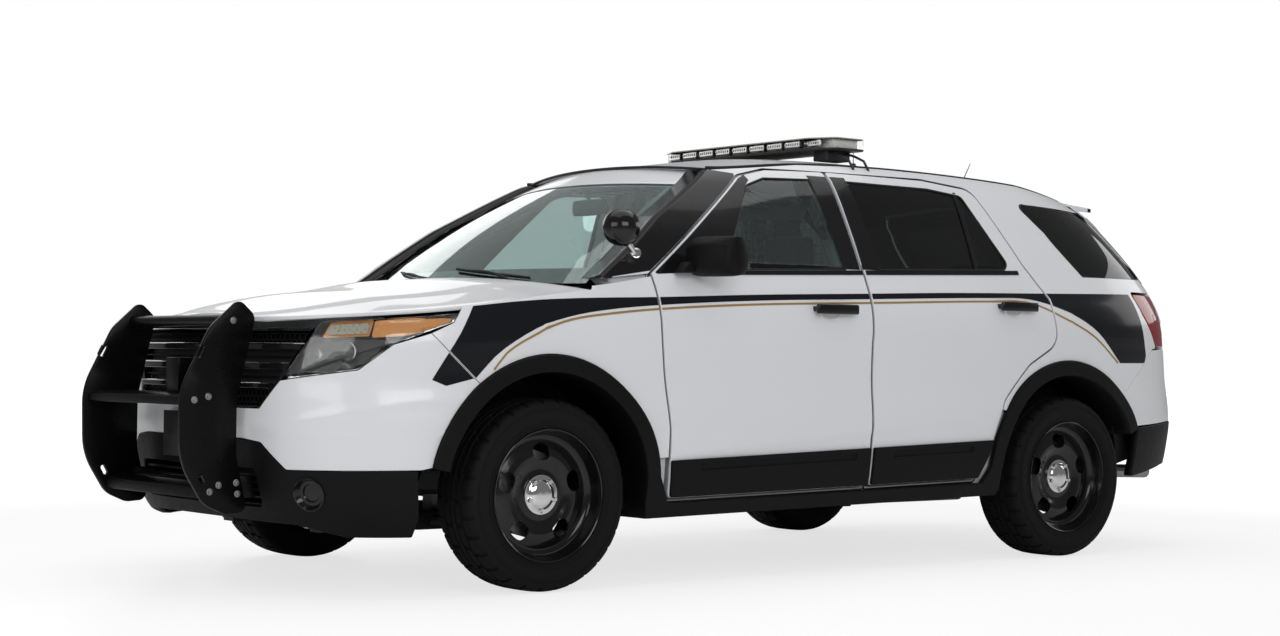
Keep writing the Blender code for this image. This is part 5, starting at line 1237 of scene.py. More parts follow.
settle("screen_band", screen_band(), GLOSS_BLACK)
settle("cowl_panel", blanket(vented_cowl, 48, 40, (0.0, 1.0), 0.008, 0.0), PLASTIC_BLACK, "body", "cowl")
settle("wiper_left", wiper(0.62, 0.16, 0.075, 0.66, 0.03), SATIN_BLACK)
settle("wiper_right", wiper(-0.1, -0.52, 0.075, -0.06, 0.03), SATIN_BLACK)
print("pieces", len(MADE))

# %% [markdown]
# Where the roof meets the sides there is a narrow ditch with a black moulding in it, from the screen's upper
# corner back to the fin.

# %% Roof ditch mouldings
ditch_line = [
    roof_place(1.0, max(t, 1.03), 0.0).lerp(skin(t, ditch(t), 0.004), 0.45) + Vector((0, 0, 0.0005))
    for t in (1.0 + 2.5 * k / 50 for k in range(51))
]
both_sides("roof_ditch", tube(ditch_line, 0.0075), SEAL_RUBBER)
front_line = [roof_place(u / 24, 1.03, 0.006) + Vector((0, -0.004, 0)) for u in range(-24, 25)]
settle("roof_front_seal", tube(front_line, 0.006), SEAL_RUBBER)
print("pieces", len(MADE))

# %% [markdown]
# The nose is a stack of panels on one wrap: the white bumper cover, the black lower bumper, the grille between
# and the lamps at the corners. Their seams are a short list of corners that neighbours share.

# %% Front bumpers
COVER_TOP = 0.67
LAMP_TOP_INNER, LAMP_LOW_INNER = (-0.957, 0.99), (-1.1, 0.772)
LAMP_LOW_OUTER, LAMP_LOW_REAR = (-0.785, 0.812), (-0.671, 0.904)
COVER_STEP_HIGH, COVER_STEP_LOW, COVER_MIDDLE = (-1.19, 0.549), (-1.065, 0.454), (-1.3, 0.56)


def mirrored(half):
    """A full outline from its left half, listed from the top centre round to the bottom centre."""
    return (*half, *((-u, *others) for u, *others in reversed(half)))


def nose_u(t):
    return t - NOSE_END


def tail_u(t):
    return TAIL_END - t


def nose_row(point, radius=0):
    return (nose_u(point[0]), point[1], radius)


def wrap_cuts(reach, low, high, across=0.035, rise=0.03):
    return steps_between(-reach, reach, across), steps_between(low, high, rise)


def on_cover(u, z, depth):
    """The bumper's form with a soft brow over the lower grille and a crease from the lamp to the arch."""
    gap = (z - 0.61 - 0.1 * ease((abs(u) - 0.5) / 0.7)) / 0.02
    lift = 0.004 * math.exp(-gap * gap) * ease((1.45 - abs(u)) / 0.2) if depth < 0.004 else 0.0
    return on_nose(u, z, depth - lift * 0.7 + 0.003 * (depth < 0.004) * ease((0.59 - z) / 0.03))


cover_step = (nose_row(COVER_STEP_LOW, 0.02), nose_row(COVER_STEP_HIGH, 0.03), nose_row(COVER_MIDDLE))
cover = mirrored((
    (0.3, COVER_TOP), (nose_u(-1.2), COVER_TOP, 0.02), nose_row(LAMP_LOW_INNER, 0.01), nose_row(LAMP_LOW_OUTER, 0.02),
    nose_row(LAMP_LOW_REAR, 0.02), nose_row(FENDER_SEAM),
    *((nose_u(t), z) for t, z in arch(0.0, FLARE_RADIUS + SEAM, 128, 168)), (nose_u(-0.55), 0.459), *cover_step,
))
cover_cuts = wrap_cuts(1.7, 0.4, 1.0, rise=0.012)
bumper = panel(cover, on_cover, (0.0, 0.03), grow=-0.001, edge=0.003, cuts=cover_cuts)
settle("bumper_cover", bumper, WHITE_PAINT, "body", "front_bumper")
lower = mirrored((
    (0.3, COVER_MIDDLE[1]), *reversed(cover_step), (nose_u(-0.56), 0.459), (nose_u(-0.56), 0.285, 0.01),
    (nose_u(-0.59), 0.215, 0.01), (nose_u(-0.85), 0.215, 0.03), (nose_u(-1.06), 0.255, 0.04), (0.3, 0.26),
))
intake = tapered(0.47, 0.315, 0.45, 0.455, 0.02)
FOG_U, FOG_Z, FOG_RADIUS = nose_u(-0.97), 0.37, 0.06
fog_ring = [(FOG_RADIUS * math.cos(math.tau * k / 28), FOG_RADIUS * math.sin(math.tau * k / 28)) for k in range(28)]
fog_holes = [[(u + across, FOG_Z + up) for across, up in fog_ring] for u in (FOG_U, -FOG_U)]
valance = panel(
    lower, on_nose, (0.0, 0.03), (intake, *fog_holes), grow=-0.001, edge=0.004, cuts=wrap_cuts(1.2, 0.2, 0.56))
settle("bumper_lower", valance, PLASTIC_BLACK, "body", "lower_bumper")
# radius, height: a dish that steps inward to a blank disc
FOG_BEZEL = (
    (0.058, 0.004), (0.063, 0.002), (0.064, -0.01), (0.06, -0.026), (0.0001, -0.03), (0.0001, -0.022), (0.03, -0.02),
    (0.034, -0.014), (0.046, -0.014), (0.052, -0.006),
)
fog_place = aimed(on_nose(FOG_U, FOG_Z, 0.0), facing_of(on_nose, FOG_U, FOG_Z, 0.0))
both_sides("fog_bezel", spun(FOG_BEZEL, fog_place), GLOSS_BLACK)


def nose_slats(heights, reach, tall, depths, edge, width):
    """Thin bars across the nose, one at each height."""
    cuts = (steps_between(-width, width, 0.05), ())
    return joined(*[
        panel(tapered(*reach(z, tall)), on_nose, depths, edge=edge, cuts=cuts) for z in heights
    ])


def intake_reach(z, tall):
    return 0.468, z, 0.466, z + tall


intake_slats = nose_slats([0.318 + 0.027 * k for k in range(5)], intake_reach, 0.009, (0.012, 0.024), 0.002, 0.5)
settle("lower_intake_mesh", intake_slats, PLASTIC_BLACK)
print("pieces", len(MADE))

# %% [markdown]
# The grille is a gloss black frame with three thick bars across it. Above and below the bars is a honeycomb. We
# make one hexagon cell as a ring, repeat it over the opening, and bend the whole sheet round the nose.

# %% Grille
grille_outline = mirrored((
    (0.3, 0.966), (nose_u(-0.973), 0.966, 0.01), nose_row(LAMP_LOW_INNER, 0.02), (nose_u(-1.2), COVER_TOP, 0.02),
    (0.3, COVER_TOP),
))
GRILLE_BACK = 0.03
# low and high edge of each open band
GRILLE_BANDS = ((0.68, 0.742), (0.764, 0.81), (0.836, 0.882), (0.906, 0.952))


def grille_reach(z):
    return 0.475 + 0.23 * (z - 0.68) / 0.27


grille_holes = [tapered(grille_reach(low), low, grille_reach(high), high, 0.01) for low, high in GRILLE_BANDS]
frame_cuts = wrap_cuts(0.8, 0.66, 0.97, 0.04, 0.02)
grille_frame = panel(grille_outline, on_nose, (0.01, 0.04), grille_holes, grow=-0.004, edge=0.0035, cuts=frame_cuts)
settle("grille_frame", grille_frame, GLOSS_BLACK, "body", "grille")


def honeycomb(low, high, cell=0.026, wall=0.0035):
    """A sheet of hexagon rings between two heights, laid behind the frame."""
    mesh = bmesh.new()
    for row in range(math.ceil((high - low) / (cell * 0.866)) + 1):
        z = low + row * cell * 0.866
        reach = grille_reach(min(z, high))
        count = int(reach / cell) + 1
        for k in range(-count, count + 1):
            u = (k + 0.5 * (row % 2)) * cell
            if abs(u) > reach - cell * 0.2 or z > high + cell * 0.2:
                continue
            turn = Matrix.Translation((u, z, 0)) @ Matrix.Rotation(math.pi / 6, 4, "Z")
            verts = []
            for radius in (cell * 0.5773, cell * 0.5773 - wall):
                verts += bmesh.ops.create_circle(mesh, cap_ends=False, segments=6, radius=radius, matrix=turn)["verts"]
            bmesh.ops.bridge_loops(mesh, edges=list({e for v in verts for e in v.link_edges}))
    for vertex in doubled(mesh):
        vertex.co.z = 0.014
    for vertex in mesh.verts:
        u, z, depth = vertex.co
        vertex.co = on_nose(u, min(max(z, low - 0.01), high + 0.01), GRILLE_BACK + depth)
    bmesh.ops.recalc_face_normals(mesh, faces=mesh.faces)
    return mesh


def fin_reach(z, tall):
    return grille_reach(z), z, grille_reach(z), z + tall


def bright_edge(z, proud):
    """A thin bright line along a bar's edge."""
    reach = grille_reach(z)
    return tube([on_nose(reach * k / 20, z, 0.012 - proud) for k in range(-20, 21)], 0.0022)


settle("grille_honeycomb", joined(honeycomb(*GRILLE_BANDS[0]), honeycomb(*GRILLE_BANDS[3])), PLASTIC_BLACK)
settle("grille_fins", nose_slats((0.784, 0.856), fin_reach, 0.006, (0.026, 0.038), 0.0015, 0.7), PLASTIC_BLACK)
settle("grille_bright_edges", joined(*[bright_edge(z, 0.004) for z in (0.7625, 0.8345, 0.9045)]), CHROME)
back_cuts = wrap_cuts(0.8, 0.66, 0.97, 0.06, 0.06)
settle("grille_back", panel(grille_outline, on_nose, (0.048, 0.052), grow=-0.01, edge=0, cuts=back_cuts), CABIN_BLACK)
print("pieces", len(MADE))

# %% [markdown]
# A headlamp is a clear cover over a dark bowl. Inside are a round projector with its own lens, a silver and an
# amber reflector band along the top, and a dark lower housing. We build the bowl as a shell under the cover, and
# set the inner parts on the same wrap, so they follow the lamp round the corner.

# %% Headlamps
LAMP_CLEAR = HOOD_DEPTH + 0.008
LAMP = (
    (LAMP_TOP_INNER[0], fender_top(LAMP_TOP_INNER[0]) - LAMP_CLEAR), (*LAMP_LOW_INNER, 0.015), (*LAMP_LOW_OUTER, 0.03),
    (*LAMP_LOW_REAR, 0.03), (*LAMP_TIP, 0.01), (-0.419, LAMP_TOP_REAR[1] - LAMP_CLEAR),
    *((t, fender_top(t) - LAMP_CLEAR) for t in (-0.55, -0.7, -0.83)),
)


def lamp_shell():
    """The housing: a rim just under the cover, walls that lean inward, and a floor."""
    mesh = flat_slab([(depth, outline(LAMP, -0.004)) for depth in (0.0065, 0.05)])
    bmesh.ops.delete(mesh, geom=[f for f in mesh.faces if f.calc_center_median().z < 0.007], context="FACES")
    slice_flat(mesh, *natural_cuts(mesh))
    for vertex in mesh.verts:
        vertex.co = on_side(*vertex.co)
    bmesh.ops.recalc_face_normals(mesh, faces=mesh.faces)
    bmesh.ops.solidify(mesh, geom=mesh.faces[:], thickness=-0.002)
    return outward(mesh)


cover = panel(LAMP, on_side, (0.002, 0.005), grow=-0.003, edge=0.001)
both_sides("headlamp_cover", cover, LENS_CLEAR, "body", "headlamp_{side}")
both_sides("headlamp_housing", lamp_shell(), GLOSS_BLACK)
SILVER = ((-0.915, 0.97, 0.006), (-0.935, 0.934, 0.006), (-0.775, 0.94, 0.006), (-0.765, 0.98, 0.006))
AMBER = (
    (-0.748, 0.984, 0.006), (-0.758, 0.926, 0.008), (-0.64, 0.934, 0.01), (-0.52, 0.962, 0.006), (-0.455, 0.985, 0.004),
    (-0.452, 1.0, 0.004), (-0.52, 0.998), (-0.64, 0.994),
)
BEZEL = (
    (-1.085, 0.8, 0.01), (-1.06, 0.792, 0.01), (-0.7, 0.905, 0.006), (-0.71, 0.92, 0.006), (-0.86, 0.918, 0.02),
    (-0.99, 0.9, 0.01),
)
# name, corners, depth, finish
LAMP_BANDS = (
    ("silver_band", SILVER, 0.014, SMOKED_REFLECTOR),
    ("amber_frame", [(t, z, 0.008) for t, z in outline(SILVER, 0.009)], 0.02, LENS_AMBER),
    ("amber", AMBER, 0.012, LENS_AMBER),
    ("lower_bezel", BEZEL, 0.03, SATIN_BLACK),
)
for name, corners, depth, material in LAMP_BANDS:
    both_sides("headlamp_" + name, panel(corners, on_side, (depth, depth + 0.004), edge=0.0015), material)
# name, station, height, radius, finish of the ring
PROJECTORS = (("projector", -0.839, 0.874, 0.034, CHROME), ("high_beam", -0.965, 0.862, 0.026, REFLECTOR))
for name, t, z, radius, material in PROJECTORS:
    out = (facing_of(on_side, t, z, 0.04) + Vector((0.0, -0.75, 0.0))).normalized()
    place = aimed(on_side(t, z, 0.04), out)
    wide = radius * 1.16
    ring = ((wide, 0.0), (wide, 0.016), (radius * 1.08, 0.02), (radius, 0.014), (radius, 0.0))
    arcs = [math.pi / 2 * k / 8 for k in range(9)]
    dome = [(radius * math.cos(a) + 0.0001, 0.004 + 0.014 * math.sin(a)) for a in arcs]
    both_sides(name + "_ring", spun(ring, place, 36), material)
    both_sides(name + "_lens", spun(((radius, 0.0), *dome, (0.0001, 0.0)), place, 36), LENS_CLEAR)
print("pieces", len(MADE))

# %% [markdown]
# The tail lamps wrap the rear corners in red. A clear red cover over a ribbed reflector gives depth.

# %% Tail lamps
TAIL_LAMP = ((3.432, 1.19, 0.015), (3.745, 1.19, 0.01), (3.725, 0.945, 0.01), (3.6, 0.945, 0.01), (3.478, 1.09, 0.02))
TAIL_BAND = ((3.61, 1.06, 0.004), (3.7, 1.06, 0.004), (3.702, 1.095, 0.004), (3.604, 1.095, 0.004))
cover = panel(TAIL_LAMP, on_side, (0.0, 0.012), grow=-0.002, edge=0.004)
both_sides("tail_lamp_cover", cover, LENS_RED, "body", "tail_lamp_{side}")
both_sides("tail_lamp_body", panel(TAIL_LAMP, on_side, (0.012, 0.05), grow=-0.003, edge=0), CABIN_BLACK)
both_sides("tail_lamp_clear_band", panel(TAIL_BAND, on_side, (-0.0012, 0.003), edge=0.001), LENS_CLEAR)
print("pieces", len(MADE))

# %% [markdown]
# A tyre is one section spun round the axle. It gets its tread as blocks: the tread's faces are inset and pushed
# inward between the blocks.

# %% Tyres
WHEEL_STATIONS = (("front", 0.0), ("rear", WHEELBASE))
WHEELS = [(name, word, side, station) for word, side in SIDES for name, station in WHEEL_STATIONS]
# outward distance, radius
TYRE_LINE = (
    (0.105, 0.2462), (0.113, 0.25), (0.1165, 0.26), (0.119, 0.274), (0.1222, 0.292), (0.1222, 0.308),
    (0.1195, 0.326), (0.114, 0.34), (0.106, 0.348), (0.096, 0.3525), (0.082, 0.3548), (0.06, 0.3562),
    (0.058, 0.35), (0.052, 0.35), (0.05, 0.3565), (0.02, 0.3569), (0.018, 0.35), (0.012, 0.35),
    (0.01, 0.3569),
)


def wheel_centre(side, station):
    return side * TRACK / 2, station, TYRE_RADIUS


def tyre(side, station, steps=150):
    """The tyre's section spun round the axle, with its tread blocks inset."""
    centre = wheel_centre(side, station)
    mesh = turned((*TYRE_LINE, *((-out, radius) for out, radius in reversed(TYRE_LINE))), centre, steps)
    blocks = []
    for face in mesh.faces:
        out, y, z = face.calc_center_median() - world(*centre)
        radius, step = math.hypot(y, z), round(math.atan2(z, y) / math.tau * steps)
        shoulder = 0.06 < abs(out) < 0.115 and radius > 0.343 and step % 5 == 0
        crown = 0.021 < abs(out) < 0.049 and radius > 0.354 and (step + 2) % 6 == 0
        if shoulder or crown:
            face.normal_update()
            blocks.append(face)
    bmesh.ops.inset_region(mesh, faces=blocks, thickness=0.0012, depth=-0.0055, use_even_offset=True)
    return mesh


def sidewall_rings(side, station):
    """Fine raised ribs on the sidewall near the rim and at the widest point."""
    round_line = [(0.0011 * math.cos(math.tau * k / 6), 0.0011 * math.sin(math.tau * k / 6)) for k in range(6)]
    return joined(*[
        turned([(side * (out + a), radius + b) for a, b in round_line], wheel_centre(side, station), 72)
        for out, radius in ((0.1168, 0.256), (0.119, 0.269), (0.1216, 0.318))
    ])


for name, word, side, station in WHEELS:
    body = f"{name}_roller_{word}"
    settle(f"{name}_tyre_rubber_{word}", tyre(side, station), RUBBER, body, f"{name}_tyre_{word}", 28)
    settle(f"{name}_tyre_ribs_{word}", sidewall_rings(side, station), RUBBER, body)
print("pieces", len(MADE))

# %% [markdown]
# The wheels are black steel with five rounded windows, a bright cap and five nuts round it. The rim is one
# section spun round the axle. The windows are cut by taking out the faces inside five ovals.

# %% Rims
# outward distance, radius: the face from the outer lip to the hub, then the barrel's back
RIM_FACE = (
    (0.108, 0.2462), (0.113, 0.2462), (0.114, 0.244), (0.112, 0.24), (0.104, 0.2375), (0.08, 0.233),
    (0.064, 0.229), (0.056, 0.224), (0.048, 0.213), (0.047, 0.202), (0.052, 0.188), (0.058, 0.17),
    (0.062, 0.15), (0.06, 0.132), (0.054, 0.115), (0.049, 0.102), (0.05, 0.09), (0.052, 0.07),
)
RIM_BACK = (
    (0.044, 0.07), (0.042, 0.102), (0.046, 0.115), (0.052, 0.132), (0.054, 0.15), (0.05, 0.17), (0.044, 0.188),
    (0.039, 0.202), (0.036, 0.22), (-0.09, 0.228), (-0.11, 0.234), (-0.112, 0.2462), (-0.106, 0.2462), (-0.098, 0.236),
)
CAP_LINE = (
    (0.05, 0.0001), (0.05, 0.074), (0.056, 0.0755), (0.06, 0.073), (0.06, 0.058), (0.064, 0.054), (0.07, 0.046),
    (0.074, 0.036), (0.0755, 0.02), (0.076, 0.0001),
)
WINDOWS, WINDOW_MIDDLE, WINDOW_WIDE, WINDOW_TALL = 5, 0.158, 0.0385, 0.031


def nearest_window(y, z):
    return math.tau / WINDOWS * round(math.atan2(y, z) / (math.tau / WINDOWS))


def window_share(y, z):
    """0 at the middle of the nearest window and 1 on its edge."""
    angle, reach = math.atan2(y, z) - nearest_window(y, z), math.hypot(y, z)
    along, across = reach * math.cos(angle) - WINDOW_MIDDLE, reach * math.sin(angle)
    return (abs(across / WINDOW_WIDE) ** 2.6 + abs(along / WINDOW_TALL) ** 2.6) ** (1 / 2.6)


def rim(side, station):
    """The rim, finely divided where the windows are. Cells inside a window go, and its edge is drawn to the oval."""
    centre = wheel_centre(side, station)
    mesh = turned([(side * out, radius) for out, radius in (*RIM_FACE, *RIM_BACK)], centre, 150)
    axis = world(*centre)

    def offset(point):
        return side * (point.x - axis.x), point.y - axis.y, point.z - axis.z

    spots = [(face, offset(face.calc_center_median())) for face in mesh.faces]
    dense = [face for face, (out, y, z) in spots if 0.118 < math.hypot(y, z) < 0.2 and out > 0.03]
    edges = list({edge for face in dense for edge in face.edges})
    bmesh.ops.subdivide_edges(mesh, edges=edges, cuts=2, use_grid_fill=True)
    spots = [(face, offset(face.calc_center_median())) for face in mesh.faces]
    gone = [face for face, (out, y, z) in spots if out > 0.03 and window_share(y, z) < 1.0]
    bmesh.ops.delete(mesh, geom=gone, context="FACES")
    for vertex in [v for v in mesh.verts if v.is_boundary]:
        _, y, z = offset(vertex.co)
        for _ in range(6):
            share, turn = window_share(y, z), nearest_window(y, z)
            cy, cz = WINDOW_MIDDLE * math.sin(turn), WINDOW_MIDDLE * math.cos(turn)
            y, z = cy + (y - cy) / share, cz + (z - cz) / share
        vertex.co.y, vertex.co.z = axis.y + y, axis.z + z
    for k in range(WINDOWS):
        turn = math.tau * k / WINDOWS
        middle = (WINDOW_MIDDLE * math.sin(turn), WINDOW_MIDDLE * math.cos(turn))
        spots = [(e, offset((e.verts[0].co + e.verts[1].co) / 2)) for e in mesh.edges if e.is_boundary]
        bmesh.ops.bridge_loops(mesh, edges=[edge for edge, (_, y, z) in spots if math.dist((y, z), middle) < 0.06])
    bmesh.ops.recalc_face_normals(mesh, faces=mesh.faces)
    return mesh


def nuts(side, station):
    """Five nuts round the cap, each with the end of its stud."""
    made = []
    for k in range(5):
        turn, x = math.tau * (k + 0.5) / 5, side * (TRACK / 2 + 0.056)
        y, z = station + 0.0585 * math.sin(turn), TYRE_RADIUS + 0.0585 * math.cos(turn)
        made.append(rod((x, y, z), (x + side * 0.017, y, z), 0.0105, 6, 0.0095, 0.002))
        made.append(rod((x + side * 0.015, y, z), (x + side * 0.02, y, z), 0.0068, 16))
    return joined(*made)


for name, word, side, station in WHEELS:
    body, cap = f"{name}_roller_{word}", [(side * out, radius) for out, radius in CAP_LINE]
    settle(f"{name}_rim_{word}", rim(side, station), GLOSS_BLACK, body, f"{name}_wheel_{word}", 40)
    settle(f"{name}_cap_{word}", turned(cap, wheel_centre(side, station), 64), CHROME, body, sharp=50)
    settle(f"{name}_nuts_{word}", nuts(side, station), CHROME, body)
print("pieces", len(MADE))

# %% [markdown]
# The push bumper is two thick upright plates joined by a tube, a shelf and a lower bar. The plates have long
# rounded outlines, a row of oblong holes near the front edge and pairs of bolts where the bars meet them. We
# push the outline through the plate's thickness and round its edges with a bevel.

# %% Push bumper
GUARD_PLATE = (
    (-0.985, 1.05, 0.03), (-1.09, 0.955, 0.12), (-1.205, 0.73, 0.25), (-1.2, 0.48, 0.25),
    (-1.11, 0.335, 0.1), (-1.03, 0.3, 0.05), (-0.955, 0.305, 0.03), (-1.0, 0.5, 0.15),
    (-1.0, 0.7, 0.15), (-0.93, 1.0, 0.04),
)
# station, height, half length, half width, lean in degrees
GUARD_HOLES = ((-1.135, 0.872, 0.024, 0.0105, -26), (-1.125, 0.415, 0.02, 0.0095, 30))


def oblong(station, z, half_long, half_wide, lean):
    points = []
    for k in range(16):
        angle = math.tau * k / 16
        along = math.sin(angle) * half_wide + math.copysign(half_long - half_wide, math.sin(angle + 1e-9))
        spot = Matrix.Rotation(math.radians(lean), 2) @ Vector((math.cos(angle) * half_wide, along))
        points.append((station + spot.x, z + spot.y))
    return points


EDGE = 0.003
PLATE_ROWS = ((0.0, -EDGE), (0.001, -0.3 * EDGE), (EDGE, 0.0), (0.02 - EDGE, 0.0), (0.019, -0.3 * EDGE), (0.02, -EDGE))
plate = slab(PLATE_ROWS, GUARD_PLATE, [oblong(*row) for row in GUARD_HOLES], 0.01, follow=0.4)
plate = carried(plate, lambda station, z, depth: world(0.412 - depth, station, z))
both_sides("guard_plate", plate, POWDER_BLACK, sharp=30)
bracket = ((-1.01, 0.345), (-1.01, 0.425), (-0.56, 0.425), (-0.56, 0.215), (-0.62, 0.215), (-0.62, 0.345))
both_sides("guard_bracket", pushed(bracket, 0.3804, 0.3925, 0.0015), POWDER_BLACK)
shelf = ((-1.192, 0.68), (-1.192, 0.712), (-1.15, 0.722), (-1.02, 0.722), (-1.02, 0.708), (-1.15, 0.7))
bar = ((-1.115, 0.345), (-1.115, 0.385), (-1.085, 0.405), (-1.0, 0.405), (-1.0, 0.39), (-1.08, 0.385))
guard_bars = joined(
    rod((-0.3925, -1.01, 0.985), (0.3925, -1.01, 0.985), 0.022, 32), pushed(shelf, -0.3925, 0.3925, 0.002),
    pushed(bar, -0.3925, 0.3925, 0.002), block((0.105, -1.12, 0.716), (0.205, -1.04, 0.85), 0.004),
)
settle("guard_bars", guard_bars, POWDER_BLACK, "body", "push_bumper")
upper_strip = block((-0.385, -1.1965, 0.684), (0.385, -1.1915, 0.709), 0.002)
lower_strip = block((-0.385, -1.119, 0.35), (0.385, -1.1145, 0.381), 0.002)
settle("guard_wear_strips", joined(upper_strip, lower_strip), PLASTIC_BLACK)
GUARD_BOLTS = (
    (-1.16, 0.7), (-1.105, 0.712), (-1.095, 0.372), (-1.06, 0.395), (-1.01, 0.985), (-0.99, 0.402), (-0.985, 0.362),
)
bolts = []
for station, z in GUARD_BOLTS:
    bolts.append(rod((0.4115, station, z), (0.4145, station, z), 0.0125, 24, bevel=0.0008))
    bolts.append(rod((0.414, station, z), (0.4205, station, z), 0.0085, 6, bevel=0.001))
both_sides("guard_bolts", joined(*bolts), GREY_STEEL)
holder = [block((-0.155, -0.998, 0.48), (0.155, -0.992, 0.65), 0.0015)]
holder += [block((x - 0.015, -0.993, 0.59), (x + 0.015, -0.955, 0.63), 0.003) for x in (-0.105, 0.105)]
settle("guard_plate_holder", joined(*holder), SATIN_BLACK)
print("pieces", len(MADE))

# %% [markdown]
# The door mirror's head is one soft form: a cube divided finely and rounded by formula. Its glass is a bent sheet
# laid over the back. It stands on a short arm from the sail.

# %% Mirrors
def mirror_head(cuts=13):
    mesh = bmesh.new()
    bmesh.ops.create_cube(mesh, size=1.0)
    bmesh.ops.subdivide_edges(mesh, edges=mesh.edges[:], cuts=cuts, use_grid_fill=True)
    for vertex in mesh.verts:
        u, v, w = (2 * c for c in vertex.co)
        corner = 1.0 - 0.2 * (v * v + w * w) / 2
        squeeze = 1.0 - 0.1 * w ** 4 * (1 + abs(u) ** 3)
        x = 1.033 + 0.101 * u * corner
        back = 0.735 + 0.069 * v * (1.0 - 0.25 * u * u) * squeeze + 0.03 * u
        z = 1.262 + 0.087 * w * (1.0 - 0.3 * v * v * (v < 0)) * corner * (1 - 0.06 * abs(u) ** 5)
        vertex.co = world(x, back, z)
    return outward(mesh)


def mirror_glass():
    mesh = bmesh.new()
    bmesh.ops.create_grid(mesh, x_segments=24, y_segments=16, size=1.0)
    for vertex in mesh.verts:
        u, w = vertex.co.x, vertex.co.y
        corner = 1.0 - 0.2 * (1 + w * w) / 2
        x = 1.033 + 0.101 * 0.86 * u * corner
        back = 0.8045 - 0.017 * (u * 0.86) ** 2 + 0.03 * u * 0.86
        z = 1.262 + 0.087 * 0.8 * w * (1.0 - 0.2 * (u * u) / 2)
        vertex.co = world(x, back - 0.0035, z)
    bmesh.ops.solidify(mesh, geom=mesh.faces[:], thickness=0.004)
    return outward(mesh)


both_sides("mirror_head", mirror_head(), PLASTIC_BLACK, FRONT_LEAF, "mirror_{side}", 50)
both_sides("mirror_pane", mirror_glass(), CHROME, FRONT_LEAF, sharp=50)
x, _ = waist(0.62, belt(0.62))
arm = pushed(((0.602, 1.196), (0.74, 1.2), (0.758, 1.236), (0.7, 1.248), (0.64, 1.238)), x - 0.006, 0.985, 0.006, 3)
both_sides("mirror_arm", arm, PLASTIC_BLACK, FRONT_LEAF)
print("pieces", len(MADE))

# %% [markdown]
# The spotlight is a deep round housing on a bright swivel bracket that comes through the pillar. A clear lens and
# a silver dish close its front, which looks ahead.

# %% Spotlight
BALL, SPOT_AIM = (0.955, 0.316, 1.358), (-0.45, 1.0, 0.05)
spot_place = aimed(world(*BALL), Vector(SPOT_AIM))
bowl = [(0.0705 * math.cos(a) + 0.0001, 0.01 - 0.062 * math.sin(a)) for a in (math.pi / 2 * k / 10 for k in range(11))]
SPOT_RIM = ((0.0001, 0.02), (0.055, 0.02), (0.066, 0.036), (0.0705, 0.04), (0.0725, 0.034), (0.072, 0.022))
SPOT_DISH = (
    (0.0001, 0.0215), (0.02, 0.023), (0.045, 0.029), (0.064, 0.035), (0.06, 0.03), (0.04, 0.024), (0.0001, 0.0205),
)
SPOT_LENS = ((0.0001, 0.042), (0.04, 0.04), (0.0655, 0.0365), (0.0655, 0.0345), (0.04, 0.0375), (0.0001, 0.0395))
settle("spot_housing", spun((*SPOT_RIM, *bowl), spot_place), GLOSS_BLACK, "body", "spotlight", 50)
settle("spot_dish", spun(SPOT_DISH, spot_place), REFLECTOR, sharp=50)
settle("spot_lens", spun(SPOT_LENS, spot_place), LENS_CLEAR, sharp=50)
foot_x = waist(0.43, 1.262)[0] + 0.012
bracket = joined(
    rod((0.948, 0.334, 1.336), (foot_x, 0.43, 1.262), 0.0125, 24, bevel=0.001),
    rod((0.944, 0.33, 1.3), (0.957, 0.356, 1.322), 0.02, 24, bevel=0.003),
    rod((foot_x + 0.012, 0.424, 1.268), (foot_x - 0.01, 0.436, 1.256), 0.022, 24, bevel=0.003),
)
settle("spot_bracket", bracket, CHROME)
print("pieces", len(MADE))

# %% [markdown]
# The light bar is a row of clear modules on a black base that stands on two feet and is hooked to the roof's
# gutters. Each module is a lens with a silver dish behind it. The row is one loop over nine places.

# %% Light bar
BAR_STATION, BAR_HALF, BAR_DEPTH, BAR_LOW, BAR_HIGH = 1.861, 0.585, 0.14, 1.778, 1.832
FRONT_ROW, REAR_ROW = BAR_STATION - BAR_DEPTH, BAR_STATION + BAR_DEPTH * 0.75
SHOULDER = BAR_STATION - BAR_DEPTH * 0.55
BAR_PLAN = (
    (-BAR_HALF, SHOULDER, 0.03), (-BAR_HALF * 0.8, FRONT_ROW, 0.03), (BAR_HALF * 0.8, FRONT_ROW, 0.03),
    (BAR_HALF, SHOULDER, 0.03), (BAR_HALF, REAR_ROW, 0.03), (-BAR_HALF, REAR_ROW, 0.03),
)


def bar_slab(low, high, grow, edge):
    rows = ((low, -edge), (low + edge, 0.0), (high - edge, 0.0), (high - 0.3 * edge, -0.3 * edge), (high, -edge))
    return carried(slab(rows, BAR_PLAN, grow=grow), world)


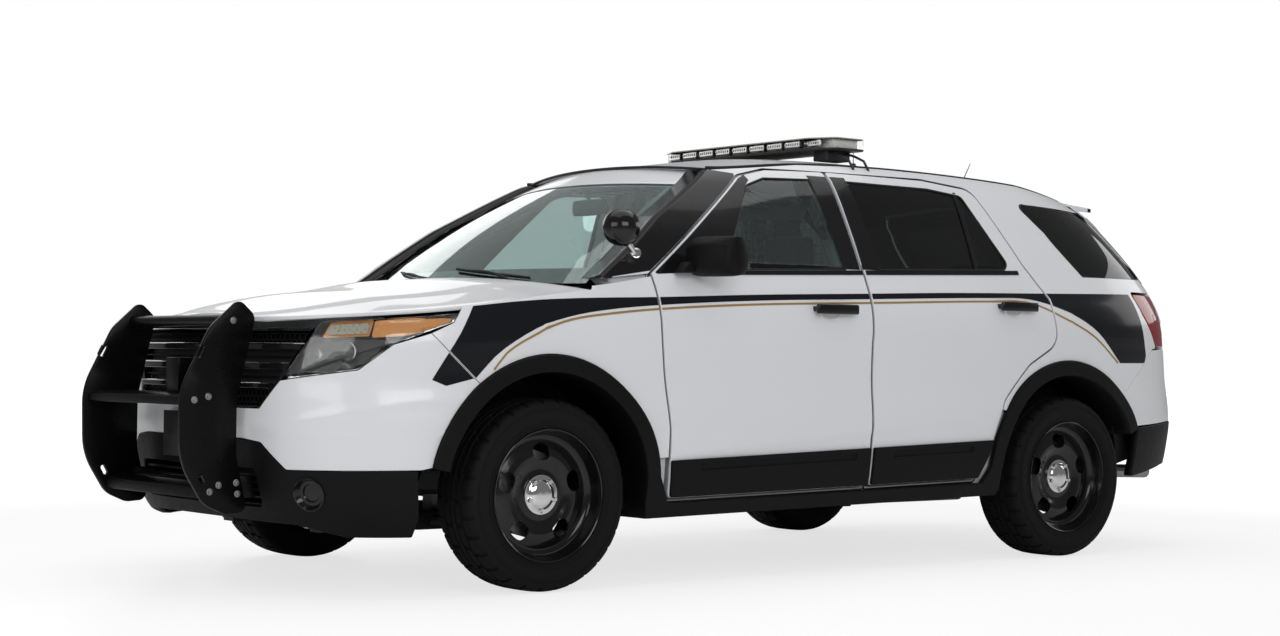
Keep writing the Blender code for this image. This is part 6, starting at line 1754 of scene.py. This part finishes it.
settle("bar_base", bar_slab(BAR_LOW, 1.787, 0.0, 0.003), SATIN_BLACK, "body", "light_bar", 40)
settle("bar_top", bar_slab(1.8265, BAR_HIGH, -0.001, 0.0025), PALE_LENS, sharp=40)
settle("bar_lens", bar_slab(1.787, 1.8265, -0.0015, 0.0015), THIN_LENS, sharp=40)
modules, dividers = [], []
for x in [-0.47 + 0.1175 * k for k in range(9)]:
    for face, row in ((-1, FRONT_ROW + 0.022), (1, REAR_ROW - 0.022)):
        station = row + 0.012 * (abs(x) > 0.44 and face < 0)
        modules.append(block((x - 0.05, station - 0.004, 1.7965), (x + 0.05, station + 0.004, 1.8225), 0.002))
        for cx in [x - 0.0375 + 0.015 * n for n in range(6)]:
            start, end = (cx, station + face * 0.003, 1.8095), (cx, station + face * 0.01, 1.8095)
            modules.append(rod(start, end, 0.0062, 14, 0.0035))
    for start, end in ((FRONT_ROW + 0.01, FRONT_ROW + 0.03), (REAR_ROW - 0.03, REAR_ROW - 0.01)):
        dividers.append(block((x + 0.056, start, 1.788), (x + 0.061, end, 1.826), 0.0008))
settle("bar_reflectors", joined(*modules), REFLECTOR)
settle("bar_dividers", joined(*dividers[:-2]), SATIN_BLACK)
settle("bar_core", block((-0.56, BAR_STATION - 0.07, 1.788), (0.56, BAR_STATION + 0.07, 1.826), 0.004), PALE_LENS)


def bar_foot():
    """A foot on the roof with a strap down to the gutter."""
    made = [block((0.43, BAR_STATION - 0.07, 1.734), (0.52, BAR_STATION + 0.07, 1.78), 0.006, 3)]
    for shift in (Vector((0, -0.045, 0)), Vector((0, 0.045, 0))):
        start = world(0.515, BAR_STATION, 1.77) + shift
        end = skin(BAR_STATION, ditch(BAR_STATION) - 0.012, -0.003) + shift
        middle = start.lerp(end, 0.72) + Vector((0.01, 0, 0.02))
        made.append(tube([start, start.lerp(middle, 0.5) + Vector((0, 0, 0.004)), middle, end], 0.0055))
    return joined(*made)


both_sides("bar_foot", bar_foot(), SATIN_BLACK)
print("pieces", len(MADE))

# %% [markdown]
# The black band and the gold line are thin sheets of cut vinyl. They cross four panels, so each is cut at the
# seams, and the doors' parts swing with the doors. The sheets are sliced on the same lines as the panel under
# them, so they lie a fraction of a millimetre proud of it everywhere. The places of the words stay bare.

# %% Stripe shapes
VINYL = 0.0011
BAND_TOP = (
    (-0.36, 1.047), (-0.142, 1.069), (0.139, 1.087), (0.507, 1.1), (1.027, 1.123), (1.652, 1.144), (2.123, 1.16),
    (2.703, 1.173), (3.147, 1.182), (3.403, 1.186),
)
BAND_LOW = (
    (-0.337, 0.788), (-0.241, 0.882), (-0.087, 0.967), (0.052, 1.01), (0.211, 1.04), (0.502, 1.069), (1.021, 1.099),
    (1.644, 1.121), (2.365, 1.144), (2.623, 1.144), (2.858, 1.094), (3.059, 1.007), (3.229, 0.868),
)
GOLD = (
    (-0.262, 0.818), (-0.197, 0.889), (-0.034, 0.968), (0.074, 1.003), (0.209, 1.025), (0.5, 1.054), (1.016, 1.084),
    (1.64, 1.105), (2.359, 1.129), (2.617, 1.128), (2.85, 1.058), (3.044, 0.98), (3.213, 0.868),
)
GOLD_HALF = 0.0042


def smooth_path(rows, count):
    """Points evenly spaced along a smooth line through the rows."""
    table, total = [], 0.0
    for k, row in enumerate(rows):
        total += math.dist(row, rows[k - 1]) if k else 0.0
        table.append((total, *row))
    return [(curve(table, 1, total * k / count), curve(table, 2, total * k / count)) for k in range(count + 1)]


band = [
    (-0.513, 0.78), *smooth_path(BAND_TOP, 40), (3.423, 1.078), (3.462, 0.905), (3.448, 0.874), (3.434, 0.869),
    *reversed(smooth_path(BAND_LOW, 70)), (-0.457, 0.759),
]


def ribbon(rows, half, count):
    """A band of even width along the smooth line."""
    path = [Vector(point) for point in smooth_path(rows, count)]
    left, right = [], []
    for k, point in enumerate(path):
        along = (path[min(k + 1, count)] - path[max(k - 1, 0)]).normalized()
        side = Vector((-along.y, along.x)) * half
        left.append(tuple(point + side))
        right.append(tuple(point - side))
    return left + right[::-1]


gold = ribbon(GOLD, GOLD_HALF, 90)


def cut_line(p, q, away, gap):
    """A trimming line through p and q, moved in by gap. What lies on its away side goes."""
    normal = Vector((q[1] - p[1], p[0] - q[0])).normalized()
    if normal.dot(Vector(away)) < 0:
        normal.negate()
    return tuple(Vector(p) - normal * gap), tuple(normal)


def vinyl(shape, place, trims, cuts=None, proud=VINYL):
    mesh = bmesh.new()
    mesh.faces.new([mesh.verts.new((t, z, -proud)) for t, z in shape])
    bmesh.ops.triangulate(mesh, faces=mesh.faces)
    for point, away in trims:
        slice_at(mesh, (*point, 0), (*away, 0), dist=1e-6, clear_outer=True)
    if not mesh.faces:
        return mesh
    slice_flat(mesh, *(cuts or natural_cuts(mesh)))
    for vertex in doubled(mesh):
        vertex.co.z = 0.0004
    return lay(mesh, place, -proud)


SEAM_GAP, SHUT = 0.003, SHUT_GAP + 0.003
front_seam, middle_seam = ((0.5, 1.18), (0.512, 1.05)), ((1.629, 0.7), (1.634, 1.217))
rear_seam_front = ((1.641, 0.7), (1.6475, 1.217))
rear_low, rear_high = ((2.775, 0.95), (2.748, 1.145)), ((2.748, 1.145), (2.64, 1.3))
bumper_seam = (FENDER_SEAM, (-0.318, 0.767))
BACK, AHEAD = (1, 0), (-1, 0)
FENDER_TRIMS = (cut_line(*front_seam, BACK, SHUT_GAP + 0.0035), cut_line(*bumper_seam, (-1, -1), 0.0035))
FRONT_TRIMS = (cut_line(*front_seam, AHEAD, SEAM_GAP), cut_line(*middle_seam, BACK, SEAM_GAP))
REAR_TRIMS = (
    cut_line(*rear_seam_front, AHEAD, SEAM_GAP), cut_line(*rear_low, BACK, SEAM_GAP),
    cut_line(*rear_high, BACK, SEAM_GAP),
)
# name, body, place, trims
STRIPE_PARTS = (
    ("fender", "body", on_side, FENDER_TRIMS),
    ("front_door", FRONT_LEAF, on_door, FRONT_TRIMS),
    ("rear_door", REAR_LEAF, on_door, REAR_TRIMS),
    ("quarter_low", "body", on_side, (cut_line(*rear_low, AHEAD, SHUT), ((0, 1.1449), (0, 1)))),
    ("quarter_high", "body", on_side, (cut_line(*rear_high, AHEAD, SHUT), ((0, 1.1451), (0, -1)))),
)
for name, body, place, trims in STRIPE_PARTS:
    for word, shape, material in (("band", band, BLACK_VINYL), ("gold_line", gold, GOLD_VINYL)):
        mesh = vinyl(shape, place, trims, door_cuts(DOORS, 0.9, 1.2) if place is on_door else None)
        if mesh.faces:
            both_sides(f"{word}_{name}", mesh, material, body)
        else:
            mesh.free()

wedge, seam_u = ([(nose_u(t), z) for t, z in line] for line in (band, bumper_seam))
mesh = vinyl(wedge, on_cover, (cut_line(*seam_u, (1, 1), 0.0035),), cover_cuts, 0.0006)
both_sides("band_bumper", mesh, BLACK_VINYL)
print("pieces", len(MADE))

# %% [markdown]
# The rear has a broad gate hinged at the roof, with dark glass, a pressed recess for the number plate, a gloss
# strip over it and a fin along the top. The plate itself is blank.

# %% Liftgate
GATE = mirrored((
    (0.3, 1.65), (tail_u(3.58), 1.618, 0.03), (tail_u(3.82), 1.262, 0.03), (tail_u(3.776), 1.2, 0.01),
    (tail_u(3.762), 0.96, 0.02), (0.89, 0.722, 0.02), (0.3, 0.722),
))
GATE_WINDOW = mirrored(((0.3, 1.57), (0.96, 1.555, 0.03), (0.8, 1.27, 0.04), (0.3, 1.25)))
PLATE_MIDDLE, PLATE_HALF_WIDE, PLATE_HALF_TALL = 0.905, 0.215, 0.078


def on_gate(u, z, depth):
    """The gate's form with the plate recess and a shelf line above it."""
    if depth > 0.006:
        return on_tail(u, z, depth)
    across = ease((PLATE_HALF_WIDE + 0.03 - abs(u)) / 0.03)
    inside = across * ease((PLATE_HALF_TALL + 0.02 - abs(z - PLATE_MIDDLE)) / 0.024)
    shelf_line = 0.006 * ease((1.075 - z) / 0.03) * ease((1.1 - abs(u)) / 0.2) * ease((z - 0.74) / 0.05)
    return on_tail(u, z, depth + 0.02 * inside + shelf_line)


def bordered(middle, reach, count):
    return [middle + sign * (reach - 0.006 * k) for sign in (-1, 1) for k in range(count)]


gate_cuts = (
    [*steps_between(-1.3, 1.3, 0.035), *bordered(0.0, PLATE_HALF_WIDE + 0.03, 6)],
    [*steps_between(0.7, 1.66, 0.03), *bordered(PLATE_MIDDLE, PLATE_HALF_TALL + 0.02, 5), *around(1.045, 0.008, 0, 4)],
)
trim_cuts = wrap_cuts(1.2, 0.7, 1.66, 0.07, 0.06)


def fin_tip(u, v, deep):
    return fin_place(u, v, 0.02 + deep * 0.96)


def bar_cuts(half, step=0.05):
    return steps_between(-half, half, step), ()


def rear_wiper():
    base = on_tail(0.0, 1.262, -0.01)
    points = [on_tail(0.36 * k / 12, 1.268 + 0.016 * math.sin(math.pi * k / 12), -0.014) for k in range(13)]
    station = base.y + MIDDLE
    hub = rod((base.x, station - 0.016, base.z), (base.x, station + 0.006, base.z), 0.018, 24, bevel=0.003)
    return joined(tube(points, 0.0045), hub)


skin_panel = panel(GATE, on_gate, (0.0, 0.05), (GATE_WINDOW,), edge=0.003, cuts=gate_cuts)
pane_cuts = wrap_cuts(1.2, 1.2, 1.6)
pane = panel(GATE_WINDOW, on_tail, (GLASS_DEPTH, GLASS_DEPTH + GLASS), grow=-0.0011, edge=0, cuts=pane_cuts)
pane_seal = tube([on_tail(u, z, 0.0025) for u, z in outline(GATE_WINDOW, -0.002)], 0.0045, closed=True)
stop_lamp = tapered(0.15, 1.58, 0.15, 1.594, 0.004)
bright_strip = tapered(0.33, 1.01, 0.335, 1.036, 0.006)
blank_plate = tapered(0.152, PLATE_MIDDLE - 0.075, 0.152, PLATE_MIDDLE + 0.075, 0.008)
inner_trim = panel(GATE, on_tail, (0.0505, 0.056), (GATE_WINDOW,), -0.03, edge=0.002, cuts=trim_cuts)
# name, shape, finish, solid replaced, sharp angle
GATE_PIECES = (
    ("gate_skin", skin_panel, WHITE_PAINT, "liftgate", 35),
    ("gate_glass", pane, PRIVACY_GLASS, "rear_glass", 35),
    ("gate_glass_seal", pane_seal, SEAL_RUBBER, "", 35),
    ("gate_fin", blanket(fin_place, 60, 16, (0.0, 0.9), 1.0, 0.002), WHITE_PAINT, "", 35),
    ("gate_fin_tip", blanket(fin_tip, 60, 4, (0.9, 1.0), 1.0, 0.002), GLOSS_BLACK, "", 35),
    ("gate_stop_lamp", panel(stop_lamp, on_tail, (-0.003, 0.004), edge=0.002, cuts=bar_cuts(0.2)), LENS_RED, "", 35),
    ("gate_bright_strip", panel(bright_strip, on_tail, (-0.002, 0.012), edge=0.003, cuts=bar_cuts(0.4, 0.035)),
     GLOSS_BLACK, "", 35),
    # The blank plate takes the same darker white with painted shade.
    ("gate_blank_plate", panel(blank_plate, on_tail, (0.0225, 0.03), edge=0.001, cuts=bar_cuts(0.2)),
     SHADED_WHITE_PAINT, "", 35),
    ("gate_inner_trim", inner_trim, CABIN_BLACK, "", 35),
    ("gate_wiper", rear_wiper(), SATIN_BLACK, "", 40),
)
for name, mesh, material, node, sharp in GATE_PIECES:
    settle(name, mesh, material, "liftgate_lid", node, sharp)
print("pieces", len(MADE))

# %% [markdown]
# The rear bumper wraps the tail in two colours, with a red reflector at each side and a pad to step on.

# %% Rear bumper
rear_cover = mirrored((
    (0.3, 0.712), (0.9, 0.712, 0.02), (tail_u(3.74), 0.935, 0.01), (tail_u(3.54) - SEAM, 0.93 - SEAM),
    (tail_u(3.28) - SEAM, 0.74, 0.015), *((tail_u(t), z) for t, z in arch(WHEELBASE, FLARE_RADIUS + SEAM, 38, 25)),
    (tail_u(3.7), 0.594), (0.3, 0.6),
))
rear_lower = mirrored((
    (0.3, 0.6 - SEAM), (tail_u(3.7), 0.594 - SEAM), (tail_u(3.35) - SEAM, 0.574 - SEAM), (tail_u(3.35), 0.345, 0.02),
    (tail_u(3.7), 0.39, 0.04), (0.3, 0.4),
))
cover = panel(rear_cover, on_tail, (0.0, 0.03), edge=0.003, cuts=wrap_cuts(1.7, 0.5, 1.0))
valance = panel(rear_lower, on_tail, (-0.004, 0.03), edge=0.004, cuts=wrap_cuts(1.5, 0.3, 0.62))
REFLECTOR_LINE = ((0.64, 0.52, 0.004), (0.76, 0.52, 0.004), (0.755, 0.545, 0.004), (0.64, 0.545, 0.004))
reflector_cuts = (steps_between(0.6, 0.8, 0.035), ())
step_pad = tapered(0.56, 0.69, 0.56, 0.708, 0.006)
settle("rear_cover", cover, WHITE_PAINT, "body", "rear_bumper")
settle("rear_valance", valance, PLASTIC_BLACK, "body", "rear_lower_bumper")
both_sides("rear_reflector", panel(REFLECTOR_LINE, on_tail, (-0.006, 0.002), edge=0.001, cuts=reflector_cuts), LENS_RED)
step_mesh = panel(step_pad, on_tail, (-0.002, 0.004), edge=0.001, cuts=bar_cuts(0.6, 0.035))
settle("rear_step_pad", step_mesh, PLASTIC_BLACK)
print("pieces", len(MADE))

# %% [markdown]
# Two whip aerials stand on the roof. The taller one leans back. Each is a thin tapered rod on a small rubber foot.

# %% Aerials
def roof_height(x, station):
    edge = waist(station, ditch(station), SKIN_BACK + ROOF_GAP)[0]
    return roof_place(x / edge, station, 0.0).z


whips, feet = [], []
for x, at, tall, lean in ((0.3, 2.16, 0.06, 0.0), (0.22, 2.95, 0.1, 0.06)):
    base = roof_height(x, at)
    feet.append(rod((x, at, base - 0.006), (x, at, base + 0.012), 0.016, 28, 0.01, 0.002))
    whips.append(rod((x, at, base), (x, at + lean, base + tall), 0.0026, 12, 0.0016))
settle("aerial_whips", joined(*whips), SATIN_BLACK)
settle("aerial_feet", joined(*feet), SEAL_RUBBER)
print("pieces", len(MADE))

# %% [markdown]
# Behind each rear wheel house a dark trim panel closes the side of the load space, and under the nose a splash
# shield and a screen close the space behind the lower intake.

# %% Load space trim and splash shield
CARGO_TRIM = (
    (3.34, 0.4), (3.7, 0.46), (3.7, 1.19), (2.95, 1.19), (2.95, 0.85), (3.11, 0.78), (3.25, 0.64), (3.33, 0.47),
)
both_sides("cargo_trim", panel(CARGO_TRIM, on_side, (0.075, 0.079), edge=0), CABIN_BLACK)
floor_board = block((-0.46, -0.87, 0.262), (0.46, -0.56, 0.268), 0.001)
screen_board = block((-0.42, -0.8, 0.268), (0.42, -0.794, 0.52), 0.001)
settle("splash_shield", joined(floor_board, screen_board), PLASTIC_BLACK)
print("pieces", len(MADE))

# %% [markdown]
# The cabin shows through the screen and the glass: two bucket seats, the dashboard with its wheel, the mirror,
# the partition behind the front seats and the bench. A seat is foam under cloth. Each pad starts as a finely
# divided block and is crowned by formula, with its sides drawn in and a sewn groove pressed into it.

# %% Padded forms
def pad(low, high, grooves=(), lean=0.0, narrow=0.0, cuts=22):
    """A cushion between two corners (x, station, z). Grooves are (axis, place, depth)."""
    mesh = bmesh.new()
    bmesh.ops.create_cube(mesh, size=2.0)
    bmesh.ops.subdivide_edges(mesh, edges=mesh.edges[:], cuts=cuts, use_grid_fill=True)
    low, high = Vector(low), Vector(high)
    half, middle = (high - low) / 2, (high + low) / 2
    for vertex in mesh.verts:
        u, v, w = vertex.co
        soft = Vector(
            a * math.sqrt(1 - b * b / 2 * 0.34 - c * c / 2 * 0.34 + b * b * c * c / 3 * 0.2)
            for a, b, c in ((u, v, w), (v, u, w), (w, u, v))
        )
        for axis, place, depth in grooves:
            gap = (vertex.co[axis] - place) / 0.045
            pinch = 1 - depth * math.exp(-gap * gap)
            for k in {0, 1, 2} - {axis}:
                soft[k] *= pinch
        soft.x *= 1 - narrow * (w + 1) / 2
        point = Vector(soft[k] * half[k] + middle[k] for k in range(3))
        point.y += lean * (point.z - low.z)
        vertex.co = world(*point)
    bmesh.ops.recalc_face_normals(mesh, faces=mesh.faces)
    return mesh


def bolsters(low, high, lean=0.0):
    left = pad(low, (low[0] + 0.085, *high[1:]), lean=lean, cuts=12)
    right = pad((high[0] - 0.085, *low[1:]), high, lean=lean, cuts=12)
    return left, right


def seat(name, mesh, node=""):
    settle(name, mesh, SEAT_CLOTH, "body", node, 60)


SEWN = ((0, -0.55, 0.06), (0, 0.55, 0.06))
BENCH_SEWN = ((0, -0.33, 0.05), (0, 0.33, 0.05))
for word, side in SIDES:
    middle = side * 0.38

    def span(half, stations, heights):
        """The low and the high corner of a box round this seat's middle."""
        return [(middle + sign * half, station, z) for sign, station, z in zip((-1, 1), stations, heights)]

    cushion = pad(*span(0.215, (1.115, 1.6), (0.455, 0.628)), (*SEWN, (1, 0.1, 0.05)))
    wings = bolsters(*span(0.243, (1.12, 1.58), (0.44, 0.65)))
    seat(f"seat_cushion_{word}", joined(cushion, *wings), f"front_seat_{word}")
    back = pad(*span(0.205, (1.545, 1.655), (0.6, 1.2)), (*SEWN, (2, 0.1, 0.05)), 0.16, 0.1)
    seat(f"seat_back_{word}", joined(back, *bolsters(*span(0.238, (1.535, 1.665), (0.62, 1.12)), 0.16)))
    seat(f"headrest_{word}", pad(*span(0.125, (1.655, 1.745), (1.215, 1.405)), cuts=12))
    posts = [rod((middle + shift, 1.675, 1.13), (middle + shift, 1.695, 1.24), 0.006, 14) for shift in (-0.06, 0.06)]
    settle(f"headrest_posts_{word}", joined(*posts), CHROME)
    rails = [block((middle + x - 0.02, 1.13, 0.33), (middle + x + 0.02, 1.6, 0.37), 0.004) for x in (-0.2, 0.2)]
    settle(f"seat_base_{word}", joined(*rails, block(*span(0.215, (1.16, 1.58), (0.366, 0.47)), 0.012, 3)), CABIN_BLACK)
seat("bench_cushion", pad((-0.585, 2.145, 0.44), (0.585, 2.64, 0.615), BENCH_SEWN, cuts=26), "rear_bench")
seat("bench_back", pad((-0.585, 2.56, 0.6), (0.585, 2.66, 1.165), BENCH_SEWN, 0.14, cuts=26))
print("pieces", len(MADE))

# %% [markdown]
# The dashboard is one long moulding with a hood over the dials. Its section is drawn once and pushed across the
# cabin with its edges well rounded. The wheel is a ring spun round its tilted axis.

# %% Dashboard and wheel
dash_line = (
    (0.405, 0.905), (0.37, 1.05), (0.42, 1.08), (0.52, 1.102), (0.64, 1.1), (0.735, 1.08), (0.79, 1.02),
    (0.765, 0.9), (0.64, 0.785), (0.525, 0.765),
)
settle("dash_moulding", pushed(dash_line, -0.69, 0.69, 0.018, 4), CABIN_BLACK, "body", "dashboard", 50)
settle("dial_hood", pad((0.22, 0.64, 1.06), (0.54, 0.82, 1.15), cuts=14), CABIN_BLACK, sharp=60)
console = joined(
    block((-0.13, 0.7, 0.36), (0.13, 1.08, 0.76), 0.02, 3), block((-0.11, 1.08, 0.36), (0.11, 1.62, 0.62), 0.02, 3),
    block((-0.12, 0.742, 0.8), (0.12, 0.8, 1.0), 0.01, 3),
)
settle("centre_console", console, CABIN_BLACK)
vents = [
    block((x - 0.045, near, low), (x + 0.045, near + 0.01, low + 0.011), 0.001)
    for near, low in ((0.782, 0.965), (0.78, 0.985)) for x in (-0.58, 0.175, 0.585, -0.175)
]
settle("dash_vents", joined(*vents), GLOSS_BLACK)


def steering_wheel():
    """A ring spun round its tilted axis, with a padded hub, three spokes and the column."""
    turns = [math.tau * k / 12 for k in range(12)]
    tilt = Matrix.Translation(world(0.38, 0.96, 1.02)) @ Matrix.Rotation(math.radians(-65), 4, "X")
    ring = spun([(0.18 + 0.0145 * math.cos(a), 0.0145 * math.sin(a)) for a in turns], tilt, 56)
    hub = pad((-0.075, -0.055, -0.03), (0.075, 0.055, 0.01), cuts=8)
    bmesh.ops.transform(hub, matrix=tilt @ Matrix.Translation((0, MIDDLE, 0)), verts=hub.verts)
    spokes = [
        rod((0.215, 0.96, 1.02), (0.545, 0.96, 1.02), 0.012, 12),
        rod((0.38, 0.955, 1.01), (0.38, 0.895, 0.88), 0.012, 12),
    ]
    return joined(ring, hub, *spokes, rod((0.38, 0.945, 1.012), (0.38, 0.7, 0.905), 0.034, 24))


settle("steering_wheel", steering_wheel(), CABIN_BLACK, sharp=50)
mirror_body = pad((-0.12, 0.885, 1.47), (0.12, 0.915, 1.54), cuts=10)
mirror_stalk = rod((0.0, 0.9, 1.53), (0.0, 0.862, 1.588), 0.008, 12)
settle("inner_mirror", joined(mirror_body, mirror_stalk), CABIN_BLACK, sharp=60)
print("pieces", len(MADE))

# %% [markdown]
# Behind the front seats stands the partition: a painted frame with a mesh in its upper window. The mesh is two
# sets of thin rods that cross.

# %% Partition, headliner and trim
SCREEN_LINE = ((-0.64, 0.42), (0.64, 0.42), (0.64, 1.25), (0.5, 1.56, 0.05), (-0.5, 1.56, 0.05), (-0.64, 1.25))
SCREEN_WINDOW = (
    (-0.56, 1.02, 0.02), (0.56, 1.02, 0.02), (0.55, 1.24), (0.45, 1.5, 0.02), (-0.45, 1.5, 0.02), (-0.55, 1.24),
)
SCREEN_ROWS = ((0.0, -EDGE), (EDGE, 0.0), (0.02 - EDGE, 0.0), (0.02, -EDGE))
partition = slab(SCREEN_ROWS, SCREEN_LINE, (SCREEN_WINDOW,))
partition = carried(partition, lambda x, z, depth: world(x, 1.9 + depth, z))
settle("partition_frame", partition, SATIN_BLACK, "body", "partition")
wires = []
for k in range(31):
    x = -0.54 + 0.036 * k
    top = 1.5 if abs(x) < 0.45 else 1.5 - (abs(x) - 0.45) * 2.6
    wires.append(rod((x, 1.91, 1.012), (x, 1.91, top + 0.006), 0.0016, 6))
for k in range(13):
    z = 1.05 + 0.036 * k
    reach = 0.555 if z < 1.24 else 0.555 - (z - 1.24) * 0.385
    wires.append(rod((-reach, 1.9125, z), (reach, 1.9125, z), 0.0016, 6))
settle("partition_mesh", joined(*wires), SATIN_BLACK)


def headliner(u, t, depth):
    return roof_place(u * 0.93, min(t, 3.45), 0.022 + depth)


settle("headliner", blanket(headliner, 24, 40, (1.1, 3.45), 0.004, 0), ROOF_CLOTH)
trim_depths = (DOOR_DEPTH - 0.006, DOOR_DEPTH - 0.0005)
for name, corners, window, _, _ in DOORS:
    trim = panel(corners, on_side, trim_depths, (window,), -0.024, edge=0.002)
    both_sides(name + "_trim", trim, CABIN_BLACK, name + "_{side}_leaf")
print("pieces", len(MADE))

# %% [markdown]
# The solids that already have the right shape stay as they are. They are the floor, the axles, the hubs, the
# engine block, the tank and the exhaust. Each gets a finish with its own grain in place of the flat colour.

# %% Finishes for the solids that stay
# node, finish
KEPT = (
    ("floor", CABIN_BLACK), ("engine", GREY_STEEL), ("exhaust", GREY_STEEL), ("fuel_tank", PLASTIC_BLACK),
    ("front_suspension", SATIN_BLACK), ("rear_suspension", SATIN_BLACK), ("knuckle_left", GREY_STEEL),
    ("knuckle_right", GREY_STEEL),
)
for name, material in KEPT:
    for place in frame["nodes"][name].material_slots:
        place.material = material
shown = [name for name, node in frame["nodes"].items() if not node.hide_render]
print("solids still shown", sorted(shown))
